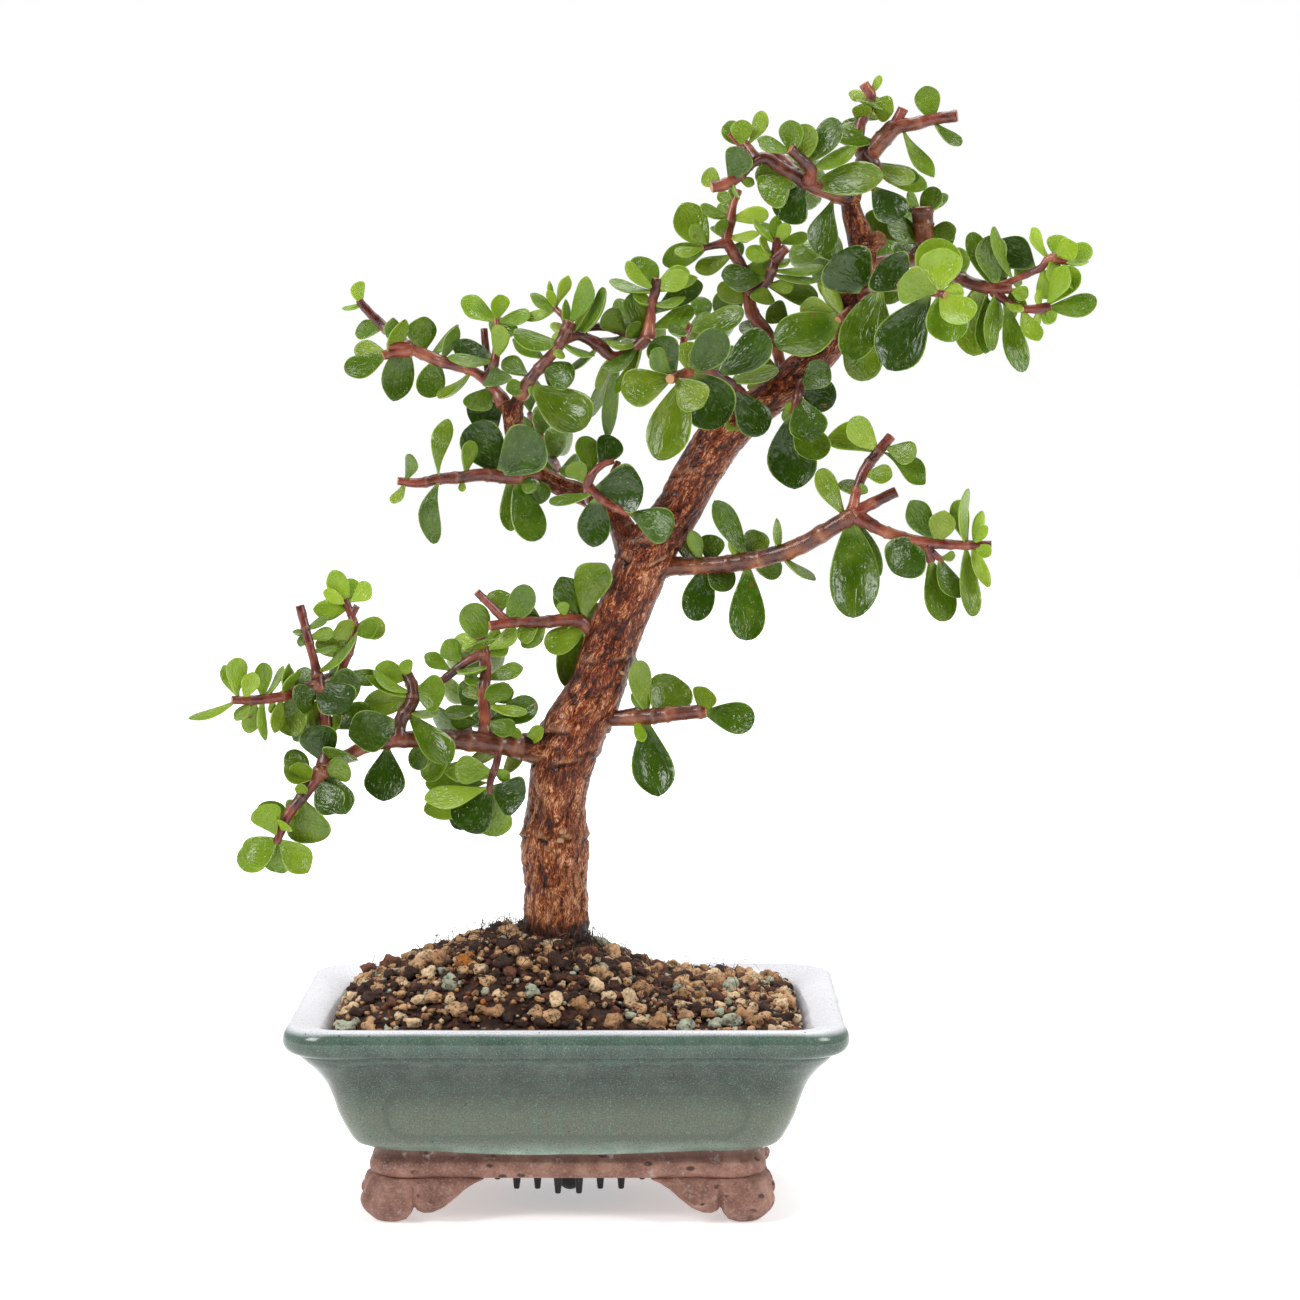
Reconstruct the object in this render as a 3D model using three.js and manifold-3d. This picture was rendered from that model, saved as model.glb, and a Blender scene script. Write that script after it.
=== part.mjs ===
// Dwarf jade grown as a bonsai in a rectangular glazed pot on four cloud feet.
// Millimetres, +Z up, front towards -Y, feet on Z = 0 before the last shift.
// The tree is laid out on a front-view drawing sheet of 1300 x 1300 units: u runs to
// the right, v runs down, and a depth in millimetres brings a point towards the front.
import * as THREE from "three";
import { mergeVertices } from "three/addons/utils/BufferGeometryUtils.js";
import Module from "manifold-3d";

const wasm = await Module();
wasm.setup();

// The eye the sheet is drawn from.
const EYE_DISTANCE = 1017;
const EYE_HEIGHT = 233.7;
const EYE_SIDE = 22.5;
const EYE_PITCH = THREE.MathUtils.degToRad(4.5);
const SHEET_FOCAL = 3665;
const SHEET_CENTRE = 650;

// Pot: half sizes are along X, and the pot is narrower by a fixed step along Y.
const LIP_HALF = 76;
const LIP_TOP = 56.5;
const LIP_DROP = 7.2;
const BAND_HALF = 54;
const GLAZE_EDGE = 20.2;
const BAND_BOTTOM = 12.3;
const FLOOR_TOP = 17.3;
const INNER_HALF = 66;
const DEPTH_STEP = 18.5;
const CORNER_SIDES = 5;
const DRAIN_RADIUS = 22;
const FOOT_PROUD = 2;

// Drainage grate.
const GRATE_RADIUS = 25;
const GRATE_THICK = 1.4;
const PIN_PITCH = 5.8;
const PIN_TIP = 4.9;
const BOSS_TIP = 1.4;

// Soil.
const SOIL_EDGE = 52.5;
const SOIL_CREST = 63.5;
const SOIL_MOUND = 12;
const MOUND_X = -12;
const MOUND_SPREAD = 30;
const GRANULES = 52;

// Growth.
const CLEARANCE = 0.32;
const SLIVER = 0.15;
const TRUNK_SIDES = 10;
const LIMB_SIDES = 8;
const TWIG_SIDES = 4;
const LIMB_RADIUS = 7.5;

// Leaves: where the rows stand along the blade, their widths and their flesh.
const LARGE_LEAF = [[0, 0.12, 0.56, 0.86, 1], [0, 0.3, 0.95, 0.86, 0], [0, 0.8, 1, 0.7, 0]];
const SMALL_LEAF = [[0, 0.3, 0.8, 1], [0, 0.6, 0.95, 0], [0, 0.9, 0.8, 0]];
const SMALL_WIDTH = 9;
const END_ROOM = 5;
const LEAF_CUP = 0.1;
const LEAF_CURL = 0.08;

// Tilts and rolls in degrees that a leaf tries, in turn, to clear its neighbours.
const SETTLING = [
  [0, 0], [8, 0], [-8, 0], [0, 16], [0, -16], [16, 0], [-16, 0], [12, 18], [-12, 18], [12, -18], [-12, -18],
  [24, 0], [-24, 0], [20, 30], [-20, 30], [20, -30], [-20, -30], [34, 0], [-34, 0],
];

// Colours, roughness and metalness of the five materials.
const GLAZE = { color: 0x56796a, roughness: 0.25, metalness: 0 };
const SOIL = { color: 0x4a3626, roughness: 0.95, metalness: 0 };
const GRATE = { color: 0x1c1c1d, roughness: 0.5, metalness: 0 };
const BARK = { color: 0x7d4429, roughness: 0.8, metalness: 0 };
const LEAF = { color: 0x567f2f, roughness: 0.35, metalness: 0 };

// Trunk, limbs and cut stubs: lists of [u, v, depth, radius in units].
const TRUNK_ROUTES = [
  [[553, 1040, 0, 44], [554, 985, 0, 40], [555, 940, 0, 33], [556, 890, 0, 32.5], [556, 838, 0, 33],
   [557, 800, 0, 30], [563, 765, 0, 32], [576, 728, 0, 32], [594, 694, 0, 27], [606, 660, 0, 28],
   [616, 630, 0, 26], [630, 595, 0, 26], [645, 560, 0, 28], [660, 532, 0, 25], [681, 504, 0, 22],
   [702, 466, 0, 23], [722, 436, 0, 24], [748, 414, 1, 20], [775, 394, 1, 19], [803, 369, 1, 18],
   [832, 340, 1, 15], [844, 310, 0, 14], [853, 285, -1, 14], [862, 258, -2, 14], [860, 236, -2, 13],
   [853, 215, -2, 11], [851, 198, -2, 10], [858, 182, -2, 9.5], [866, 165, -2, 9]],
  [[648, 572, 0, 16], [632, 548, 0, 15], [619, 522, -1, 13], [606, 503, -2, 12], [588, 497, -2, 11],
   [560, 486, -2, 10.5], [533, 469, -2, 10], [518, 448, -2, 9.5], [513, 428, -2, 9], [508, 410, -3, 7.5],
   [499, 396, -4, 6.5]],
  [[513, 424, -2, 8], [516, 405, -1, 7], [523, 390, 0, 6.5]],
  [[853, 200, -2, 9], [845, 195, 0, 8.5], [836, 194, 1, 8]],
  [[860, 250, -2, 9], [874, 243, 1, 8], [881, 238, 3, 7.5]],
  [[618, 520, -1, 7], [613, 500, -6, 5], [612, 480, -9, 4], [618, 462, -11, 3]],
  [[556, 842, -4, 30], [557, 833, -4, 34], [557, 824, -4, 30]],
];

// Leafy branches. Each holds its stems, and each stem is a route like the trunk's and
// its leaves: [base u, base v, tip u, tip v, width, turn, lean], widths in units and
// angles in degrees. Turn rolls the blade about its midrib, lean brings its tip forward.
const BRANCHES = [
  ["branch_low_left", [
    [[[566, 754, 0, 10], [533, 747, 3, 11], [500, 743, 6, 10], [470, 741, 8, 10], [440, 739, 10, 9],
      [400, 740, 13, 8], [370, 745, 16, 7], [345, 757, 19, 6.5], [322, 770, 22, 7]],
     [[430, 748, 414, 768, 26, 20, -20], [388, 744, 384, 800, 42, 0, 5], [520, 743, 549, 728, 16, 10, -10],
      [326, 764, 312, 722, 38, 0, 15], [332, 764, 354, 744, 38, 0, 30]]],
    [[[398, 742, 13, 7], [400, 722, 12, 7], [412, 702, 11, 7], [413, 690, 10, 6.5], [407, 674, 8, 5.5]],
     [[405, 678, 376, 668, 24, 10, 0], [412, 693, 366, 688, 20, 50, 5], [411, 697, 364, 705, 27, 0, 0],
      [414, 690, 448, 692, 38, 0, 30], [412, 714, 450, 768, 33, 5, 5], [399, 722, 338, 738, 41, 0, 5]]],
    [[[324, 766, 22, 6.5], [328, 735, 20, 6], [322, 702, 18, 6], [319, 684, 17, 7], [315, 665, 16, 4.6],
      [308, 638, 15, 4.5], [300, 606, 14, 4.5]],
     [[313, 638, 296, 641, 13, 10, 0], [313, 637, 334, 632, 14, 10, 0], [309, 632, 292, 630, 9, 30, 0],
      [310, 629, 330, 619, 10, 20, 0], [314, 650, 338, 649, 10, 50, 0], [320, 684, 352, 716, 42, 0, 20],
      [321, 672, 385, 663, 22, 50, 10], [322, 688, 296, 706, 31, 0, 40], [320, 696, 311, 735, 20, 40, 10],
      [320, 704, 288, 742, 25, 10, -15], [328, 735, 340, 712, 18, 50, 15]]],
    [[[318, 686, 17, 5.5], [300, 690, 18, 5.5], [283, 696, 20, 5], [257, 700, 22, 5], [232, 700, 24, 4]],
     [[233, 700, 191, 721, 15, 50, 5], [234, 699, 238, 657, 22, 10, 0], [244, 699, 253, 665, 19, 15, 5],
      [252, 701, 237, 721, 18, 40, 5], [256, 701, 247, 732, 18, 10, -10], [263, 700, 263, 740, 16, 60, 0],
      [262, 699, 278, 663, 18, 35, 0], [282, 696, 285, 663, 16, 50, 0], [291, 693, 298, 664, 14, 40, -5],
      [274, 698, 271, 714, 9, 10, 5], [283, 697, 273, 733, 18, 40, 0]]],
    [[[320, 684, 16, 5.5], [338, 672, 13, 4.5], [348, 655, 11, 4.5], [352, 640, 10, 4.5],
      [354, 625, 9, 4.5],
      [350, 612, 8, 4], [345, 599, 8, 3.5]],
     [[349, 652, 337, 621, 20, 10, -5], [353, 633, 387, 628, 21, 10, 0], [350, 608, 314, 610, 21, 10, 5],
      [345, 600, 315, 597, 15, 20, 5], [345, 599, 333, 571, 22, 0, 0], [347, 602, 373, 584, 22, 0, 0],
      [335, 674, 384, 675, 18, 10, -10]]],
    [[[352, 614, 8, 3.5], [357, 606, 8, 3]], []],
    [[[322, 770, 22, 6.5], [308, 790, 23, 6], [290, 812, 24, 5.5], [276, 843, 25, 4]],
     [[306, 790, 288, 745, 25, 10, -20], [312, 788, 300, 757, 27, 0, 10], [302, 797, 304, 776, 13, 0, 25],
      [316, 778, 343, 816, 33, 0, 0], [302, 798, 313, 845, 48, 0, -5], [278, 838, 262, 797, 32, 0, 5],
      [276, 842, 246, 861, 32, 0, 25], [276, 843, 239, 867, 30, 0, -10], [282, 832, 293, 816, 20, 0, 20],
      [276, 843, 308, 872, 31, 10, 5]]],
    [[[485, 744, 7, 6.5], [485, 715, 6, 6], [484, 690, 5, 6], [486, 668, 4, 6], [484, 650, 4, 5.5],
      [481, 638, 4, 4.5]],
     [[481, 650, 477, 629, 36, 0, 35], [482, 642, 470, 603, 31, 0, 0], [484, 656, 508, 646, 19, 0, 10],
      [484, 650, 520, 632, 19, 20, 0], [486, 680, 524, 669, 18, 20, 15], [485, 680, 464, 681, 15, 20, 15],
      [484, 700, 464, 686, 23, 0, -20], [484, 706, 445, 716, 19, 40, 5], [485, 722, 450, 721, 19, 10, -12],
      [485, 706, 510, 681, 25, 0, 0], [485, 724, 538, 704, 28, 10, -5], [485, 704, 526, 724, 16, 60, 8],
      [485, 722, 521, 734, 20, 10, 5]]],
    [[[485, 652, 4, 5], [466, 662, 3, 4.5], [442, 681, 2, 4]],
     [[453, 672, 424, 655, 18, 20, 0], [464, 664, 445, 641, 23, 10, 5], [466, 661, 458, 630, 19, 10, -10],
      [456, 671, 486, 690, 17, 55, 15]]],
    [[[499, 746, 7, 4.2], [496, 765, 8, 3.8], [490, 783, 9, 3.5], [490, 793, 9, 3.5]],
     [[490, 786, 461, 829, 44, 0, 10], [490, 786, 428, 814, 26, 20, -12], [491, 782, 417, 780, 28, 15, 0],
      [492, 778, 443, 770, 22, 10, -14], [494, 772, 455, 768, 29, 0, 12], [490, 785, 525, 798, 43, 0, 12],
      [490, 790, 496, 837, 38, 0, 0], [495, 770, 511, 779, 13, 20, 0]]],
    [[[470, 741, 6, 5], [466, 720, -6, 4.5], [468, 697, -18, 4], [474, 672, -28, 3.2]], "pairs"],
  ]],
  ["branch_left_mid", [
    [[[612, 634, 0, 8], [592, 630, 1, 7.5], [580, 621, 2, 6.5], [565, 620, 3, 6.5], [545, 622, 4, 6],
      [515, 622, 6, 5.5], [490, 626, 8, 5]],
     [[582, 622, 558, 580, 27, 10, 8], [582, 622, 606, 555, 31, 15, 8], [508, 622, 530, 585, 27, 0, 5],
      [543, 622, 515, 598, 25, 10, 8], [541, 622, 520, 641, 20, 20, 10], [586, 628, 546, 652, 28, 10, -5],
      [574, 621, 568, 698, 34, 0, -15], [590, 628, 596, 597, 18, 0, -15],
      [565, 620, 563, 600, 13, 0, -12]]],
    [[[507, 622, 6, 4.5], [492, 607, 7, 4], [477, 592, 8, 4]], []],
  ]],
  ["branch_right_low", [
    [[[596, 718, 0, 8], [618, 718, 2, 8], [640, 717, 4, 9], [652, 716, 5, 8], [706, 711, 8, 7]],
     [[648, 712, 635, 660, 27, 30, 5], [656, 712, 682, 682, 46, 0, -25], [646, 714, 637, 690, 20, 0, -25],
      [703, 712, 715, 681, 27, 15, 8], [703, 712, 755, 722, 33, 10, 5], [646, 720, 657, 795, 43, 10, 5],
      [637, 720, 642, 741, 13, 10, 25], [637, 716, 634, 706, 9, 10, 25]]],
  ]],
  ["branch_right_mid", [
    [[[662, 566, 0, 9], [700, 566, 3, 9], [735, 563, 6, 9], [775, 555, 9, 9], [800, 546, 11, 9],
      [835, 526, 14, 8.5], [855, 514, 15, 9]],
     [[708, 560, 729, 589, 31, 0, 20], [708, 570, 692, 621, 33, 10, 0], [749, 568, 745, 642, 37, 5, 5],
      [748, 556, 713, 503, 27, 20, 5], [692, 562, 690, 527, 25, 0, -22], [708, 560, 711, 533, 27, 0, -22],
      [748, 558, 761, 527, 27, 0, -22], [752, 566, 785, 571, 25, 0, -22], [740, 558, 730, 537, 13, 20, -8],
      [780, 553, 774, 519, 15, 50, 15], [780, 555, 815, 578, 17, 55, 20], [847, 519, 816, 470, 25, 25, 5],
      [856, 526, 852, 620, 50, 0, 5], [866, 520, 880, 579, 26, 0, -14]]],
    [[[855, 513, 15, 6], [875, 502, 15, 5.5], [896, 492, 15, 5.5]], []],
    [[[853, 510, 15, 5], [857, 490, 14, 5], [865, 470, 13, 5.5], [878, 452, 12, 5.5], [891, 437, 11, 5.2]],
     [[876, 451, 828, 439, 31, 15, 5], [880, 452, 923, 485, 27, 15, 5], [862, 474, 895, 481, 21, 15, 12],
      [855, 495, 845, 476, 26, 0, -25], [857, 496, 866, 485, 12, 0, -15]]],
    [[[857, 517, 15, 7], [870, 524, 16, 6], [888, 533, 17, 6], [924, 542, 18, 5.5], [960, 545, 19, 5],
      [991, 545, 20, 4.2]],
     [[937, 540, 909, 502, 29, 10, 8], [937, 540, 944, 505, 27, 0, 8], [966, 545, 932, 491, 20, 45, 5],
      [972, 543, 996, 527, 12, 20, 5], [974, 543, 981, 511, 13, 20, 0], [975, 546, 994, 560, 15, 0, 5],
      [975, 546, 985, 576, 12, 10, 0], [920, 541, 890, 574, 46, 0, 22], [966, 547, 968, 618, 27, 35, 5]]],
    [[[926, 545, 18, 5], [931, 562, 18, 4.2]], [[935, 560, 943, 623, 33, 15, 5]]],
    [[[931, 552, 18, 3.5], [943, 561, 18, 3]], [[942, 560, 956, 556, 12, 0, 0]]],
  ]],
  ["branch_high_left", [
    [[[504, 404, -3, 6.5], [497, 393, -4, 6], [478, 374, -5, 5], [455, 366, -7, 5], [430, 357, -9, 6.5],
      [411, 348, -10, 6], [397, 338, -11, 5.5], [380, 323, -13, 5], [364, 307, -14, 4.5],
      [359, 300, -14, 3.5]],
     [[359, 300, 354, 282, 20, 20, 10], [359, 303, 341, 305, 10, 55, 0], [384, 328, 350, 332, 24, 0, -15],
      [403, 346, 396, 400, 33, 15, 5], [424, 353, 424, 317, 32, 0, -12], [430, 356, 452, 321, 20, 55, 5],
      [436, 362, 424, 397, 29, 15, -5], [471, 371, 440, 401, 22, 60, 5], [491, 386, 473, 412, 33, 10, 25]]],
    [[[411, 350, -10, 6], [392, 353, -9, 5], [383, 356, -8, 4]],
     [[385, 355, 397, 315, 21, 45, 10], [384, 356, 346, 375, 28, 25, 12], [385, 355, 352, 348, 22, 0, -8]]],
    [[[410, 346, -10, 5], [388, 346, -8, 4.5]], []],
    [[[486, 381, -4, 5], [492, 370, -3, 5], [495, 360, -2, 4.5], [497, 340, -4, 3.5], [496, 316, -6, 3]],
     [[494, 318, 457, 302, 21, 10, 5], [496, 318, 500, 292, 21, 0, 5], [497, 319, 531, 315, 18, 25, 5],
      [498, 342, 508, 317, 30, 0, -35], [494, 358, 454, 344, 22, 0, -20], [494, 361, 447, 361, 20, 45, 12],
      [495, 361, 508, 325, 21, 35, 12], [494, 364, 500, 392, 31, 0, 55]]],
    [[[489, 376, -6, 4], [486, 350, -9, 4], [484, 329, -10, 3.5]], []],
  ]],
  ["branch_high_left_low", [
    [[[538, 474, -1, 7], [515, 477, 2, 7.5], [500, 476, 4, 7], [480, 475, 6, 6.5], [462, 477, 8, 6],
      [440, 479, 10, 6], [418, 483, 11, 5], [398, 481, 12, 4]],
     [[438, 476, 456, 421, 21, 45, 5, -0.2], [441, 483, 440, 544, 23, 40, 5, -0.16],
      [405, 482, 415, 456, 20, 35, 30],
      [405, 483, 391, 501, 15, 40, 25], [466, 474, 470, 440, 22, 45, -10], [463, 482, 462, 492, 8, 0, 0],
      [506, 474, 472, 428, 44, 0, -22], [495, 480, 540, 433, 52, 0, 20], [516, 480, 534, 544, 35, 20, 10],
      [528, 477, 546, 500, 25, 0, -18]]],
  ]],
  ["branch_high_left_inner", [
    [[[592, 500, 1, 6], [588, 484, 7, 5], [594, 472, 8, 4], [604, 464, 8, 3.4], [614, 461, 8, 2.6]],
     [[586, 486, 575, 467, 24, 0, 40], [592, 476, 583, 436, 25, 20, -15],
      [598, 469, 613, 434, 29, 10, -10]]],
    [[[588, 486, 6.4, 4.5], [606, 503, 9, 3.8], [630, 514, 9, 3.4]],
     [[588, 492, 645, 488, 51, 0, 12], [630, 513, 673, 534, 37, 0, 15], [596, 498, 593, 545, 33, 0, -12],
      [590, 498, 549, 505, 14, 30, 8]]],
  ]],
  ["branch_middle", [
    [[[520, 396, 0, 6.5], [525, 387, 1, 6.5], [533, 376, 2, 6], [545, 362, 3, 5.5], [556, 350, 4, 5.5],
      [563, 338, 4, 6], [570, 322, 4, 6.8]],
     [[530, 376, 502, 357, 23, 20, -20], [557, 342, 512, 335, 25, 35, 8], [545, 358, 513, 340, 19, 20, -15],
      [543, 365, 573, 385, 29, 0, 15], [536, 376, 562, 397, 20, 50, -5], [533, 380, 526, 395, 10, 50, -15],
      [562, 343, 595, 350, 20, 40, 12], [559, 347, 556, 365, 12, 20, 10], [564, 334, 560, 312, 17, 30, -25],
      [529, 384, 588, 431, 47, 0, 16], [560, 342, 549, 324, 12, 0, -30]]],
    [[[568, 330, 3, 4], [563, 316, -2, 3.5], [552, 306, -4, 3]],
     [[553, 307, 530, 296, 16, 35, 10], [553, 307, 567, 276, 16, 35, 5], [549, 304, 545, 284, 7, 30, -15],
      [553, 308, 520, 308, 13, 55, -10]]],
    [[[565, 338, 3, 5], [580, 336, 2, 4.5], [592, 341, 1, 6], [602, 348, 1, 7.5], [612, 356, 1, 5],
      [630, 352, 1, 4.5], [648, 338, 1, 7.5]],
     [[573, 336, 598, 280, 23, 30, -8], [576, 335, 594, 300, 24, 20, -15], [581, 335, 621, 297, 22, 50, 12],
      [570, 336, 564, 300, 12, 40, -14], [614, 357, 607, 395, 17, 50, 0], [642, 344, 612, 392, 25, 45, 12],
      [640, 344, 604, 353, 21, 25, 6], [596, 350, 565, 364, 13, 50, -10],
      [636, 350, 622, 440, 24, 50, -15]]],
    [[[574, 334, 0, 4], [590, 327, -3, 4.5], [610, 328, -4, 4], [628, 335, -3, 3.5], [646, 338, 0, 4.5]],
     [[628, 336, 603, 312, 27, 0, 8], [642, 338, 634, 296, 25, 10, 18], [626, 336, 589, 338, 16, 55, 0],
      [640, 338, 614, 292, 23, 0, -22], [642, 337, 624, 322, 21, 0, 8]]],
    [[[648, 338, 1, 7], [650, 322, 1, 5], [652, 305, 1, 4.5], [655, 292, 2, 5], [657, 279, 2, 5.3]],
     [[653, 290, 634, 257, 35, 0, 5], [653, 291, 609, 277, 18, 50, -10], [656, 287, 692, 277, 22, 0, 10],
      [655, 292, 697, 279, 18, 50, -12], [653, 305, 637, 292, 16, 45, 22], [654, 305, 682, 294, 16, 50, 22],
      [653, 315, 703, 284, 29, 30, -10]]],
    [[[645, 338, 0, 4], [641, 332, -11, 3.8], [634, 322, -22, 3]], "pairs"],
  ]],
  ["branch_centre", [
    [[[752, 408, 1, 6], [735, 388, 8, 6], [712, 374, 13, 5.5], [690, 373, 19, 5], [679, 375, 24, 5],
      [670, 379, 30, 5]],
     [[716, 376, 772, 336, 38, 10, 5], [690, 374, 725, 332, 36, 0, 18], [676, 375, 655, 338, 34, 0, 12],
      [672, 378, 622, 394, 39, 0, 12], [675, 379, 703, 409, 36, 0, 25], [690, 374, 722, 432, 50, 0, 0],
      [686, 376, 655, 463, 35, 20, -4], [730, 384, 764, 434, 37, 0, -8],
      [726, 380, 779, 370, 22, 40, -20]]],
    [[[692, 373, 17, 4.5], [685, 358, 12, 4], [684, 340, 8, 3.5], [690, 326, 6, 3]],
     [[688, 330, 667, 337, 27, 20, 10], [690, 327, 745, 312, 26, 20, 5],
      [690, 328, 712, 307, 20, 30, -20]]],
  ]],
  ["branch_upright", [
    [[[783, 392, -3, 5.5], [781, 370, -6, 5.5], [777, 350, -8, 5.5], [765, 330, -9, 6.5], [752, 312, -9, 7],
      [748, 290, -9, 6.5], [744, 272, -9, 6], [735, 255, -8, 6], [727, 240, -8, 5.5], [730, 222, -9, 5.5],
      [733, 206, -9, 3.8], [739, 190, -9, 3]],
     [[733, 254, 696, 271, 21, 20, -8], [731, 218, 697, 212, 17, 35, 10], [733, 204, 718, 192, 17, 0, 5],
      [732, 220, 769, 214, 18, 0, 0], [729, 238, 713, 223, 21, 10, -12], [728, 237, 759, 238, 17, 45, 22],
      [733, 246, 748, 251, 15, 0, -10], [736, 204, 732, 186, 10, 50, 10], [746, 282, 716, 312, 31, 0, -22],
      [750, 300, 716, 292, 22, 10, -20], [744, 268, 776, 262, 24, 20, 12]]],
    [[[727, 243, -8, 4.8], [715, 245, -7, 3.8], [703, 248, -6, 3.5]],
     [[704, 248, 684, 229, 16, 30, 12], [704, 248, 673, 264, 16, 30, 12], [704, 247, 664, 262, 25, 0, -10],
      [698, 247, 683, 204, 35, 0, -12]]],
    [[[749, 292, -9, 5.5], [765, 284, -7, 5], [772, 270, -6, 5], [775, 256, -6, 5], [777, 238, -6, 4]],
     [[768, 278, 721, 279, 31, 20, 16], [772, 258, 748, 248, 16, 45, 5], [777, 240, 745, 227, 16, 30, 5],
      [777, 239, 807, 230, 13, 25, 5], [777, 237, 776, 216, 14, 0, 0], [772, 270, 824, 269, 17, 45, 0],
      [771, 274, 819, 279, 14, 50, 12], [766, 284, 794, 287, 16, 0, -12],
      [764, 286, 818, 298, 24, 0, -15]]],
    [[[774, 260, -6, 5], [786, 248, -5, 5]], []],
    [[[777, 352, -8, 4.5], [785, 338, -12, 4], [792, 318, -15, 3.2]],
     [[792, 322, 768, 308, 27, 0, -10], [788, 332, 812, 326, 24, 0, -10]]],
  ]],
  ["branch_limb_front", [
    [[[862, 300, 0, 6], [866, 292, 8, 5], [884, 287, 11, 5], [906, 287, 14, 4.5], [930, 292, 17, 4],
      [945, 295, 20, 4]],
     [[864, 292, 838, 252, 58, 0, 12], [882, 288, 848, 362, 39, 10, 4], [906, 287, 882, 262, 52, 0, -4],
      [932, 293, 888, 368, 53, 0, -2], [942, 294, 896, 284, 41, 0, 22], [946, 296, 943, 249, 42, 0, 4],
      [945, 295, 967, 329, 39, 0, 12], [930, 296, 884, 338, 24, 30, 12], [940, 294, 951, 342, 45, 0, -12],
      [930, 292, 942, 238, 48, 0, -12]]],
  ]],
  ["branch_limb_side", [
    [[[850, 308, 0, 4.6], [848, 312, 7, 4.2], [838, 320, 10, 4]],
     [[838, 320, 775, 349, 50, 20, 10], [842, 314, 823, 276, 16, 0, -6]]],
  ]],
  ["branch_limb_under", [
    [[[804, 372, 2, 5.5], [800, 388, 8, 5], [796, 402, 10, 4.4], [793, 414, 10, 4]],
     [[800, 386, 835, 402, 34, 0, -12], [799, 394, 813, 452, 39, 0, 14], [795, 408, 818, 466, 36, 10, 0],
      [793, 412, 795, 486, 50, 0, -10], [794, 400, 786, 412, 10, 0, 0]]],
  ]],
  ["branch_crown_left", [
    [[[848, 196, 0, 8], [835, 194, 2, 8], [815, 187, 3, 7.5], [798, 178, 4, 7], [780, 167, 4, 6],
      [765, 158, 4, 6.5],
      [750, 163, 5, 6.5], [738, 176, 6, 6.5], [726, 184, 7, 6], [712, 187, 8, 5.5]],
     [[728, 182, 746, 148, 31, 10, 8], [720, 185, 705, 170, 21, 0, -8], [740, 182, 754, 184, 11, 0, -8],
      [734, 182, 732, 203, 10, 45, 8], [796, 176, 758, 201, 39, 0, 12], [804, 183, 784, 223, 38, 0, 0],
      [834, 198, 817, 257, 34, 10, 8], [812, 184, 886, 183, 34, 10, 14]]],
    [[[808, 182, 5, 6], [811, 170, 8, 6], [802, 160, 10, 5.5], [790, 149, 12, 5.2]],
     [[806, 165, 839, 120, 29, 20, 0], [793, 152, 755, 144, 17, 20, 8], [793, 151, 790, 121, 25, 0, 0],
      [812, 168, 857, 154, 19, 20, -14]]],
    [[[797, 174, 3, 4.5], [782, 159, 0, 5], [768, 154, -1, 5.5]], []],
    [[[757, 160, 5, 5], [750, 150, 4, 4.5], [744, 142, 3, 4]],
     [[744, 144, 728, 120, 21, 20, 5], [744, 144, 765, 112, 19, 25, 5]]],
    [[[747, 150, 4, 3], [736, 142, 3, 2.6], [729, 134, 3, 2.6]], []],
    [[[822, 189, 2, 5], [814, 190, -10, 4.5], [806, 186, -22, 4], [796, 180, -32, 3]], "pairs"],
  ]],
  ["branch_crown_top", [
    [[[863, 172, -2, 8.5], [870, 155, -2, 9], [884, 138, -2, 9], [895, 127, -2, 8.5], [915, 124, -1, 6],
      [935, 119, 0, 6], [957, 116, 1, 6]],
     [[880, 140, 830, 147, 26, 30, 0], [932, 119, 925, 87, 26, 0, 0], [932, 121, 962, 142, 19, 35, 20],
      [902, 128, 931, 178, 23, 30, 0], [866, 160, 913, 187, 25, 25, 20], [868, 160, 920, 178, 23, 20, 2],
      [872, 168, 928, 184, 22, 10, -10]]],
    [[[894, 128, -2, 5.5], [903, 109, -2, 5]], []],
    [[[868, 160, -3, 7], [859, 145, -5, 6.5], [860, 125, -6, 6], [868, 107, -6, 5.5], [871, 96, -6, 5],
      [864, 84, -6, 5.5]],
     [[870, 100, 864, 117, 29, 0, 45], [870, 100, 889, 110, 29, 0, 40], [869, 98, 847, 90, 13, 0, -10],
      [869, 96, 881, 76, 10, 30, -8], [862, 122, 842, 140, 24, 25, 10]]],
    [[[870, 155, -1, 5], [877, 168, 6, 4.6], [870, 190, 6, 4.2]], [[870, 188, 898, 224, 37, 10, 12]]],
  ]],
  ["branch_crown_right", [
    [[[862, 264, -3, 7], [885, 262, -8, 7], [908, 260, -10, 8], [924, 250, -10, 10], [923, 228, -10, 11],
      [922, 208, -10, 11]],
     [[920, 214, 941, 186, 17, 35, 8], [920, 214, 903, 196, 17, 35, 8], [924, 214, 935, 204, 9, 20, -8],
      [924, 236, 958, 240, 30, 0, -10], [918, 246, 868, 212, 28, 0, -22], [918, 240, 886, 226, 28, 20, 12],
      [912, 256, 892, 234, 20, 0, -20]]],
    [[[922, 256, -10, 8], [945, 270, -9, 7], [965, 281, -7, 6.5], [990, 288, -5, 6.5], [1001, 289, -4, 5],
      [1011, 288, -4, 5]],
     [[975, 286, 972, 350, 34, 0, -16], [998, 290, 986, 352, 23, 40, 6], [998, 284, 984, 235, 33, 10, 8],
      [996, 284, 963, 237, 23, 30, -10], [966, 282, 930, 250, 40, 0, -25]]],
    [[[998, 288, -5, 4.5], [1012, 281, -5, 3.5], [1028, 274, -5, 3.3], [1042, 267, -4, 3.8],
      [1048, 259, -4, 4],
      [1057, 257, -3, 5]],
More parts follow.
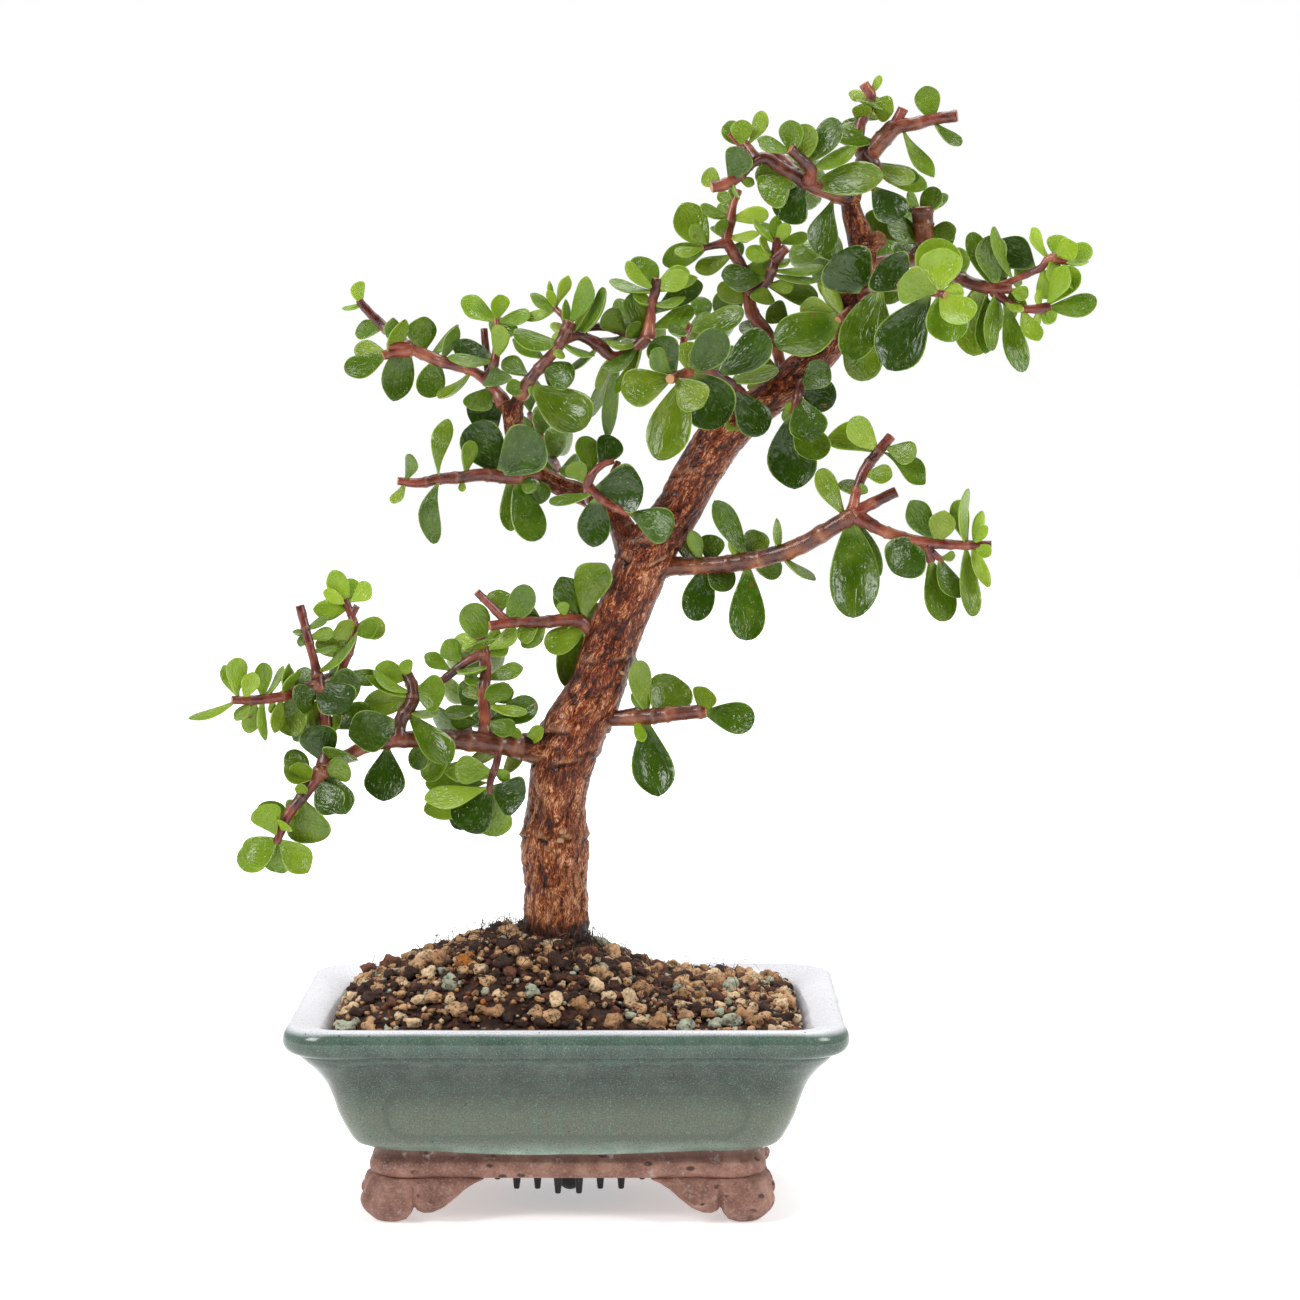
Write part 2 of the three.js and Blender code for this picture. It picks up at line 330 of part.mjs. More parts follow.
     [[1037, 269, 1002, 240, 35, 0, -8], [1047, 259, 1024, 231, 16, 25, 6],
      [1050, 258, 1033, 229, 17, 20, -5],
      [1052, 257, 1083, 243, 25, 0, 6], [1053, 259, 1057, 286, 21, 0, 15],
      [1042, 268, 1057, 297, 29, 0, -12],
      [1012, 281, 1027, 282, 13, 0, -12]]],
    [[[1054, 259, -3, 3.4], [1068, 263, -3, 3]],
     [[1065, 262, 1092, 248, 21, 0, 0], [1067, 262, 1070, 293, 17, 35, 10],
      [1068, 263, 1090, 276, 11, 30, -6]]],
    [[[994, 291, -5, 5], [1003, 299, -4, 4.3], [1018, 308, -3, 3.8], [1035, 309, -3, 4.5],
      [1050, 307, -3, 6]],
     [[1006, 302, 1021, 373, 27, 20, -4], [1003, 300, 1019, 321, 13, 30, 12],
      [1022, 308, 1037, 342, 23, 20, 10],
      [1028, 308, 1009, 291, 17, 0, -6], [1040, 309, 1037, 289, 11, 30, 6],
      [1050, 307, 1079, 268, 24, 20, 0],
      [1050, 307, 1097, 302, 25, 10, 6], [1046, 309, 1056, 323, 15, 0, 6],
      [1040, 310, 1040, 331, 10, 20, -6]]],
  ]],
  ["branch_back_left", [
    [[[562, 488, -4, 6], [558, 472, -15, 5.2], [548, 452, -27, 4.6], [538, 432, -38, 4],
      [530, 414, -47, 3.2]],
     "pairs"],
  ]],
  ["branch_back_crown", [
    [[[850, 296, -4, 6], [856, 280, -16, 5.2], [866, 262, -28, 4.6], [882, 246, -40, 4],
      [897, 236, -49, 3.2]],
     "pairs"],
    [[[858, 276, -20, 4], [842, 268, -30, 3.6], [826, 262, -40, 3]], "pairs"],
  ]],
  ["branch_back_centre", [
    [[[738, 408, -4, 5.5], [724, 392, -20, 5], [712, 368, -31, 4.5], [704, 344, -42, 4],
      [700, 326, -50, 3]],
     "pairs"],
  ]],
  ["branch_back_low", [
    [[[600, 676, -4, 6], [604, 664, -16, 5], [600, 650, -28, 4.4], [592, 634, -40, 3.6]], "pairs"],
  ]],
];

// Pairs of leaves on a stem that carries no drawn ones.
const PAIR_STEP = 34;
const PAIR_LENGTH = 38;
const PAIR_WIDTH = 27;

const PITCH_SIN = Math.sin(EYE_PITCH);
const PITCH_COS = Math.cos(EYE_PITCH);
const TO_EYE = new THREE.Vector3(0, -PITCH_COS, PITCH_SIN);
const SHEET_UP = new THREE.Vector3(0, PITCH_SIN, PITCH_COS);
const SHEET_RIGHT = new THREE.Vector3(1, 0, 0);

// A small seeded generator, so that every run draws the same numbers.
function seeded(seed) {
  let state = seed >>> 0;
  return () => {
    state = (Math.imul(state, 1664525) + 1013904223) >>> 0;
    return state / 4294967296;
  };
}

// The eye's ray through (u, v), followed until it reaches the plane Y = -depth.
function rayLength(u, v, depth) {
  const forward = PITCH_COS + PITCH_SIN * (SHEET_CENTRE - v) / SHEET_FOCAL;
  return (EYE_DISTANCE - depth) / forward;
}

function at(u, v, depth) {
  const reach = rayLength(u, v, depth);
  const point = new THREE.Vector3(EYE_SIDE, -EYE_DISTANCE, EYE_HEIGHT);
  point.addScaledVector(TO_EYE, -reach);
  point.addScaledVector(SHEET_RIGHT, reach * (u - SHEET_CENTRE) / SHEET_FOCAL);
  point.addScaledVector(SHEET_UP, reach * (SHEET_CENTRE - v) / SHEET_FOCAL);
  return point;
}

// Millimetres that one sheet unit covers at a point.
function unitSize(u, v, depth) {
  return rayLength(u, v, depth) / SHEET_FOCAL;
}

// Solids and geometries are turned into each other by their bare vertices.
function toSolid(geometry) {
  const bare = geometry.clone();
  bare.deleteAttribute("normal");
  bare.deleteAttribute("uv");
  const merged = mergeVertices(bare, 1e-4);
  return new wasm.Manifold(new wasm.Mesh({
    numProp: 3,
    vertProperties: new Float32Array(merged.attributes.position.array),
    triVerts: new Uint32Array(merged.index.array),
  }));
}

function toMesh(name, solid, look) {
  const mesh = solid.getMesh();
  const geometry = new THREE.BufferGeometry();
  geometry.setAttribute("position", new THREE.BufferAttribute(new Float32Array(mesh.vertProperties), 3));
  geometry.setIndex(new THREE.BufferAttribute(new Uint32Array(mesh.triVerts), 1));
  geometry.computeVertexNormals();
  const result = new THREE.Mesh(geometry, new THREE.MeshStandardMaterial(look));
  result.name = name;
  return result;
}

// Edges and facets thinner than a sliver are dropped where solids join.
function joined(solids) {
  return solids.reduce((sum, solid) => sum.add(solid)).asOriginal().simplify(SLIVER);
}

// The largest of a solid's separate bodies; loose scraps are dropped.
function largestBody(solid) {
  const bodies = solid.decompose();
  bodies.sort((a, b) => b.volume() - a.volume());
  return bodies[0];
}

// Wood: a cylinder bent along a smooth curve, its radius following the route.
function wood(route, sides, swell = 0) {
  const points = route.map(([u, v, depth]) => at(u, v, depth));
  const radii = route.map(([u, v, depth, radius]) => radius * unitSize(u, v, depth) + swell);
  const curve = new THREE.CatmullRomCurve3(points);
  const rings = route.length - 1;
  const frames = [];
  let across = null;
  for (let ring = 0; ring <= rings; ring++) {
    const t = ring / rings;
    const tangent = curve.getTangent(t).normalize();
    if (across === null) {
      across = new THREE.Vector3().crossVectors(tangent, TO_EYE).normalize();
    } else {
      across.addScaledVector(tangent, -across.dot(tangent)).normalize();
    }
    const past = ring === rings ? swell : ring === 0 ? -swell : 0;
    frames.push({
      centre: curve.getPoint(t).addScaledVector(tangent, past),
      across: across.clone(),
      aside: new THREE.Vector3().crossVectors(across, tangent),
      radius: radii[ring],
    });
  }
  const geometry = new THREE.CylinderGeometry(1, 1, 1, sides, rings);
  const position = geometry.attributes.position;
  for (let i = 0; i < position.count; i++) {
    const frame = frames[Math.round((position.getY(i) + 0.5) * rings)];
    const vertex = frame.centre.clone();
    vertex.addScaledVector(frame.across, position.getX(i) * frame.radius);
    vertex.addScaledVector(frame.aside, position.getZ(i) * frame.radius);
    position.setXYZ(i, vertex.x, vertex.y, vertex.z);
  }
  return toSolid(geometry);
}

// The point of a route nearest to (u, v) on the sheet, with its depth. It stays a little
// short of the stem's end, so that an end leaf sits in the wood.
function nearestOnRoute(route, u, v) {
  let best = null;
  for (let i = 0; i + 1 < route.length; i++) {
    const [u0, v0, d0] = route[i];
    const [u1, v1, d1] = route[i + 1];
    const along = (u - u0) * (u1 - u0) + (v - v0) * (v1 - v0);
    const span = Math.hypot(u1 - u0, v1 - v0);
    const end = i + 2 < route.length ? 1 : Math.max(0, 1 - END_ROOM / span);
    const t = THREE.MathUtils.clamp(along / span ** 2, 0, end);
    const spot = [u0 + t * (u1 - u0), v0 + t * (v1 - v0), d0 + t * (d1 - d0)];
    const gap = Math.hypot(u - spot[0], v - spot[1]);
    if (best === null || gap < best.gap) {
      best = { gap, spot };
    }
  }
  return best.spot;
}

// Leaf: a three-sided sphere drawn out into a fleshy obovate blade. Its poles are the
// root and the tip, two of its columns the raised rim, and the third the keel below.
// Small leaves have one row fewer.
function blade(leaf) {
  const [stations, profile, flesh] = leaf.width < SMALL_WIDTH ? SMALL_LEAF : LARGE_LEAF;
  const rows = stations.length - 1;
  const side = new THREE.Vector3().crossVectors(leaf.along, leaf.face);
  const thick = Math.max(1.1, 0.15 * leaf.width);
  const geometry = new THREE.SphereGeometry(1, 3, rows);
  const position = geometry.attributes.position;
  for (let i = 0; i < position.count; i++) {
    const row = rows - Math.floor(i / 4);
    const column = i % 4;
    const t = stations[row];
    const half = 0.5 * leaf.width * profile[row];
    const rimSide = column === 1 ? 1 : column === 2 ? 0 : -1;
    const lift = column === 2 ? -thick * flesh[row] : LEAF_CUP * half;
    const arch = leaf.curl * leaf.length * t * (4 * t - 3);
    const vertex = leaf.root.clone();
    vertex.addScaledVector(leaf.along, t * leaf.length);
    vertex.addScaledVector(side, rimSide * half);
    vertex.addScaledVector(leaf.face, lift + arch);
    position.setXYZ(i, vertex.x, vertex.y, vertex.z);
  }
  return toSolid(geometry);
}

// A drawn leaf stands on its stem's middle line and reaches for the drawn tip.
function drawnLeaf(route, [u0, v0, u1, v1, width, turn, lean, curl = LEAF_CURL]) {
  const [u, v, depth] = nearestOnRoute(route, u0, v0);
  const unit = unitSize(u, v, depth);
  const flat = Math.hypot(u1 - u, v1 - v);
  const along = new THREE.Vector3();
  along.addScaledVector(SHEET_RIGHT, (u1 - u) * unit);
  along.addScaledVector(SHEET_UP, (v - v1) * unit);
  along.addScaledVector(TO_EYE, flat * unit * Math.tan(THREE.MathUtils.degToRad(lean)));
  const length = along.length();
  along.normalize();
  const face = TO_EYE.clone().addScaledVector(along, -TO_EYE.dot(along)).normalize();
  const side = new THREE.Vector3().crossVectors(along, face);
  const upward = side.dot(SHEET_UP) + 0.35 * side.dot(SHEET_RIGHT) < 0 ? -1 : 1;
  face.applyAxisAngle(along, upward * THREE.MathUtils.degToRad(turn));
  return { root: at(u, v, depth), along, face, length, width: width * unit, curl, drawn: true };
}

// Pairs cross one another up the stem, as a dwarf jade's do.
function pairedLeaves(route, random) {
  const points = route.map(([u, v, depth]) => at(u, v, depth));
  const curve = new THREE.CatmullRomCurve3(points);
  const unit = unitSize(...route[0].slice(0, 3));
  const count = Math.max(2, Math.floor(curve.getLength() / (PAIR_STEP * unit)));
  const leaves = [];
  for (let pair = 0; pair <= count; pair++) {
    const t = Math.min(0.99, 0.25 + 0.75 * pair / count);
    const root = curve.getPoint(t);
    const stem = curve.getTangent(t).normalize();
    const level = new THREE.Vector3().crossVectors(stem, new THREE.Vector3(0, 0, 1)).normalize();
    level.applyAxisAngle(stem, (pair % 2) * Math.PI / 2 + 0.5 * (random() - 0.5));
    for (const sign of [-1, 1]) {
      const size = unit * (0.8 + 0.35 * random());
      const along = level.clone().multiplyScalar(sign).addScaledVector(stem, 0.5 + 0.4 * random());
      along.normalize();
      const face = stem.clone().addScaledVector(along, -stem.dot(along)).normalize();
      const length = PAIR_LENGTH * size;
      const width = PAIR_WIDTH * size;
      leaves.push({ root, along, face, length, width, curl: LEAF_CURL, drawn: false });
    }
  }
  return leaves;
}

// Half width of a blade at the share t of its length.
function halfWidth(leaf, t) {
  const swelling = Math.min(1, 0.2 + 1.6 * t);
  const rounding = Math.sqrt(Math.max(0, 1 - Math.max(0, (t - 0.7) / 0.31) ** 2));
  return 0.5 * leaf.width * swelling * rounding;
}

function bladePoints(leaf) {
  const side = new THREE.Vector3().crossVectors(leaf.along, leaf.face);
  const points = [];
  for (const t of [0.32, 0.45, 0.6, 0.75, 0.92]) {
    for (const s of [-0.8, 0, 0.8]) {
      const point = leaf.root.clone().addScaledVector(leaf.along, t * leaf.length);
      points.push(point.addScaledVector(side, s * halfWidth(leaf, t)));
    }
  }
  return points;
}

// How many of the points lie in the other leaf's blade.
function pointsInBlade(points, leaf) {
  const side = new THREE.Vector3().crossVectors(leaf.along, leaf.face);
  let hits = 0;
  for (const point of points) {
    const offset = point.clone().sub(leaf.root);
    const t = offset.dot(leaf.along) / leaf.length;
    const near = Math.abs(offset.dot(leaf.face)) < 0.11 * leaf.width + 0.5;
    if (near && t > 0.12 && t < 1.03 && Math.abs(offset.dot(side)) < halfWidth(leaf, t) + 0.3) {
      hits += 1;
    }
  }
  return hits;
}

// How many of the points lie in a stem, which is a row of short round rods.
function pointsInRods(points, rods) {
  let hits = 0;
  for (const point of points) {
    for (const rod of rods) {
      const span = rod.end.clone().sub(rod.start);
      const t = THREE.MathUtils.clamp(point.clone().sub(rod.start).dot(span) / span.lengthSq(), 0, 1);
      if (rod.start.clone().addScaledVector(span, t).distanceTo(point) < rod.radius + 0.6) {
        hits += 1;
      }
    }
  }
  return hits;
}

function tilted(leaf, tilt, roll) {
  const side = new THREE.Vector3().crossVectors(leaf.along, leaf.face);
  const along = leaf.along.clone().applyAxisAngle(side, THREE.MathUtils.degToRad(tilt));
  const face = leaf.face.clone().applyAxisAngle(side, THREE.MathUtils.degToRad(tilt));
  face.applyAxisAngle(along, THREE.MathUtils.degToRad(roll));
  return { ...leaf, along, face };
}

// Large leaves keep their place. Each later one takes the first tilt and roll that is
// clear of the leaves and stems already there, or the one that touches least.
function settledLeaves(drawn, rods) {
  const order = drawn.map((leaf, i) => ({ leaf, i }));
  order.sort((a, b) => b.leaf.width - a.leaf.width || a.i - b.i);
  const placed = [];
  for (const { leaf } of order) {
    const closeBy = placed.filter((other) => other.root.distanceTo(leaf.root) < other.length + leaf.length);
    const closeRods = rods.filter((rod) => rod.start.distanceTo(leaf.root) < leaf.length + 12);
    let best = null;
    for (const [tilt, roll] of SETTLING) {
      const trial = tilted(leaf, tilt, roll);
      const points = bladePoints(trial);
      let hits = pointsInRods(points, closeRods);
      for (const other of closeBy) {
        hits += pointsInBlade(points, other) + pointsInBlade(other.points, trial);
      }
      if (best === null || hits < best.hits) {
        best = { ...trial, points, hits };
      }
      if (hits === 0) {
        break;
      }
    }
    if (best.drawn || best.hits === 0) {
      placed.push(best);
    }
  }
  return placed;
}

function leafyBranch(name, stems, leaves, keepOff) {
  const solids = stems.map(([route]) => wood(route, TWIG_SIDES + (route[0][3] > LIMB_RADIUS ? 2 : 0)));
  solids.push(...leaves.filter((leaf) => leaf.branch === name).map(blade));
  return toMesh(name, largestBody(joined(solids).subtract(keepOff).asOriginal().simplify(SLIVER)), LEAF);
}

// Rounded rectangle: a turned profile's radius becomes the half length along X, and
// each of its spokes goes to the same place on every ring's outline.
function spokeOnOutline(spoke, spokes, halfX) {
  const halfY = halfX - DEPTH_STEP * Math.min(1, halfX / BAND_HALF);
  const corner = Math.min(halfY, 13 * halfX / LIP_HALF);
  const perCorner = spokes / 4;
  const quarter = Math.floor(spoke / perCorner) % 4;
  const bend = (quarter + (spoke % perCorner) / (perCorner - 1)) * Math.PI / 2;
  const signX = quarter === 0 || quarter === 3 ? 1 : -1;
  const signY = quarter < 2 ? 1 : -1;
  const x = signX * (halfX - corner) + corner * Math.cos(bend);
  const y = signY * (halfY - corner) + corner * Math.sin(bend);
  return [x, y];
}

function roundedRectangular(profile, top = null) {
  const spokes = 4 * CORNER_SIDES;
  const geometry = new THREE.LatheGeometry(profile.map(([r, z]) => new THREE.Vector2(r, z)), spokes);
  const position = geometry.attributes.position;
  for (let i = 0; i < position.count; i++) {
    const spoke = Math.floor(i / profile.length) % spokes;
    const [radius, height] = profile[i % profile.length];
    const [x, y] = radius === 0 ? [0, 0] : spokeOnOutline(spoke, spokes, radius);
    const level = top !== null && height === null ? top(x, y) : height;
    position.setXYZ(i, x, y, level);
  }
  return toSolid(geometry);
}

function turned(profile, segments) {
  const geometry = new THREE.LatheGeometry(profile.map(([r, z]) => new THREE.Vector2(r, z)), segments);
  geometry.rotateX(Math.PI / 2);
  return toSolid(geometry);
}

// One cloud foot: a big lobe under the pot's corner and a smaller one beside it, the
// same along the front and round the end.
function cloudProfile(lobe, run) {
  const shape = new THREE.Shape();
  shape.moveTo(0, BAND_BOTTOM + 1.6);
  shape.lineTo(0, 9.5);
  shape.bezierCurveTo(-2.6, 7.5, -2.6, 1.2, 2.6, 0);
  shape.lineTo(lobe - 4.2, 0);
  shape.quadraticCurveTo(lobe - 0.6, 0.4, lobe, 4.2);
  shape.quadraticCurveTo(lobe + 1.2, 2.6, lobe + 4.4, 2.9);
  shape.bezierCurveTo(lobe + 9.5, 3.2, run - 8, 10.6, run, 11.2);
  shape.lineTo(run, BAND_BOTTOM + 1.6);
  shape.closePath();
  return shape;
}

function cloudFoot(signX, signY) {
  const halfX = BAND_HALF + FOOT_PROUD;
  const halfY = BAND_HALF - DEPTH_STEP + FOOT_PROUD;
  const options = { depth: 9, bevelEnabled: false, curveSegments: 3 };
  const front = new THREE.ExtrudeGeometry(cloudProfile(14.4, 33), options);
  front.rotateX(Math.PI / 2);
  front.translate(-halfX, -halfY + 9, 0);
  const end = new THREE.ExtrudeGeometry(cloudProfile(11, 24), options);
  end.rotateX(Math.PI / 2);
  end.rotateZ(Math.PI / 2);
  end.translate(-halfX, -halfY, 0);
  const pillar = new THREE.CylinderGeometry(7.6, 6.4, BAND_BOTTOM + 1.6, 10);
  pillar.rotateX(Math.PI / 2);
  pillar.translate(-halfX + 6.4, -halfY + 6.4, (BAND_BOTTOM + 1.6) / 2);
  const corner = new THREE.BoxGeometry(12, 12, 40);
  corner.translate(-halfX - 0.4, -halfY - 0.4, 10);
  const legs = toSolid(front).add(toSolid(end)).subtract(toSolid(corner)).add(toSolid(pillar));
  return legs.scale([-signX, -signY, 1]);
}

function pot() {
  const body = roundedRectangular([
    [0, BAND_BOTTOM], [52, BAND_BOTTOM], [BAND_HALF, 14.2], [53.6, 16.8], [52.6, 18.6],
    [54.4, GLAZE_EDGE], [57.8, 22.4], [60.3, 25.8], [62, 30], [63.6, 35], [65.4, 39.4], [68.4, 43.6],
    [71.4, 46.8], [75, LIP_TOP - LIP_DROP], [LIP_HALF, 52.6], [74.8, LIP_TOP - 0.6], [72, LIP_TOP],
    [INNER_HALF, 54.6], [58, 36], [49, FLOOR_TOP], [0, FLOOR_TOP],
  ]);
  const drain = turned([[0, 0], [DRAIN_RADIUS, 0], [DRAIN_RADIUS, 30], [0, 30]], 20);
  const feet = [cloudFoot(1, 1), cloudFoot(1, -1), cloudFoot(-1, 1), cloudFoot(-1, -1)];
  return toMesh("pot", joined([body, ...feet]).subtract(drain), GLAZE);
}

function drainageGrate() {
  const base = FLOOR_TOP + CLEARANCE;
  const face = base + GRATE_THICK;
  const plate = turned([[0, base], [GRATE_RADIUS, base], [GRATE_RADIUS, face], [0, face]], 20);
  const boss = turned([[0, BOSS_TIP], [2.2, BOSS_TIP], [3.6, base + 0.5], [0, base + 0.5]], 10);
  const pins = [];
  for (let i = -3.5; i <= 3.5; i++) {
    for (let j = -3.5; j <= 3.5; j++) {
      const reach = PIN_PITCH * Math.hypot(i, j);
      if (reach > 16.5 && reach < 20.8) {
        const pin = new THREE.CylinderGeometry(1.15, 0.6, base + 0.6 - PIN_TIP, 4);
        pin.rotateX(Math.PI / 2);
        pin.translate(PIN_PITCH * i, PIN_PITCH * j, (base + 0.6 + PIN_TIP) / 2);
        pins.push(toSolid(pin));
      }
    }
  }
  return toMesh("drainage_grate", joined([plate, boss, ...pins]), GRATE);
}

// Soil: a mound along the trunk's foot that falls to the lip all round.
function soilHeight(x, y) {
  const halfX = INNER_HALF - 1;
  const halfY = INNER_HALF - DEPTH_STEP - 1;
  const crest = SOIL_CREST + SOIL_MOUND * Math.exp(-(((x - MOUND_X) / MOUND_SPREAD) ** 2));
  const acrossFall = 1 - Math.min(1, Math.abs(y) / halfY) ** 2.4;
  const alongFall = 1 - Math.min(1, Math.abs(x) / halfX) ** 8;
  return SOIL_EDGE + (crest - SOIL_EDGE) * acrossFall * alongFall;
}

function soil(trunkRoom, random) {
  const ground = FLOOR_TOP + CLEARANCE;
  const mound = roundedRectangular([
    [0, ground], [48.2, ground], [57.4, 36], [63.9, 51], [64.4, null],
    [56, null], [42, null], [26, null], [12, null], [0, null],
  ], soilHeight);
  const surface = toMesh("mound", mound, SOIL);
  const grains = [];
  for (let i = 0; i < GRANULES; i++) {
    const x = (random() * 2 - 1) * 60;
    const y = (random() * 2 - 1) * 42;
    const size = 2.1 + 1.7 * random();
    const plumb = new THREE.Raycaster(new THREE.Vector3(x, y, 200), new THREE.Vector3(0, 0, -1));
    const grain = new THREE.OctahedronGeometry(1.25 * size, 0);
    grain.rotateX(6 * random());
    grain.rotateZ(6 * random());
    grain.scale(1, 0.85, 0.7);
    grain.translate(x, y, plumb.intersectObject(surface)[0].point.z);
    if (Math.hypot(x + 4, y) > 17) {
      grains.push(toSolid(grain));
    }
  }
  const roomTop = ground + GRATE_THICK + CLEARANCE;
  const roomEdge = GRATE_RADIUS + CLEARANCE;
  const grateRoom = turned([[0, 10], [roomEdge, 10], [roomEdge, roomTop], [0, roomTop]], 20);
  const whole = joined([mound, ...grains]).subtract(grateRoom).subtract(trunkRoom);
  return toMesh("soil", largestBody(whole), SOIL);
}

function trunkSolid(swell) {
  return joined(TRUNK_ROUTES.map((route) => wood(route, route[0][3] > 20 ? TRUNK_SIDES : LIMB_SIDES, swell)));
}

// Every stem and limb as short rods.
function rodsOf(route) {
  const rods = [];
  for (let i = 0; i + 1 < route.length; i++) {
    const [u, v, depth, radius] = route[i];
    rods.push({
      start: at(u, v, depth),
      end: at(...route[i + 1].slice(0, 3)),
      radius: 0.5 * (radius + route[i + 1][3]) * unitSize(u, v, depth),
    });
  }
  return rods;
}

const random = seeded(7);
const rods = TRUNK_ROUTES.flatMap(rodsOf);
const drawn = [];
for (const [branch, stems] of BRANCHES) {
  for (const [route, leaves] of stems) {
    rods.push(...rodsOf(route));
    const paired = leaves === "pairs";
    const grown = paired ? pairedLeaves(route, random) : leaves.map((leaf) => drawnLeaf(route, leaf));
    drawn.push(...grown.map((leaf) => ({ ...leaf, branch })));
  }
}
const settled = settledLeaves(drawn, rods);

const group = new THREE.Group();
const trunkRoom = trunkSolid(CLEARANCE);
group.add(pot());
group.add(drainageGrate());
group.add(soil(trunkRoom, random));
group.add(toMesh("trunk", trunkSolid(0), BARK));
for (const [name, stems] of BRANCHES) {
  group.add(leafyBranch(name, stems, settled, trunkRoom));
}

// The origin is the middle of the whole object's footprint.
const bounds = new THREE.Box3().setFromObject(group);
const middle = bounds.getCenter(new THREE.Vector3());
group.position.set(-middle.x, -middle.y, -bounds.min.z);
group.updateMatrixWorld(true);

export default group;
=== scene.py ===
# Dwarf jade grown as a bonsai in a rectangular glazed pot on four cloud feet.
# Shapes are worked out in millimetres, +Z up, front towards -Y, and put into
# Blender in metres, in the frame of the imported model.
from functools import partial

import bpy
import numpy as np
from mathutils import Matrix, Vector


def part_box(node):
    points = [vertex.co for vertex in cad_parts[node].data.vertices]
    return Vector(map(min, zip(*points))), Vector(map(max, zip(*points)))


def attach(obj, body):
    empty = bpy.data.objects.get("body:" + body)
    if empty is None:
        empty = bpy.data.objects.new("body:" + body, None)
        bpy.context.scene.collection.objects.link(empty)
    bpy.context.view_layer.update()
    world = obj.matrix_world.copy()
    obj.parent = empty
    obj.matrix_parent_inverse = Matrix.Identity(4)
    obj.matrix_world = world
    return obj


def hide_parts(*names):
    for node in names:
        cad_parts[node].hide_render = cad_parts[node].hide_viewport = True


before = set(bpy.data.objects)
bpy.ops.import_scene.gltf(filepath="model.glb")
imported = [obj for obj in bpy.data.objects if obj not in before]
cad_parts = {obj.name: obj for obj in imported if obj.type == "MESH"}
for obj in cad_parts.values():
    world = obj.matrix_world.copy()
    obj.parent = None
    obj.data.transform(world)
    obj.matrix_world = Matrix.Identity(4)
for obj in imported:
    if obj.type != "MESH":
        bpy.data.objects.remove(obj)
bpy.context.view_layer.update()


# ---------------------------------------------------------------------------
# Camera: a long lens about a metre in front of the pot, a little to the right
# of its middle and 234 mm up, tipped 4.5 degrees down.
EYE_OFFSET = (22.5, -1017.0, 233.7)
EYE_PITCH = np.radians(4.5)
SHEET_FOCAL = 3665.0
SHEET_SIZE = 1300.0
SENSOR_WIDTH = 36.0

pot_low, pot_high = (np.array(corner) * 1000 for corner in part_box("pot"))
pot_middle = np.append((pot_low[:2] + pot_high[:2]) / 2, 0.0)
eye = pot_middle + EYE_OFFSET

camera = bpy.data.objects.new("camera", bpy.data.cameras.new("camera"))
camera.data.sensor_width = SENSOR_WIDTH
camera.data.lens = SHEET_FOCAL / SHEET_SIZE * SENSOR_WIDTH
camera.data.clip_start = 0.05
camera.data.clip_end = 50
camera.location = eye * 0.001
camera.rotation_euler = (np.pi / 2 - EYE_PITCH, 0, 0)
bpy.context.scene.collection.objects.link(camera)
bpy.context.scene.camera = camera


# ---------------------------------------------------------------------------
# Studio: a plain white table that glows more the farther it is from the pot, so that
# it runs into the white room, and three soft boxes: one over the front left, one over
# the front right and one above and behind for the bright edges of the leaves.
TABLE_RADIUS = 3000.0
TABLE_SIDES = 64
TABLE_WHITE = "#f4f4f4"
TABLE_GLOW = 0.5
FAR_TABLE_GLOW = 1.05
ROOM_WHITE = "#ffffff"
ROOM_GLOW = 0.42
GLOW_IN_FRONT, GLOW_BEHIND = 0.12, 1.9
SOFT_BOXES = [
    ("soft_box_left", (-0.95, -0.75, 0.95), 0.6, 12.5),
    ("soft_box_right", (1.0, -0.55, 0.75), 0.5, 7.2),
    ("soft_box_top", (0.1, 0.35, 1.25), 0.8, 9.0),
]
AIM = (0.0, 0.0, 0.14)


def linear(colour):
    """Linear RGBA of an sRGB hex colour: a channel is divided by 12.92 up to 0.04045,
    and above it 0.055 is added, the sum divided by 1.055 and raised to 2.4."""
    parts = np.array([int(colour[i:i + 2], 16) for i in (1, 3, 5)]) / 255
    parts = np.where(parts <= 0.04045, parts / 12.92, ((parts + 0.055) / 1.055) ** 2.4)
    return (*parts.tolist(), 1.0)


def add_node(tree, kind, inputs=None, stops=(), **settings):
    """Adds a shader node: sets its properties and colour stops, then links each input
    that is given a socket and sets each that is given a value, a hex colour as linear
    light. Returns its outputs."""
    made = tree.nodes.new("ShaderNode" + kind)
    for name, value in settings.items():
        setattr(made, name, value)
    for i, (place, colour) in enumerate(stops):
        marks = made.color_ramp.elements
        stop = marks[i] if i < 2 else marks.new(place)
        stop.position = place
        stop.color = linear(colour) if isinstance(colour, str) else (colour,) * 3 + (1.0,)
    for key, value in (inputs or {}).items():
        if isinstance(value, bpy.types.NodeSocket):
            tree.links.new(value, made.inputs[key])
        else:
            made.inputs[key].default_value = linear(value) if isinstance(value, str) else value
    return made.outputs


def new_material(name):
    """An empty material, add_node for its tree and the Object coordinates of its piece."""
    material = bpy.data.materials.new(name)
    material.use_nodes = True
    material.node_tree.nodes.clear()
    add = partial(add_node, material.node_tree)
    return material, add, add("TexCoord")["Object"]


def finish_material(add, inputs):
    """A Principled surface with these inputs, joined to the material's output."""
    add("OutputMaterial", {"Surface": add("BsdfPrincipled", inputs)["BSDF"]})


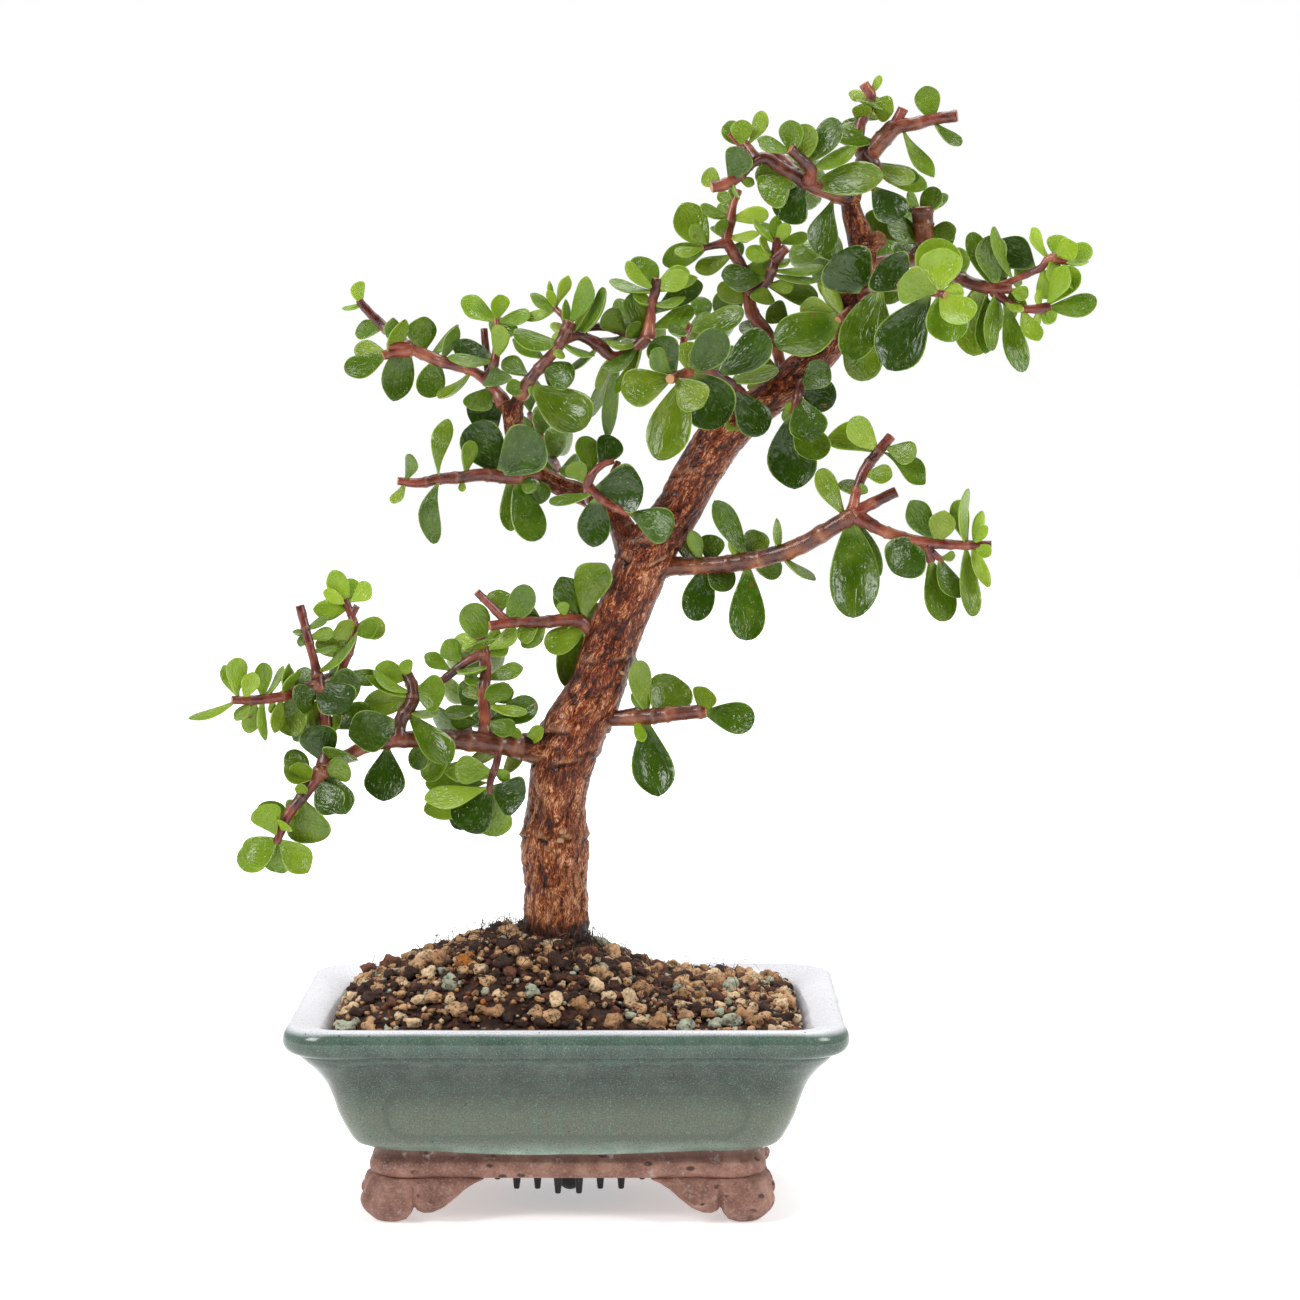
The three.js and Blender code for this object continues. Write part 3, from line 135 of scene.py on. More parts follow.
def new_object(name, points, face_groups, materials, notes=None):
    """A smooth mesh object from points in millimetres and groups of faces, each group an
    array of corner numbers with as many columns as its faces have corners. The notes are
    numbers or directions at the points, by name, for the materials to read."""
    mesh = bpy.data.meshes.new(name)
    corners = np.concatenate([group.ravel() for group in face_groups])
    sizes = np.concatenate([np.full(len(group), group.shape[1]) for group in face_groups])
    mesh.vertices.add(len(points))
    mesh.vertices.foreach_set("co", (np.asarray(points) * 0.001).astype(np.float32).ravel())
    mesh.loops.add(len(corners))
    mesh.loops.foreach_set("vertex_index", corners.astype(np.int32))
    mesh.polygons.add(len(sizes))
    mesh.polygons.foreach_set("loop_start", (np.cumsum(sizes) - sizes).astype(np.int32))
    mesh.polygons.foreach_set("use_smooth", np.full(len(sizes), True))
    mesh.update(calc_edges=True)
    for key, values in (notes or {}).items():
        values = np.asarray(values, np.float32)
        kind, field = ("FLOAT", "value") if values.ndim == 1 else ("FLOAT_VECTOR", "vector")
        mesh.attributes.new(key, kind, "POINT").data.foreach_set(field, values.ravel())
    for material in materials:
        mesh.materials.append(material)
    piece = bpy.data.objects.new(name, mesh)
    bpy.context.scene.collection.objects.link(piece)
    return piece


table_paint, add, place = new_material("matt_white_paint")
distance = add("VectorMath", {0: place}, operation="LENGTH")["Value"]
glow = add("MapRange", {0: distance, 1: 0.3, 2: 1.1, 3: TABLE_GLOW, 4: FAR_TABLE_GLOW})[0]
finish_material(add, {"Base Color": TABLE_WHITE, "Roughness": 0.9,
                      "Emission Color": TABLE_WHITE, "Emission Strength": glow})
angle = np.linspace(0, 2 * np.pi, TABLE_SIDES, endpoint=False)
table_rim = TABLE_RADIUS * np.stack([np.cos(angle), np.sin(angle), 0 * angle], -1)
table_top = new_object("table_top", table_rim, [np.arange(TABLE_SIDES)[None]], [table_paint])

for name, spot, width, power in SOFT_BOXES:
    box = bpy.data.objects.new(name, bpy.data.lights.new(name, "AREA"))
    box.data.size = width
    box.data.energy = power
    box.location = spot
    toward = np.array(AIM) - spot
    box.rotation_euler = (
        np.arccos(-toward[2] / np.linalg.norm(toward)),
        0,
        np.arctan2(toward[1], toward[0]) - np.pi / 2,
    )
    bpy.context.scene.collection.objects.link(box)

# The room is seen white, lights the tree evenly, and is dimmer on the photographer's
# side, so that glossy leaves keep their depth.
room = bpy.data.worlds.new("room")
room.use_nodes = True
room.node_tree.nodes.clear()
add = partial(add_node, room.node_tree)
outlook = add("TexCoord")["Generated"]
side = add("SeparateXYZ", {0: outlook})["Y"]
glow = add("MapRange", {
    0: side, 1: -0.7, 2: 0.6, 3: GLOW_IN_FRONT * ROOM_GLOW, 4: GLOW_BEHIND * ROOM_GLOW})[0]
seen = add("LightPath")["Is Camera Ray"]
strength = add("Mix", {0: seen, 2: glow, 3: 1.0})[0]
light = add("Background", {"Color": ROOM_WHITE, "Strength": strength})
add("OutputWorld", {"Surface": light[0]})
bpy.context.scene.world = room
bpy.context.scene.view_settings.view_transform = "Standard"


# ---------------------------------------------------------------------------
# Pot: stoneware pressed in a mould, its body and lip dipped in a green glaze that
# pools pale on the rim and breaks into a lighter line where it stops above the
# unglazed foot band. Its colour also holds painted light: painted shade in the neck
# under the lip and in the groove of the foot band, a painted highlight on the lip, and
# a painted white reflection on the rim and inside. The four cloud feet are pressed on
# before the firing.

# The profiles are pairs of half length and height. From BAND_HALF outwards the pot is
# DEPTH_STEP less deep than long on each side.
DEPTH_STEP = 18.5
BAND_HALF = 54.0
CORNER_SHARE = 13 / 76
DRAIN_RADIUS = 22.0
FLOOR_LOW, FLOOR_TOP = 12.3, 17.3
GLAZE_EDGE = 20.2
PANEL_HALF = 50.0
PANEL_END_HALF = 30.0
PANEL_LOW, PANEL_TOP = 23.6, 40.2
PANEL_DEPTH = 0.9
# The ring on the crown of the lip, inside which the glaze is painted nearly white: pale
# pooled glaze with a painted reflection of the white room.
TOP_RING = 99
# Points on every ring: round a corner, along a long side and along a short one.
CORNER_SPOKES = 22
LONG_SPOKES = 104
SHORT_SPOKES = 60

CLAY_BAND = [(50, 12.3), (52.6, 12.35), (53.9, 13.1), (54.3, 14.4), (54.2, 15.6), (53.5, 16.6),
             (52.7, 17.3), (52.2, 18.2), (52.2, 19.1), (52.9, 19.8)]
GLAZED_WALL = [(52.9, 19.8), (54.5, 19.75), (55.9, 20.1), (57.0, 21.0), (58.3, 22.7), (60.1, 25.8),
               (62.0, 30.0), (63.6, 35.0), (65.4, 39.4), (68.2, 43.6), (70.7, 46.3), (71.9, 47.9),
               (72.2, 48.7)]
ROLLED_LIP = [(72.2, 48.7), (73.7, 48.9), (75.1, 49.9), (75.9, 51.4), (76.05, 53.0), (75.7, 54.6),
              (74.8, 55.9), (73.4, 56.5), (71.6, 56.4), (69.2, 55.7), (66.8, 54.5), (65.3, 53.1),
              (64.2, 50.8)]
INNER_WALL = [(64.2, 50.8), (61.5, 44), (58, 36), (53, 25), (49, FLOOR_TOP)]
# Points along each of the four profiles.
PROFILE_POINTS = (34, 46, 38, 9)


def curve_through(knots, t):
    """Points at t, from 0 to 1, of the smooth curve through the knots. Between two knots
    it is the cubic that meets both, and its slope at a knot is that of the parabola
    through the knot and its neighbours, spaced by the roots of their distances. The
    knots beyond the ends are mirror images of the last but one."""
    knots = np.asarray(knots, float)
    whole = np.concatenate([2 * knots[:1] - knots[1:2], knots, 2 * knots[-1:] - knots[-2:-1]])
    place = np.asarray(t, float) * (len(knots) - 1)
    i = np.clip(place.astype(int), 0, len(knots) - 2)
    w = (place - i)[:, None]
    p0, p1, p2, p3 = whole[i], whole[i + 1], whole[i + 2], whole[i + 3]
    d0, d1, d2 = (
        np.maximum(np.linalg.norm(b - a, axis=1, keepdims=True), 1e-9) ** 0.5
        for a, b in ((p0, p1), (p1, p2), (p2, p3))
    )
    slope_in = ((p1 - p0) / d0 - (p2 - p0) / (d0 + d1) + (p2 - p1) / d1) * d1
    slope_out = ((p2 - p1) / d1 - (p3 - p1) / (d1 + d2) + (p3 - p2) / d2) * d1
    square = 3 * (p2 - p1) - 2 * slope_in - slope_out
    cube = 2 * (p1 - p2) + slope_in + slope_out
    return p1 + w * slope_in + w ** 2 * square + w ** 3 * cube


def lumps(points, size, seed):
    """Smooth random heights from -1 to 1: a random number on each corner of a lattice
    of this spacing, blended between the eight corners round a point by 3w^2 - 2w^3."""
    cell = np.asarray(points, float) / size
    base = np.floor(cell)
    w = cell - base
    w = w * w * (3 - 2 * w)
    base = base.astype(np.int64)
    total = np.zeros(cell.shape[:-1])
    for corner in np.ndindex(2, 2, 2):
        key = (base + corner).astype(np.uint32)
        number = key[..., 0] * np.uint32(73856093) ^ key[..., 1] * np.uint32(19349663)
        number = number ^ key[..., 2] * np.uint32(83492791) ^ np.uint32(seed * 7919 + 17)
        number = (number ^ (number >> 15)) * np.uint32(2246822519)
        number = (number ^ (number >> 13)) * np.uint32(3266489917)
        share = np.prod(np.where(corner, w, 1 - w), axis=-1)
        total += share * ((number ^ (number >> 16)) / 2147483648.0 - 1)
    return total


def smooth_step(value, low, high):
    """0 below low, 1 above high, and 3w^2 - 2w^3 between them."""
    w = np.clip((value - low) / (high - low), 0, 1)
    return w * w * (3 - 2 * w)


def grid_faces(rows, columns, closed_rows=False):
    """Quads of a grid of points, closed along its columns. They face outwards where the
    columns run anticlockwise round the direction in which the rows run."""
    row = np.arange(rows if closed_rows else rows - 1)[:, None]
    column = np.arange(columns)[None]
    after, beside = (row + 1) % rows, (column + 1) % columns
    corners = [row * columns + column, row * columns + beside,
               after * columns + beside, after * columns + column]
    return np.stack(corners, -1).reshape(-1, 4)


def end_fans(rows, sides):
    """Triangles that close both ends of a grid, each round one more point: the first
    row's pole comes after the grid's points, and the last row's pole after that."""
    here, pole = np.arange(sides), rows * sides
    beside, last = (here + 1) % sides, pole - sides
    return np.concatenate([
        np.stack([beside, here, np.full(sides, pole)], -1),
        np.stack([last + here, last + beside, np.full(sides, pole + 1)], -1)])


def spoke_places():
    """For each spoke round the pot: the signs of its corner's centre, which slide from
    one to the next along the straight runs, and the angle of its corner arc."""
    signs = np.array([(1, 1), (-1, 1), (-1, -1), (1, -1), (1, 1)], float)
    places = []
    for quarter, run in enumerate([LONG_SPOKES, SHORT_SPOKES] * 2):
        start, end = signs[quarter], signs[quarter + 1]
        bend = (quarter + np.arange(CORNER_SPOKES) / CORNER_SPOKES) * np.pi / 2
        slide = (np.arange(run) / run)[:, None]
        places.append(np.column_stack([np.tile(start, (CORNER_SPOKES, 1)), bend]))
        places.append(np.column_stack([
            start + slide * (end - start), np.full(run, (quarter + 1) * np.pi / 2)]))
    return np.concatenate(places)


SPOKES = spoke_places()


def rounded_rings(half_x):
    """A rounded rectangle on every ring: its half depth is its half length less a step,
    and its corner radius a share of its half length. Rows are rings, columns spokes."""
    half_x = np.asarray(half_x, float)[:, None]
    half_y = half_x - DEPTH_STEP * np.minimum(1, half_x / BAND_HALF)
    corner = np.minimum(half_y, CORNER_SHARE * half_x)
    x = SPOKES[:, 0] * (half_x - corner) + corner * np.cos(SPOKES[:, 2])
    y = SPOKES[:, 1] * (half_y - corner) + corner * np.sin(SPOKES[:, 2])
    return x, y


def panel_recess(along, height, half):
    """How far the pressed panel lies back, as a share of its depth, which is reached
    smoothly over 2.5 mm inside a rectangle with corners of 8 mm."""
    middle = (PANEL_LOW + PANEL_TOP) / 2
    reach_x = np.abs(along) - half + 8
    reach_z = np.abs(height - middle) - (PANEL_TOP - PANEL_LOW) / 2 + 8
    outside = np.hypot(np.maximum(reach_x, 0), np.maximum(reach_z, 0))
    distance = outside + np.minimum(np.maximum(reach_x, reach_z), 0) - 8
    return smooth_step(-distance, 0, 2.5)


def pot_body():
    """The pot's rings: drain hole, clay band, glazed wall, lip, inner wall and floor.
    The glaze is up to 0.2 mm thicker in places and sags between the corners. Returns
    points, faces, the first glazed face, and at each point how far it lies inside the
    lip, where the glaze is painted pale with a painted reflection, and how near the edge
    of a panel, where it is painted darker, partly as painted shade."""
    runs = zip((CLAY_BAND, GLAZED_WALL, ROLLED_LIP, INNER_WALL), PROFILE_POINTS)
    parts = [curve_through(knots, np.linspace(0, 1, count)) for knots, count in runs]
    profile = np.concatenate([part[:-1] for part in parts[:-1]] + parts[-1:])
    x, y = rounded_rings(profile[:, 0])
    z = np.repeat(profile[:, 1:], len(SPOKES), axis=1)
    spots = np.stack([x, y, z], -1)
    glazed = smooth_step(z, GLAZE_EDGE - 0.3, GLAZE_EDGE + 2)
    swell = 0.16 * lumps(spots, 13, 1) + 0.07 * lumps(spots, 4.5, 2)
    swell = swell * glazed - 0.12 * (1 - glazed) * np.maximum(0, lumps(spots, 1.6, 3)) ** 2
    ends = np.abs(SPOKES[:, 0]) == 1
    sides = np.abs(SPOKES[:, 1]) == 1
    wall = (np.arange(len(profile)) < sum(PROFILE_POINTS[:2]))[:, None]
    panel = wall * np.maximum(np.where(sides, panel_recess(x, z, PANEL_HALF), 0),
                              np.where(ends, panel_recess(y, z, PANEL_END_HALF), 0))
    swell = swell - PANEL_DEPTH * panel
    x = x + swell * np.cos(SPOKES[:, 2])
    y = y + swell * np.sin(SPOKES[:, 2])
    sag = 1.4 * np.maximum(0, 1 - (x / 48) ** 2) - 0.8 + 0.3 * lumps(spots * (1, 1, 0), 9, 4)
    z = z - sag * np.exp(-((z - GLAZE_EDGE) / 1.1) ** 2)
    rounds = np.arctan2(y[0], x[0])
    hole = DRAIN_RADIUS * np.stack([np.cos(rounds), np.sin(rounds), 0 * rounds], -1)
    grid = np.concatenate([
        [hole + (0, 0, FLOOR_LOW)], np.stack([x, y, z], -1), [hole + (0, 0, FLOOR_TOP)]])
    faces = grid_faces(len(grid), len(SPOKES), closed_rows=True)
    inside = smooth_step(np.arange(len(grid)), TOP_RING, TOP_RING + 5)
    notes = {"inside": np.repeat(inside, len(SPOKES)),
             "edge": np.pad(4 * panel * (1 - panel), ((1, 1), (0, 0))).ravel()}
    return grid.reshape(-1, 3), faces, len(SPOKES) * PROFILE_POINTS[0], notes


# Cloud foot: a round main lobe under the corner and a lower lobe beside it that rises
# in an S to the band. Sizes run along the foot's face from the middle of the corner.
FOOT_HALF = 56.0
FOOT_CORNER = 8.5
FOOT_TOP = 16.0
FRONT_RUN = [(0, 0), (7.5, 0.05), (10.2, 0.8), (11.8, 2.7), (12.5, 4.4), (13.2, 3.3), (15, 2.5),
             (17.4, 2.7), (20.5, 4.1), (23.6, 6.7), (26.4, 9.3), (29, 10.9), (31.4, 11.9)]
END_RUN = [(0, 0), (5.6, 0.05), (7.6, 0.9), (8.6, 2.6), (9.2, 4.2), (9.9, 3.2), (11.6, 2.6),
           (13.4, 2.9), (15.8, 4.6), (18, 7.4), (20, 10), (22.2, 11.9)]
END_REACH, FRONT_REACH = 22.2, 31.4
END_NOTCH, FRONT_NOTCH = 9.2, 12.5
FOOT_STATIONS = 130
FOOT_COLUMNS = 64


def foot_surface(mirror_x, mirror_y):
    """One foot: at each station a rounded box section, its underside at the run's height.
    The outer face bulges as a ball under the corner and as a lower cushion beside it,
    with a raised spiral on each cushion."""
    along = np.linspace(-END_REACH, FRONT_REACH, FOOT_STATIONS)
    front, end = np.array(FRONT_RUN).T, np.array(END_RUN).T
    low = np.where(along > 0, np.interp(along, *front), np.interp(-along, *end))
    quarter_arc = FOOT_CORNER * np.pi / 4
    turn = np.clip(along / quarter_arc, -1, 1) * np.pi / 4 + np.pi * 1.25
    past = along - np.clip(along, -quarter_arc, quarter_arc)
    path_x = -FOOT_HALF + FOOT_CORNER * (1 + np.cos(turn)) + np.maximum(past, 0)
    path_y = -(FOOT_HALF - DEPTH_STEP) + FOOT_CORNER * (1 + np.sin(turn)) + np.maximum(-past, 0)
    share = np.where(along > 0, along / FRONT_REACH, -along / END_REACH)
    notch = np.where(along > 0, FRONT_NOTCH, END_NOTCH)
    main = smooth_step(notch + 1.5 - np.abs(along), 0, 4)
    width = 8.4 - 2.2 * share ** 2
    loop = np.linspace(0, 2 * np.pi, FOOT_COLUMNS, endpoint=False) + np.pi / 2
    out = np.sign(np.cos(loop)) * np.abs(np.cos(loop)) ** 0.62
    rise = np.sign(np.sin(loop)) * np.abs(np.sin(loop)) ** 0.62
    height = (FOOT_TOP - low)[:, None]
    z = FOOT_TOP - height / 2 + rise * height / 2
    outer = smooth_step(out, -0.2, 0.8)
    ball = 2.9 * np.exp(-((z - 5.2) / 4.3) ** 2) - 2.1
    cushion = 1.5 * np.exp(-((z - 7.2) / 2.9) ** 2) - 1.3
    bulge = main[:, None] * ball + (1 - main)[:, None] * cushion
    groove = np.exp(-((np.abs(along) - notch) / 0.9) ** 2)[:, None]
    bulge = bulge - 1.5 * groove * smooth_step(z, 1, 5) * smooth_step(11.5 - z, 0, 3)
    bulge = bulge - 2.4 * smooth_step(z, 11.5, 12.7)
    away_x = np.abs(along)[:, None] - (notch + 5.6)[:, None]
    away_z = z - 7.7
    reach = np.hypot(away_x, away_z)
    curl = np.cos(np.arctan2(away_z, away_x) - reach * 2.1)
    bulge = bulge + 0.85 * smooth_step(curl, 0.1, 0.9) * smooth_step(4.6 - reach, 0, 1.4)
    sideways = (out - 1) * width[:, None] / 2 + outer * bulge
    x = path_x[:, None] + np.cos(turn)[:, None] * sideways
    y = path_y[:, None] + np.sin(turn)[:, None] * sideways
    spots = np.stack([x, y, z], -1)
    rough = 0.22 * lumps(spots, 5, 5) + 0.1 * lumps(spots, 1.7, 6)
    x, y = x + rough * np.cos(turn)[:, None], y + rough * np.sin(turn)[:, None]
    z = np.maximum(z + 0.12 * lumps(spots, 4, 7) * (z > 0.4), 0)
    rings = np.stack([x * mirror_x, y * mirror_y, z], -1)
    points = np.concatenate([rings.reshape(-1, 3), rings[[0, -1]].mean(1)])
    faces, caps = grid_faces(FOOT_STATIONS, FOOT_COLUMNS), end_fans(FOOT_STATIONS, FOOT_COLUMNS)
    if mirror_x * mirror_y < 0:
        faces, caps = faces[:, ::-1], caps[:, ::-1]
    return points, faces, caps


# Glossy celadon-green glaze over stoneware: smooth and glass-like (index about 1.5),
# speckled by iron and titanium grains under a millimetre across, paler where it pools.
# Painted light is laid into its colour: painted shade up the wall into the neck, under
# the lip's roll and, in part, at the panels' edges, a painted highlight on the lip's
# crown, and a painted white reflection on upward faces and inside.
glaze, add, place = new_material("green_stoneware_glaze")
height = add("SeparateXYZ", {0: place})["Z"]
mottle = add("TexNoise", {"Vector": place, "Scale": 105.0, "Detail": 5.0, "Roughness": 0.6})[0]
streaks = add("Mapping", {"Vector": place, "Scale": (1, 1, 0.22)})[0]
drip = add("TexNoise", {"Vector": streaks, "Scale": 260.0, "Detail": 3.0})[0]
wander = add("Math", {0: mottle, 1: 0.0045, 2: height}, operation="MULTIPLY_ADD")[0]
level = add("MapRange", {0: wander, 1: 0.0215, 2: 0.0595})[0]
# Colour by height: pale where the glaze breaks at its lower edge, darker up the wall and darkest in the neck
# under the lip, which is painted shade; a thin lighter line at the lip's foot, painted shade again under its
# roll, and lighter up to its crown, which is a painted highlight.
glaze_and_shade_by_height = add("ValToRGB", {0: level}, stops=[
    (0.0, "#9fb3a6"), (0.035, "#87978a"), (0.115, "#676a5d"), (0.32, "#5f6454"), (0.5, "#3c4239"),
    (0.66, "#2f352f"), (0.715, "#2e352f"), (0.74, "#47554c"), (0.77, "#303a34"), (0.86, "#3f4f46"),
    (0.97, "#5b6e62")])[0]
grey = add("ValToRGB", {0: mottle}, stops=[(0.42, 0.0), (0.66, 0.22)])[0]
greyed = add("Mix", {0: grey, 6: glaze_and_shade_by_height, 7: "#6c7466"}, data_type="RGBA")[2]
teal = add("ValToRGB", {0: drip}, stops=[(0.52, 0.0), (0.76, 0.26)])[0]
tealed = add("Mix", {0: teal, 6: greyed, 7: "#517466"}, data_type="RGBA")[2]
grain = add("TexNoise", {"Vector": place, "Scale": 2800.0, "Detail": 2.0})[0]
pale_dots = add("ValToRGB", {0: grain}, stops=[(0.55, 0.0), (0.72, 0.5)])[0]
dotted = add("Mix", {0: pale_dots, 6: tealed, 7: "#7ba593"}, data_type="RGBA")[2]
dark_dots = add("ValToRGB", {0: grain}, stops=[(0.3, 0.65), (0.45, 0.0)])[0]
freckled = add("Mix", {0: dark_dots, 6: dotted, 7: "#2f4038"}, data_type="RGBA")[2]
# The panels' edges are painted darker: partly glaze pooled thick at the recess's edge, and partly painted
# shade of the recess.
edge = add("Attribute", attribute_name="edge")["Fac"]
panel_edge_shade_part = add("Math", {0: edge, 1: 0.4}, operation="MULTIPLY")[0]
panel_edge_shaded = add("Mix", {0: panel_edge_shade_part, 6: freckled, 7: "#36463e"}, data_type="RGBA")[2]
# Faces turned upwards and the inside of the pot are painted near white: pale pooled glaze, and a painted
# reflection of the white room.
faces_up = add("SeparateXYZ", {0: add("NewGeometry")["Normal"]})["Z"]
rim_pool_and_reflection = add("MapRange", {0: faces_up, 1: 0.55, 2: 0.97})[0]
pale_rim_and_reflection = add("ValToRGB", {0: grain}, stops=[(0.32, "#c3c8cf"), (0.55, "#eeedf4")])[0]
rimmed = add("Mix", {0: rim_pool_and_reflection, 6: panel_edge_shaded, 7: pale_rim_and_reflection}, data_type="RGBA")[2]
inside = add("Attribute", attribute_name="inside")["Fac"]
inside_pale_and_reflection = add("Mix", {0: inside, 6: rimmed, 7: pale_rim_and_reflection}, data_type="RGBA")[2]
pits = add("TexVoronoi", {"Vector": place, "Scale": 230.0})["Distance"]
pit = add("ValToRGB", {0: pits}, stops=[(0.05, 0.85), (0.085, 0.0)])[0]
pitted = add("Mix", {0: pit, 6: inside_pale_and_reflection, 7: "#2f3a34"}, data_type="RGBA")[2]
gloss = add("MapRange", {0: mottle, 1: 0.3, 2: 0.7, 3: 0.09, 4: 0.2})[0]
ripple = add("TexNoise", {"Vector": place, "Scale": 420.0, "Detail": 2.0})[0]
skin = add("Bump", {"Strength": 0.12, "Distance": 0.0004, "Height": ripple})[0]
finish_material(add, {"Base Color": pitted, "Roughness": gloss, "IOR": 1.5, "Normal": skin})

# Unglazed stoneware: fired matt and dry, red-brown with open pits and pale lime marks.
# The groove under the glaze is darkened as painted shade.
clay, add, place = new_material("unglazed_stoneware")
tone = add("TexNoise", {"Vector": place, "Scale": 130.0, "Detail": 6.0, "Roughness": 0.65})[0]
body = add("ValToRGB", {0: tone}, stops=[(0.3, "#5d382d"), (0.5, "#896052"), (0.7, "#b18674")])[0]
grit = add("TexNoise", {"Vector": place, "Scale": 1500.0, "Detail": 3.0})[0]
grit_part = add("ValToRGB", {0: grit}, stops=[(0.5, 0.0), (0.75, 0.4)])[0]
gritty = add("Mix", {0: grit_part, 6: body, 7: "#c4a090"}, data_type="RGBA")[2]
height = add("SeparateXYZ", {0: place})["Z"]
# Painted shade: the clay darkens from 16.5 mm upwards into the groove under the glaze's edge.
clay_groove_shade = add("MapRange", {0: height, 1: 0.0165, 2: 0.0182})[0]
clay_groove_shade_part = add("Math", {0: clay_groove_shade, 1: 0.65}, operation="MULTIPLY")[0]
clay_groove_shaded = add("Mix", {0: clay_groove_shade_part, 6: gritty, 7: "#5c3e36"}, data_type="RGBA")[2]
lime = add("TexNoise", {"Vector": place, "Scale": 330.0, "Detail": 5.0, "Roughness": 0.7})[0]
lime_part = add("ValToRGB", {0: lime}, stops=[(0.58, 0.0), (0.7, 0.6)])[0]
limed = add("Mix", {0: lime_part, 6: clay_groove_shaded, 7: "#c2aeab"}, data_type="RGBA")[2]
stretch = add("Mapping", {"Vector": place, "Scale": (0.55, 0.55, 1)})[0]
cells = add("TexVoronoi", {"Vector": stretch, "Scale": 300.0})["Distance"]
hole = add("ValToRGB", {0: cells}, stops=[(0.15, 1.0), (0.24, 0.0)])[0]
chance = add("ValToRGB", {0: tone}, stops=[(0.49, 0.0), (0.55, 0.95)])[0]
hole_part = add("Math", {0: hole, 1: chance}, operation="MULTIPLY")[0]
holed = add("Mix", {0: hole_part, 6: limed, 7: "#4a2a20"}, data_type="RGBA")[2]
relief = add("Math", {0: hole_part, 1: -1.5, 2: grit}, operation="MULTIPLY_ADD")[0]
skin = add("Bump", {"Strength": 0.6, "Distance": 0.0003, "Height": relief})[0]
finish_material(add, {"Base Color": holed, "Roughness": 0.62, "Normal": skin})

body_points, body_faces, glaze_start, notes = pot_body()
points, quads, tris = [body_points], [body_faces], []
for mirror_x, mirror_y in ((1, 1), (-1, 1), (1, -1), (-1, -1)):
    offset = sum(map(len, points))
    foot_points, foot_faces, foot_caps = foot_surface(mirror_x, mirror_y)
    points.append(foot_points)
    quads.append(foot_faces + offset)
    tris.append(foot_caps + offset)
points = np.concatenate(points) + pot_middle
notes = {key: np.pad(values, (0, len(points) - len(values))) for key, values in notes.items()}
pot = new_object("glazed_pot", points, [np.concatenate(quads), np.concatenate(tris)], [clay, glaze], notes)
skins = np.zeros(len(pot.data.polygons), np.int32)
skins[glaze_start:len(body_faces) - 2 * len(SPOKES)] = 1
pot.data.polygons.foreach_set("material_index", skins)
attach(pot, "root")
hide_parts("pot")


# ---------------------------------------------------------------------------
# Drainage grate: a round black plate moulded in polypropylene, laid over the drain
# hole. A ring of short tapered pins and a domed boss hang through the hole.
GRATE_RADIUS = 25.0
GRATE_FOOT = FLOOR_TOP + 0.32
GRATE_FACE = GRATE_FOOT + 1.4
PIN_PITCH = 5.8
PIN_TIP = 4.9
PIN_RING = (16.5, 20.8)
BOSS_RADIUS = 3.7
BOSS_DOME = 4.0
BOSS_DROP = 12.2


def turned(profile, sides, middle=(0, 0)):
    """A profile of (radius, height) turned round an upright axis, both ends on the axis
    closed by a fan. The profile runs upwards along the outside."""
    profile = np.asarray(profile, float)
    angle = np.arange(sides) / sides * 2 * np.pi
    ring = np.stack([np.cos(angle), np.sin(angle)], -1)
    points = profile[1:-1, None, :1] * ring + middle
    height = np.broadcast_to(profile[1:-1, None, 1:], points.shape[:2] + (1,))
    points = np.concatenate([points, height], -1).reshape(-1, 3)
    ends = [(*middle, profile[0, 1]), (*middle, profile[-1, 1])]
    rows = len(profile) - 2
    return np.concatenate([points, ends]), grid_faces(rows, sides), end_fans(rows, sides)


def merged(parts):
    """Several (points, quads, triangles) as one."""
    starts = np.cumsum([0] + [len(part[0]) for part in parts])
    return (np.concatenate([part[0] for part in parts]),
            np.concatenate([part[1] + start for part, start in zip(parts, starts)]),
            np.concatenate([part[2] + start for part, start in zip(parts, starts)]))


# Black polypropylene: satin as it left the mould, a little duller where it is scuffed.
polypropylene, add, place = new_material("black_moulded_polypropylene")
haze = add("TexNoise", {"Vector": place, "Scale": 900.0, "Detail": 3.0})[0]
black = add("ValToRGB", {0: haze}, stops=[(0.35, "#141415"), (0.7, "#26272a")])[0]
worn = add("MapRange", {0: haze, 1: 0.3, 2: 0.7, 3: 0.38, 4: 0.55})[0]
skin = add("Bump", {"Strength": 0.2, "Distance": 0.0001, "Height": haze})[0]
finish_material(add, {"Base Color": black, "Roughness": worn, "IOR": 1.49, "Normal": skin})

steps = np.arange(-3.5, 4)
pin_x, pin_y = (PIN_PITCH * axis.ravel() for axis in np.meshgrid(steps, steps))
reach = np.hypot(pin_x, pin_y)
kept = (reach > PIN_RING[0]) & (reach < PIN_RING[1])
plate = [(0, GRATE_FOOT), (GRATE_RADIUS - 0.3, GRATE_FOOT), (GRATE_RADIUS, GRATE_FOOT + 0.3),
         (GRATE_RADIUS, GRATE_FACE - 0.3), (GRATE_RADIUS - 0.3, GRATE_FACE), (0, GRATE_FACE)]
pin = [(0, PIN_TIP), (0.62, PIN_TIP), (0.8, PIN_TIP + 0.2), (2.0, GRATE_FOOT + 0.4), (0, GRATE_FOOT + 0.5)]
arc = np.linspace(0, np.pi / 2, 9)
boss = [(BOSS_RADIUS * np.sin(a), GRATE_FOOT - BOSS_DROP - BOSS_DOME * np.cos(a)) for a in arc]
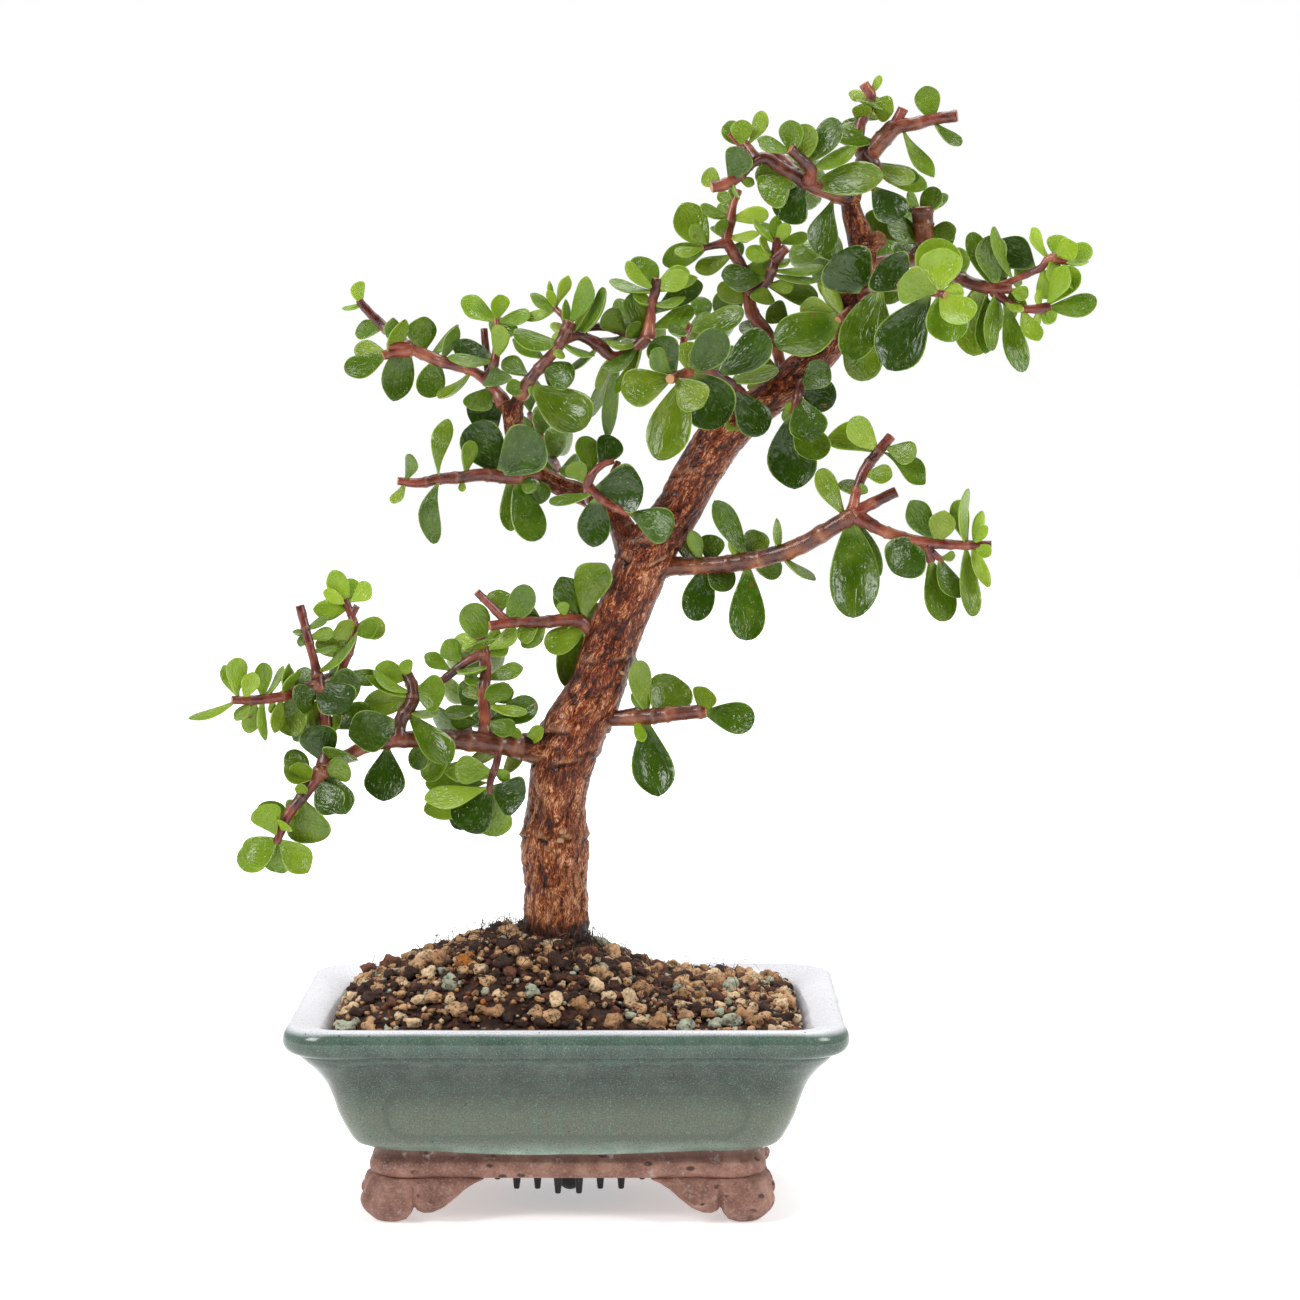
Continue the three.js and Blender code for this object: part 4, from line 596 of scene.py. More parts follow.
boss += [(BOSS_RADIUS, GRATE_FOOT + 0.4), (0, GRATE_FOOT + 0.5)]
parts = [turned(plate, 72), turned(boss, 32)]
parts += [turned(pin, 14, spot) for spot in zip(pin_x[kept], pin_y[kept])]
points, quads, tris = merged(parts)
grate = new_object("moulded_grate", points + pot_middle, [quads, tris], [polypropylene])
grate.modifiers.new("crisp_edges", "EDGE_SPLIT").split_angle = np.radians(40)
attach(grate, "root")
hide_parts("drainage_grate")


# ---------------------------------------------------------------------------
# Soil: a damp mix of peat, pumice, lava and zeolite, mounded round the trunk. Its
# surface is one crumbly skin, and the larger grains lie on it one by one.
SOIL_EDGE = 52.5
SOIL_CREST = 62.6
SOIL_FALL = 3.0
SOIL_MOUND = 12.0
MOUND_X = -12.0
MOUND_SPREAD = 30.0
SOIL_HALF = 65.0
GRATE_ROOM = 25.6
SOIL_RINGS = 118
TRUNK_ROOM = 11
TRIES = 12
GRAINS = 620
# Grains from this size on get smaller faces.
LARGE_GRAIN = 3.8
CRUMBS = 3020
CLODS = 640
ROOTLETS = 930
# How far from the middle, along and across, the small stuff lies.
CRUMB_REACH = (63.5, 45.5)
CLOD_REACH = (61, 43)
ROOTLET_REACH = (63, 44.5)
# The kinds of grain, as places on the mineral's row of colours, and their shares.
GRAIN_KINDS = [0.05, 0.2, 0.35, 0.5, 0.65, 0.8, 0.95]
GRAIN_SHARES = [0.3, 0.2, 0.17, 0.15, 0.07, 0.1, 0.01]


def soil_height(x, y):
    """Height of the ground: a crest along the pot with a bell-shaped mound on it, that
    falls to the lip with the 2.4th power across and the 8th power along, and lies a
    little lower on the right."""
    across = 1 - np.minimum(1, np.abs(y) / (SOIL_HALF - DEPTH_STEP)) ** 2.4
    along = 1 - np.minimum(1, np.abs(x) / SOIL_HALF) ** 8
    crest = SOIL_CREST + SOIL_MOUND * np.exp(-((x - MOUND_X) / MOUND_SPREAD) ** 2)
    crest = crest - SOIL_FALL * smooth_step(x, 2, 26)
    return SOIL_EDGE + (crest - SOIL_EDGE) * across * along


def ground(x, y):
    """The soil's height with clods of 7, 3 and 1.2 mm on it, lower at the lip."""
    spots = np.stack([x, y, 0 * x], -1)
    clods = 0.9 * lumps(spots, 7, 11) + 0.7 * lumps(spots, 3, 12) + 0.45 * lumps(spots, 1.2, 13)
    edge = np.maximum(np.abs(x) / SOIL_HALF, np.abs(y) / (SOIL_HALF - DEPTH_STEP))
    return soil_height(x, y) - 0.5 + clods * smooth_step(1.02 - edge, 0, 0.06)


def soil_skin():
    """The ground as rings from the lip inwards, closed by its walls and underside, with a
    well over the grate."""
    low = [(GRATE_ROOM, 19.6), (GRATE_ROOM, 17.7), (48.0, 17.7), (57.2, 36), (63.2, 49.5)]
    x_low, y_low = rounded_rings([half for half, z in low])
    angle = np.arctan2(y_low[2], x_low[2])
    x_low[:2], y_low[:2] = GRATE_ROOM * np.cos(angle), GRATE_ROOM * np.sin(angle)
    z_low = np.repeat([[z] for half, z in low], len(SPOKES), axis=1)
    x_top, y_top = rounded_rings(np.linspace(64.3, 0.4, SOIL_RINGS))
    x, y = np.concatenate([x_low, x_top]), np.concatenate([y_low, y_top])
    z = np.concatenate([z_low, ground(x_top, y_top)])
    points = np.stack([x, y, z], -1).reshape(-1, 3)
    poles = [(0, 0, 19.6), (0, 0, z[-1].mean())]
    return np.concatenate([points, poles]), grid_faces(*x.shape), end_fans(*x.shape)


def ball(rounds):
    """The corners and triangles of a ball of 20 faces, each split into 4 so many times."""
    golden = (1 + 5 ** 0.5) / 2
    corners = np.array([(-1, golden, 0), (1, golden, 0), (-1, -golden, 0), (1, -golden, 0),
                        (0, -1, golden), (0, 1, golden), (0, -1, -golden), (0, 1, -golden),
                        (golden, 0, -1), (golden, 0, 1), (-golden, 0, -1), (-golden, 0, 1)])
    faces = np.array([(0, 11, 5), (0, 5, 1), (0, 1, 7), (0, 7, 10), (0, 10, 11), (1, 5, 9), (5, 11, 4),
                      (11, 10, 2), (10, 7, 6), (7, 1, 8), (3, 9, 4), (3, 4, 2), (3, 2, 6), (3, 6, 8),
                      (3, 8, 9), (4, 9, 5), (2, 4, 11), (6, 2, 10), (8, 6, 7), (9, 8, 1)])
    for _ in range(rounds):
        edges = np.sort(faces[:, [0, 1, 1, 2, 2, 0]].reshape(-1, 2))
        unique, where = np.unique(edges, axis=0, return_inverse=True)
        middles = where.reshape(-1, 3) + len(corners)
        corners = np.concatenate([corners, corners[unique].mean(1)])
        a, b, c = faces.T
        ab, bc, ca = middles.T
        faces = np.concatenate([np.stack(t, -1) for t in (
            (a, ab, ca), (b, bc, ab), (c, ca, bc), (ab, bc, ca))])
    return corners / np.linalg.norm(corners, axis=1, keepdims=True), faces


def strewn(sizes, room, draw):
    """Spots on the soil for stones of these sizes, large ones first, each at least room
    times the mean of two sizes away from the ones that lie there. Few lie near the trunk,
    and a stone that finds no spot in so many tries is left out."""
    half_y = SOIL_HALF - DEPTH_STEP
    spots = []
    for size in sorted(sizes, reverse=True):
        for _ in range(TRIES):
            x = draw.uniform(-1, 1) * (SOIL_HALF - 1.2 - size / 2)
            y = draw.uniform(-1, 1) * (half_y - 1.2 - size / 2)
            by_trunk = np.hypot(x + 4, y) < TRUNK_ROOM
            if by_trunk or draw.random() < 0.75 * np.exp(-((x + 6) ** 2 + y ** 2) / 500):
                continue
            taken = np.array(spots).reshape(-1, 3)
            gap = np.hypot(taken[:, 0] - x, taken[:, 1] - y)
            if np.all(gap > room * (taken[:, 2] + size) / 2):
                spots.append((x, y, size))
                break
    return np.array(spots)


def stones(spots, rounds, rise, roughness, draw):
    """A lumpy ball on every spot, each stretched, tipped and turned, with its middle as
    far above the ground as the rise times its size, and its kind drawn at random.
    Returns points, triangles and the kind at each point."""
    corners, faces = ball(rounds)
    count = len(spots)
    stretch = draw.uniform((0.78, 0.62, 0.58), (1.25, 1.0, 0.86), (count, 3))
    seeds = draw.uniform(0, 900, (count, 1, 3))
    swell = 1 + roughness * lumps(corners * 1.1 + seeds, 0.95, 21)
    swell = swell + 0.5 * roughness * lumps(corners * 1.1 + seeds, 0.42, 22)
    shapes = corners * swell[..., None] * stretch[:, None] * spots[:, None, 2:] / 2
    tip, spin = draw.uniform(-0.5, 0.5, count), draw.uniform(0, 2 * np.pi, count)
    x, y, z = np.moveaxis(shapes, -1, 0)
    y, z = (y * np.cos(tip)[:, None] - z * np.sin(tip)[:, None],
            y * np.sin(tip)[:, None] + z * np.cos(tip)[:, None])
    x, y = (x * np.cos(spin)[:, None] - y * np.sin(spin)[:, None],
            x * np.sin(spin)[:, None] + y * np.cos(spin)[:, None])
    middle = soil_height(spots[:, 0], spots[:, 1]) + rise * spots[:, 2]
    points = np.stack([x + spots[:, :1], y + spots[:, 1:2], z + middle[:, None]], -1)
    kinds = np.repeat(draw.choice(GRAIN_KINDS, count, p=GRAIN_SHARES), len(corners))
    offsets = np.arange(count)[:, None, None] * len(corners)
    return points.reshape(-1, 3), (faces + offsets).reshape(-1, 3), kinds


# Damp peat and crumbled lava: matt, nearly black where wet, red-brown where dry.
peat, add, place = new_material("damp_peat")
clods = add("TexNoise", {"Vector": place, "Scale": 260.0, "Detail": 8.0, "Roughness": 0.72})[0]
brown = add("ValToRGB", {0: clods}, stops=[
    (0.36, "#1b0f0a"), (0.49, "#412618"), (0.61, "#69402c"), (0.75, "#96684b")])[0]
fibre = add("TexNoise", {"Vector": place, "Scale": 1300.0, "Detail": 4.0})[0]
relief = add("Math", {0: clods, 1: 2.0, 2: fibre}, operation="MULTIPLY_ADD")[0]
skin = add("Bump", {"Strength": 1.0, "Distance": 0.0009, "Height": relief})[0]
damp = add("MapRange", {0: clods, 1: 0.35, 2: 0.6, 3: 0.5, 4: 0.95})[0]
finish_material(add, {"Base Color": brown, "Roughness": damp, "Normal": skin})

# Pumice, akadama, lava and zeolite: dull mineral grains, open with dark pores of
# 0.3 to 0.8 mm, dusted with peat in their hollows.
mineral, add, place = new_material("pumice_lava_and_zeolite")
kind = add("Attribute", attribute_name="kind")["Fac"]
stone = add("ValToRGB", {0: kind}, stops=[
    (0.0, "#cda277"), (0.12, "#e3c49b"), (0.28, "#b78a60"), (0.42, "#744530"), (0.58, "#b0b49c"),
    (0.72, "#3d241a"), (0.88, "#b8702c")])[0]
stone.node.color_ramp.interpolation = "CONSTANT"
tone = add("TexNoise", {"Vector": place, "Scale": 420.0, "Detail": 6.0, "Roughness": 0.7})[0]
shade = add("ValToRGB", {0: tone}, stops=[(0.34, 0.25), (0.47, 0.8), (0.6, 1.12)])[0]
toned = add("Mix", {0: 1.0, 6: stone, 7: shade}, data_type="RGBA", blend_type="MULTIPLY")[2]
pores = add("TexVoronoi", {"Vector": place, "Scale": 1050.0})["Distance"]
pore = add("ValToRGB", {0: pores}, stops=[(0.17, 1.0), (0.34, 0.0)])[0]
some = add("ValToRGB", {0: tone}, stops=[(0.42, 0.9), (0.56, 0.25)])[0]
pore_part = add("Math", {0: pore, 1: some}, operation="MULTIPLY")[0]
pored = add("Mix", {0: pore_part, 6: toned, 7: "#3b2417"}, data_type="RGBA")[2]
relief = add("Math", {0: pore_part, 1: -1.2, 2: tone}, operation="MULTIPLY_ADD")[0]
skin = add("Bump", {"Strength": 0.9, "Distance": 0.0005, "Height": relief})[0]
finish_material(add, {"Base Color": pored, "Roughness": 0.85, "Normal": skin})

points, quads, tris = soil_skin()
soil = new_object("soil_mound", points + pot_middle, [quads, tris], [peat])

draw = np.random.default_rng(5)
spots = strewn(1.9 + 3.7 * draw.random(GRAINS) ** 1.8, 0.86, draw)
large = spots[:, 2] > LARGE_GRAIN
points, tris, kinds = zip(
    stones(spots[large], 2, 0.12, 0.62, draw), stones(spots[~large], 1, 0.12, 0.62, draw))
tris = np.concatenate([tris[0], tris[1] + len(points[0])])
grains = new_object("soil_grains", np.concatenate(points) + pot_middle, [tris], [mineral],
                    {"kind": np.concatenate(kinds)})

draw = np.random.default_rng(6)
sizes = 0.9 + 1.5 * draw.random(CRUMBS)
spots = np.column_stack([
    *(draw.uniform(-1, 1, CRUMBS) * reach for reach in CRUMB_REACH), sizes])
points, tris, kinds = stones(spots, 0, 0.2, 0.35, draw)
kinds = np.where(kinds < 0.4, draw.choice([0.05, 0.35, 0.5, 0.8], CRUMBS).repeat(12), kinds)
crumbs = new_object("soil_crumbs", points + pot_middle, [tris], [mineral], {"kind": kinds})

draw = np.random.default_rng(9)
sizes = 1.6 + 2.6 * draw.random(CLODS) ** 1.5
x, y = draw.normal(-4, 28, CLODS), draw.normal(0, 22, CLODS)
x, y = (np.clip(spot, -reach, reach) for spot, reach in zip((x, y), CLOD_REACH))
spots = np.column_stack([x, y, sizes])
points, tris, kinds = stones(spots, 1, 0.1, 0.6, draw)
clods = new_object("soil_clods", points + pot_middle, [tris], [peat])


def rootlet_tubes(count, draw):
    """Fine curved hairs of 3 sides on the ground: each heads one way, bends steadily and
    arches up between its ends. Returns points, quads and the triangles at the ends."""
    centre = draw.normal((-7, -2), (17, 14), (count, 2))
    stray = draw.random(count) < 0.3
    centre = np.where(stray[:, None], draw.uniform((-60, -42), (60, 42), (count, 2)), centre)
    heading, bend = draw.uniform(0, 2 * np.pi, count), draw.normal(0, 0.16, count)
    length, arch = draw.uniform(3, 10, count), 0.2 + 5.5 * draw.random(count) ** 2.5
    radius = draw.uniform(0.07, 0.17, count)
    t = np.linspace(0, 1, 8)
    angle = heading[:, None] + bend[:, None] * length[:, None] * t
    step = (length / 7)[:, None]
    x = centre[:, :1] + np.cumsum(np.cos(angle) * step, axis=1)
    y = centre[:, 1:] + np.cumsum(np.sin(angle) * step, axis=1)
    x, y = (np.clip(spot, -reach, reach) for spot, reach in zip((x, y), ROOTLET_REACH))
    z = soil_height(x, y) + 0.3 + arch[:, None] * np.sin(np.pi * t) + 0.3 * np.sin(7 * t + heading[:, None])
    thin = radius[:, None] * (1 - 0.7 * t)
    rounds = np.arange(3) / 3 * 2 * np.pi
    aside = np.stack([-np.sin(angle), np.cos(angle), 0 * angle], -1)[:, :, None]
    sections = aside * np.cos(rounds)[:, None] + np.array([0, 0, 1]) * np.sin(rounds)[:, None]
    points = np.stack([x, y, z], -1)[:, :, None] + sections * thin[..., None, None]
    quads = grid_faces(8, 3) + np.arange(count)[:, None, None] * 24
    ends = np.array([(0, 2, 1), (21, 22, 23)]) + np.arange(count)[:, None, None] * 24
    return points.reshape(-1, 3), quads.reshape(-1, 4), ends.reshape(-1, 3)


# Dry rootlets and peat fibre: thin, matt, dark brown to straw.
rootlet, add, place = new_material("dry_rootlets")
tone = add("TexNoise", {"Vector": place, "Scale": 160.0, "Detail": 1.0})[0]
straw = add("ValToRGB", {0: tone}, stops=[(0.4, "#1c0f09"), (0.6, "#40281a"), (0.74, "#94704f")])[0]
finish_material(add, {"Base Color": straw, "Roughness": 0.8})

points, quads, tris = rootlet_tubes(ROOTLETS, np.random.default_rng(8))
rootlets = new_object("soil_rootlets", points + pot_middle, [quads, tris], [rootlet])

for piece in (soil, grains, crumbs, clods, rootlets):
    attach(piece, "root")
    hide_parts("soil")


# ---------------------------------------------------------------------------
# Trunk: one woody stem that leans to the right, with a limb that forks on its left,
# cut stubs and ring scars. The bark is thin, damp and red-brown, split into upright
# flakes that grow coarser towards the foot.

# Routes run from the thick end as [u, v, depth, radius]: u and v are places on the
# camera's 1300 x 1300 sheet and the radius is in its units; depth is in millimetres
# towards the front. The last but one, a swelling round the root buds, isn't built: it
# only keeps leaves away. The last is the collar where the low left limb leaves.
TRUNK_ROUTES = [
  [[553, 1040, 0, 44], [554, 985, 0, 40], [555, 940, 0, 33], [556, 890, 0, 32.5], [556, 838, 0, 33],
   [557, 800, 0, 30], [563, 765, 0, 32], [576, 728, 0, 32], [594, 694, 0, 27], [606, 660, 0, 28],
   [616, 630, 0, 26], [630, 595, 0, 26], [645, 560, 0, 28], [660, 532, 0, 25], [681, 504, 0, 22],
   [702, 466, 0, 23], [722, 436, 0, 24], [748, 414, 1, 20], [775, 394, 1, 19], [803, 369, 1, 18],
   [832, 340, 1, 15], [844, 310, 0, 14], [853, 285, -1, 14], [862, 258, -2, 14], [860, 236, -2, 13],
   [853, 215, -2, 11], [851, 198, -2, 10], [858, 182, -2, 9.5], [866, 165, -2, 9]],
  [[648, 572, 0, 16], [632, 548, 0, 15], [619, 522, -1, 13], [606, 503, -2, 12], [588, 497, -2, 11],
   [560, 486, -2, 10.5], [533, 469, -2, 10], [518, 448, -2, 9.5], [513, 428, -2, 9], [508, 410, -3, 7.5],
   [499, 396, -4, 6.5]],
  [[513, 424, -2, 8], [516, 405, -1, 7], [523, 390, 0, 6.5]],
  [[853, 200, -2, 9], [845, 195, 0, 8.5], [836, 194, 1, 8]],
  [[860, 250, -2, 9], [874, 243, 1, 8], [881, 238, 3, 7.5]],
  [[618, 520, -1, 7], [613, 500, -6, 5], [612, 480, -9, 4], [618, 462, -11, 3]],
  [[556, 842, -4, 30], [557, 833, -4, 34], [557, 824, -4, 30]],
  [[580, 764, -2, 26], [562, 757, 0, 23], [547, 751, 2, 19], [534, 748, 3, 15.5], [522, 747, 4, 13.5]],
]

# Millimetres between the rings of a stem, and the sides of each ring.
TRUNK_SPACING, TRUNK_SIDES = 0.58, 102
LIMB_SPACING, LIMB_SIDES = 0.7, 40
# Ring scars on the trunk: the height on the sheet, and how deep each one is.
RING_SCARS = [(833, 1.0), (757, 0.9), (741, 0.5), (656, 0.6), (556, 0.9), (545, 0.4), (470, 0.4),
              (404, 0.5), (330, 0.4), (729, 0.7), (715, 0.5)]
# Pale knobs of budding roots on the front of the trunk: u, v, depth and size in mm.
ROOT_BUDS = [
    (561, 832, 9.6, 1.3), (560, 840, 9.8, 1.8), (567, 836, 9.4, 0.8), (556, 716, 3.8, 1.4),
    (561, 709, 5.0, 1.0), (567, 713, 6.3, 1.5), (543, 738, 2.8, 1.4), (549, 746, 5.4, 1.1),
    (623, 673, 5.5, 1.8),
]
SHEET_MIDDLE = SHEET_SIZE / 2

TO_EYE = np.array([0, -np.cos(EYE_PITCH), np.sin(EYE_PITCH)])
SHEET_UP = np.array([0, np.sin(EYE_PITCH), np.cos(EYE_PITCH)])
SHEET_RIGHT = np.array([1.0, 0, 0])


def ray_length(v, depth):
    """Distance from the eye, along its line of sight, to the upright plane at a depth."""
    forward = np.cos(EYE_PITCH) + np.sin(EYE_PITCH) * (SHEET_MIDDLE - v) / SHEET_FOCAL
    return (-EYE_OFFSET[1] - depth) / forward


def off_sheet(route):
    """The points of (u, v, depth), seen from the eye, and the size of a sheet unit there."""
    route = np.asarray(route, float)
    u, v, depth = route[..., 0], route[..., 1], route[..., 2]
    reach = ray_length(v, depth)
    unit = (reach / SHEET_FOCAL)[..., None]
    points = np.array(EYE_OFFSET) - TO_EYE * reach[..., None]
    points = points + SHEET_RIGHT * (u - SHEET_MIDDLE)[..., None] * unit
    return points + SHEET_UP * (SHEET_MIDDLE - v)[..., None] * unit, unit[..., 0]


def unit_vector(vector):
    """The vector divided by its length."""
    return vector / np.linalg.norm(vector, axis=-1, keepdims=True)


def stem_frame(route, spacing):
    """Rings along a route at an even spacing: centres, tangents, two directions across
    that are carried along without twist, radii and lengths from the start."""
    knots, unit = off_sheet(route)
    fine = np.linspace(0, 1, 40 * len(knots))
    trail = curve_through(knots, fine)
    passed = np.append(0, np.cumsum(np.linalg.norm(np.diff(trail, axis=0), axis=1)))
    count = max(6, int(passed[-1] / spacing))
    t = np.interp(np.linspace(0, passed[-1], count), passed, fine)
    centre = curve_through(knots, t)
    tangent = unit_vector(np.gradient(centre, axis=0))
    across = np.cross(tangent[0], TO_EYE)
    acrosses = []
    for ring in range(count):
        across = across - tangent[ring] * (across @ tangent[ring])
        across = across / np.linalg.norm(across)
        acrosses.append(across)
    across = np.array(acrosses)
    aside = np.cross(tangent, across)
    radius = np.interp(t * (len(knots) - 1), np.arange(len(knots)), np.array(route)[:, 3] * unit)
    soft = np.convolve(np.pad(radius, 4, mode="edge"), np.full(9, 1 / 9), mode="valid")
    return centre, tangent, across, aside, soft, np.linspace(0, passed[-1], count)


def stem_surface(route, spacing, sides, relief):
    """A stem's skin: rings round its middle line, each point moved out by the relief in
    millimetres, and a flat cut at both ends with a soft edge. The relief is worked out
    on the stem as if it stood straight, unrolled from its bends. Returns points, quads,
    triangles and a dictionary of numbers at the points."""
    centre, tangent, across, aside, radius, passed = stem_frame(route, spacing)
    angle = np.arange(sides) / sides * 2 * np.pi
    spoke = across[:, None] * np.cos(angle)[:, None] + aside[:, None] * np.sin(angle)[:, None]
    upright = np.stack(np.broadcast_arrays(
        radius[:, None] * np.cos(angle), radius[:, None] * np.sin(angle), passed[:, None]), -1)
    reach, notes = relief(centre[:, None] + spoke * radius[:, None, None], upright, radius, passed)
    skin = centre[:, None] + spoke * (radius[:, None] + reach)[..., None]
    past = min(0.3, 0.15 * radius[-1])
    rims = []
    for end, outward in ((0, -1), (-1, 1)):
        middle = centre[end] + outward * past * tangent[end]
        rims.append(middle + (skin[end] - centre[end]) * 0.9)
        rims.append(middle + (skin[end] - centre[end]) * 0.45 - outward * 0.3 * past * tangent[end])
        rims.append(np.broadcast_to(middle - outward * 0.5 * past * tangent[end], (1, 3)))
    rings = np.concatenate([rims[1][None], rims[0][None], skin, rims[3][None], rims[4][None]])
    points = np.concatenate([rings.reshape(-1, 3), rims[2], rims[5]])
    cut = np.zeros((len(rings), sides))
    cut[:2] = cut[-2:] = 1
    notes = {key: np.pad(np.broadcast_to(value, reach.shape), ((2, 2), (0, 0)), mode="edge")
             for key, value in notes.items()}
    notes["cut"] = cut
    notes = {key: np.append(value.ravel(), [value[0, 0], value[-1, 0]]) for key, value in notes.items()}
    grain = np.pad(upright, ((2, 2), (0, 0), (0, 0)), mode="edge").reshape(-1, 3)
    notes["grain"] = np.concatenate([grain, grain[[0, -1]]]) * 0.001
    return points, grid_faces(len(rings), sides), end_fans(len(rings), sides), notes


def bark_relief(spots, wrap, radius, passed):
    """Bark of the trunk: cracks where a noise drawn out along the stem crosses zero and
    flakes between them, both deeper towards the foot, knobs, and broken ring scars, each
    a ridge over a groove. The tone is darker in cracks, partly the bark's own colour and
    partly painted shade, darker in the scars' grooves as painted shade, and darker where
    damp soil stains the foot."""
    height = spots[..., 2]
    age = 0.45 + 0.55 * smooth_step(-height, -150, -75)
    size = np.minimum(1, radius / 7)[:, None]
    warp = 0.9 * lumps(wrap, 4, 31)[..., None] * (1, 1, 0)
    long_crack = np.abs(lumps((wrap + warp) * (1, 1, 0.3), 2.0, 32))
    flake = lumps(wrap * (1, 1, 0.45), 1.5, 34) + 0.8 * lumps(wrap * (1, 1, 0.6), 1.0, 33)
    cracks = np.exp(-(long_crack / 0.09) ** 2)
    relief = age * size * (0.34 * flake - 0.5 * cracks + 0.55 * lumps(wrap * (1, 1, 0.28), 3.2, 46))
    relief = relief + size * (0.6 * lumps(wrap * (1, 1, 0.6), 6.5, 35) + 0.12 * lumps(wrap, 0.6, 36))
    scar_line, scar_groove_shade = np.zeros_like(relief), np.zeros_like(relief)
    for sheet_v, depth in RING_SCARS:
        place = off_sheet([(SHEET_MIDDLE, sheet_v, 0)])[0][0, 2]
        round_it = wrap * (1, 1, 0)
        ragged = height - place + 1.5 * lumps(round_it, 8, 37 + sheet_v)
        ragged = ragged + 0.9 * lumps(round_it, 2, 38 + sheet_v)
        there = depth * smooth_step(lumps(round_it, 3, 60 + sheet_v), -0.4, 0.4)
        groove = np.exp(-((ragged + 1.1) / 0.5) ** 2)
        relief = relief + size * there * (0.7 * np.exp(-(ragged / 1.0) ** 2) - 1.1 * groove)
        scar_groove_shade = np.maximum(scar_groove_shade, there * groove)
        scar_line = scar_line + there * np.exp(-((ragged - 0.2) / 0.5) ** 2)
    soiled = smooth_step(height - 2.5 * lumps(wrap, 2.2, 39), 80, 75.5)
    # Tone: painted shade, with some of the bark's own colour, in the cracks; painted shade in the scars'
    # grooves; damp soil stains at the foot.
    tone = 0.5 + 0.5 * flake - 0.8 * cracks - 1.4 * soiled - 1.3 * scar_groove_shade
    return relief, {"tone": tone, "age": age, "scar": np.clip(scar_line, 0, 1)}


def limb_relief(spots, wrap, radius, passed):
    """Bark of a limb: fine cracks along it, a collar where it leaves the stem, and low
    rings every few millimetres where leaves have dropped."""
    flake = lumps(wrap * (1, 1, 0.35), 1.0, 41)
    crack = np.exp(-(np.abs(lumps(wrap * (1, 1, 0.2), 1.1, 42)) / 0.13) ** 2)
    collar = 0.25 * radius[:, None] * np.exp(-(passed[:, None] / (1.6 * radius[0] + 1)) ** 2)
    rings = np.sin(passed[:, None] * 2 * np.pi / 6.3 + 0.8 * lumps(wrap, 5, 43))
    scar = smooth_step(rings, 0.93, 1)
    relief = collar + 0.16 * flake - 0.2 * crack + 0.2 * scar + 0.25 * lumps(wrap, 4, 44)
    # The tone is darker in the cracks: partly the bark's own colour, partly painted shade.
    return relief, {"tone": 0.5 + 0.5 * flake - 0.6 * crack, "age": 0.35, "scar": scar * 0.6}


def root_bud(u, v, depth, size):
    """A lumpy knob, a little wider than high, half sunk in the bark."""
    corners, faces = ball(2)
    middle = off_sheet((u, v, depth))[0]
    swell = 1 + 0.45 * lumps(corners + (u, v, 0), 0.8, 45)
    points = middle + corners * swell[:, None] * (0.6 * size, 0.4 * size, 0.45 * size)
    notes = {"tone": 1.0, "age": 1.0, "scar": 2.2, "cut": 0.0}
    notes = {key: np.full(len(points), value) for key, value in notes.items()}
    return points, np.empty((0, 4), int), faces, {**notes, "grain": points * 0.001}


def merged_stems(parts):
    """Several stems as one: points, quads, triangles, and the numbers at the points."""
    points, quads, tris = merged([part[:3] for part in parts])
    return points, quads, tris, {key: np.concatenate([part[3][key] for part in parts]) for key in parts[0][3]}


# Bark of a young succulent stem: thin cork over live tissue, kept damp, so it glints.
# Fibres of 0.35 and 0.9 mm run along the stem; cracks between them are dark red-brown
# and the flakes orange-brown to tan.
bark, add, place = new_material("damp_jade_bark")
tone, age, scar, cut = (
    add("Attribute", attribute_name=name)["Fac"] for name in ("tone", "age", "scar", "cut"))
patch = add("TexNoise", {"Vector": place, "Scale": 70.0, "Detail": 6.0, "Roughness": 0.65})[0]
along_stem = add("Attribute", attribute_name="grain")["Vector"]
sway = add("TexNoise", {"Vector": along_stem, "Scale": 260.0, "Detail": 2.0})[1]
swayed = {0: sway, 1: (0.0035, 0.0035, 0), 2: along_stem}
wavy = add("VectorMath", swayed, operation="MULTIPLY_ADD")[0]
drawn_out = add("Mapping", {"Vector": wavy, "Scale": (1, 1, 0.15)})[0]
flake = add("TexNoise", {"Vector": drawn_out, "Scale": 1100.0, "Detail": 2.0})[0]
strip = add("MapRange", {0: flake, 1: 0.3, 2: 0.7, 4: 0.3})[0]
thread = add("TexNoise", {"Vector": drawn_out, "Scale": 2900.0, "Detail": 4.0, "Roughness": 0.7})[0]
fine = add("MapRange", {0: thread, 1: 0.34, 2: 0.66})[0]
fibres = add("Math", {0: fine, 1: 0.75, 2: strip}, operation="MULTIPLY_ADD")[0]
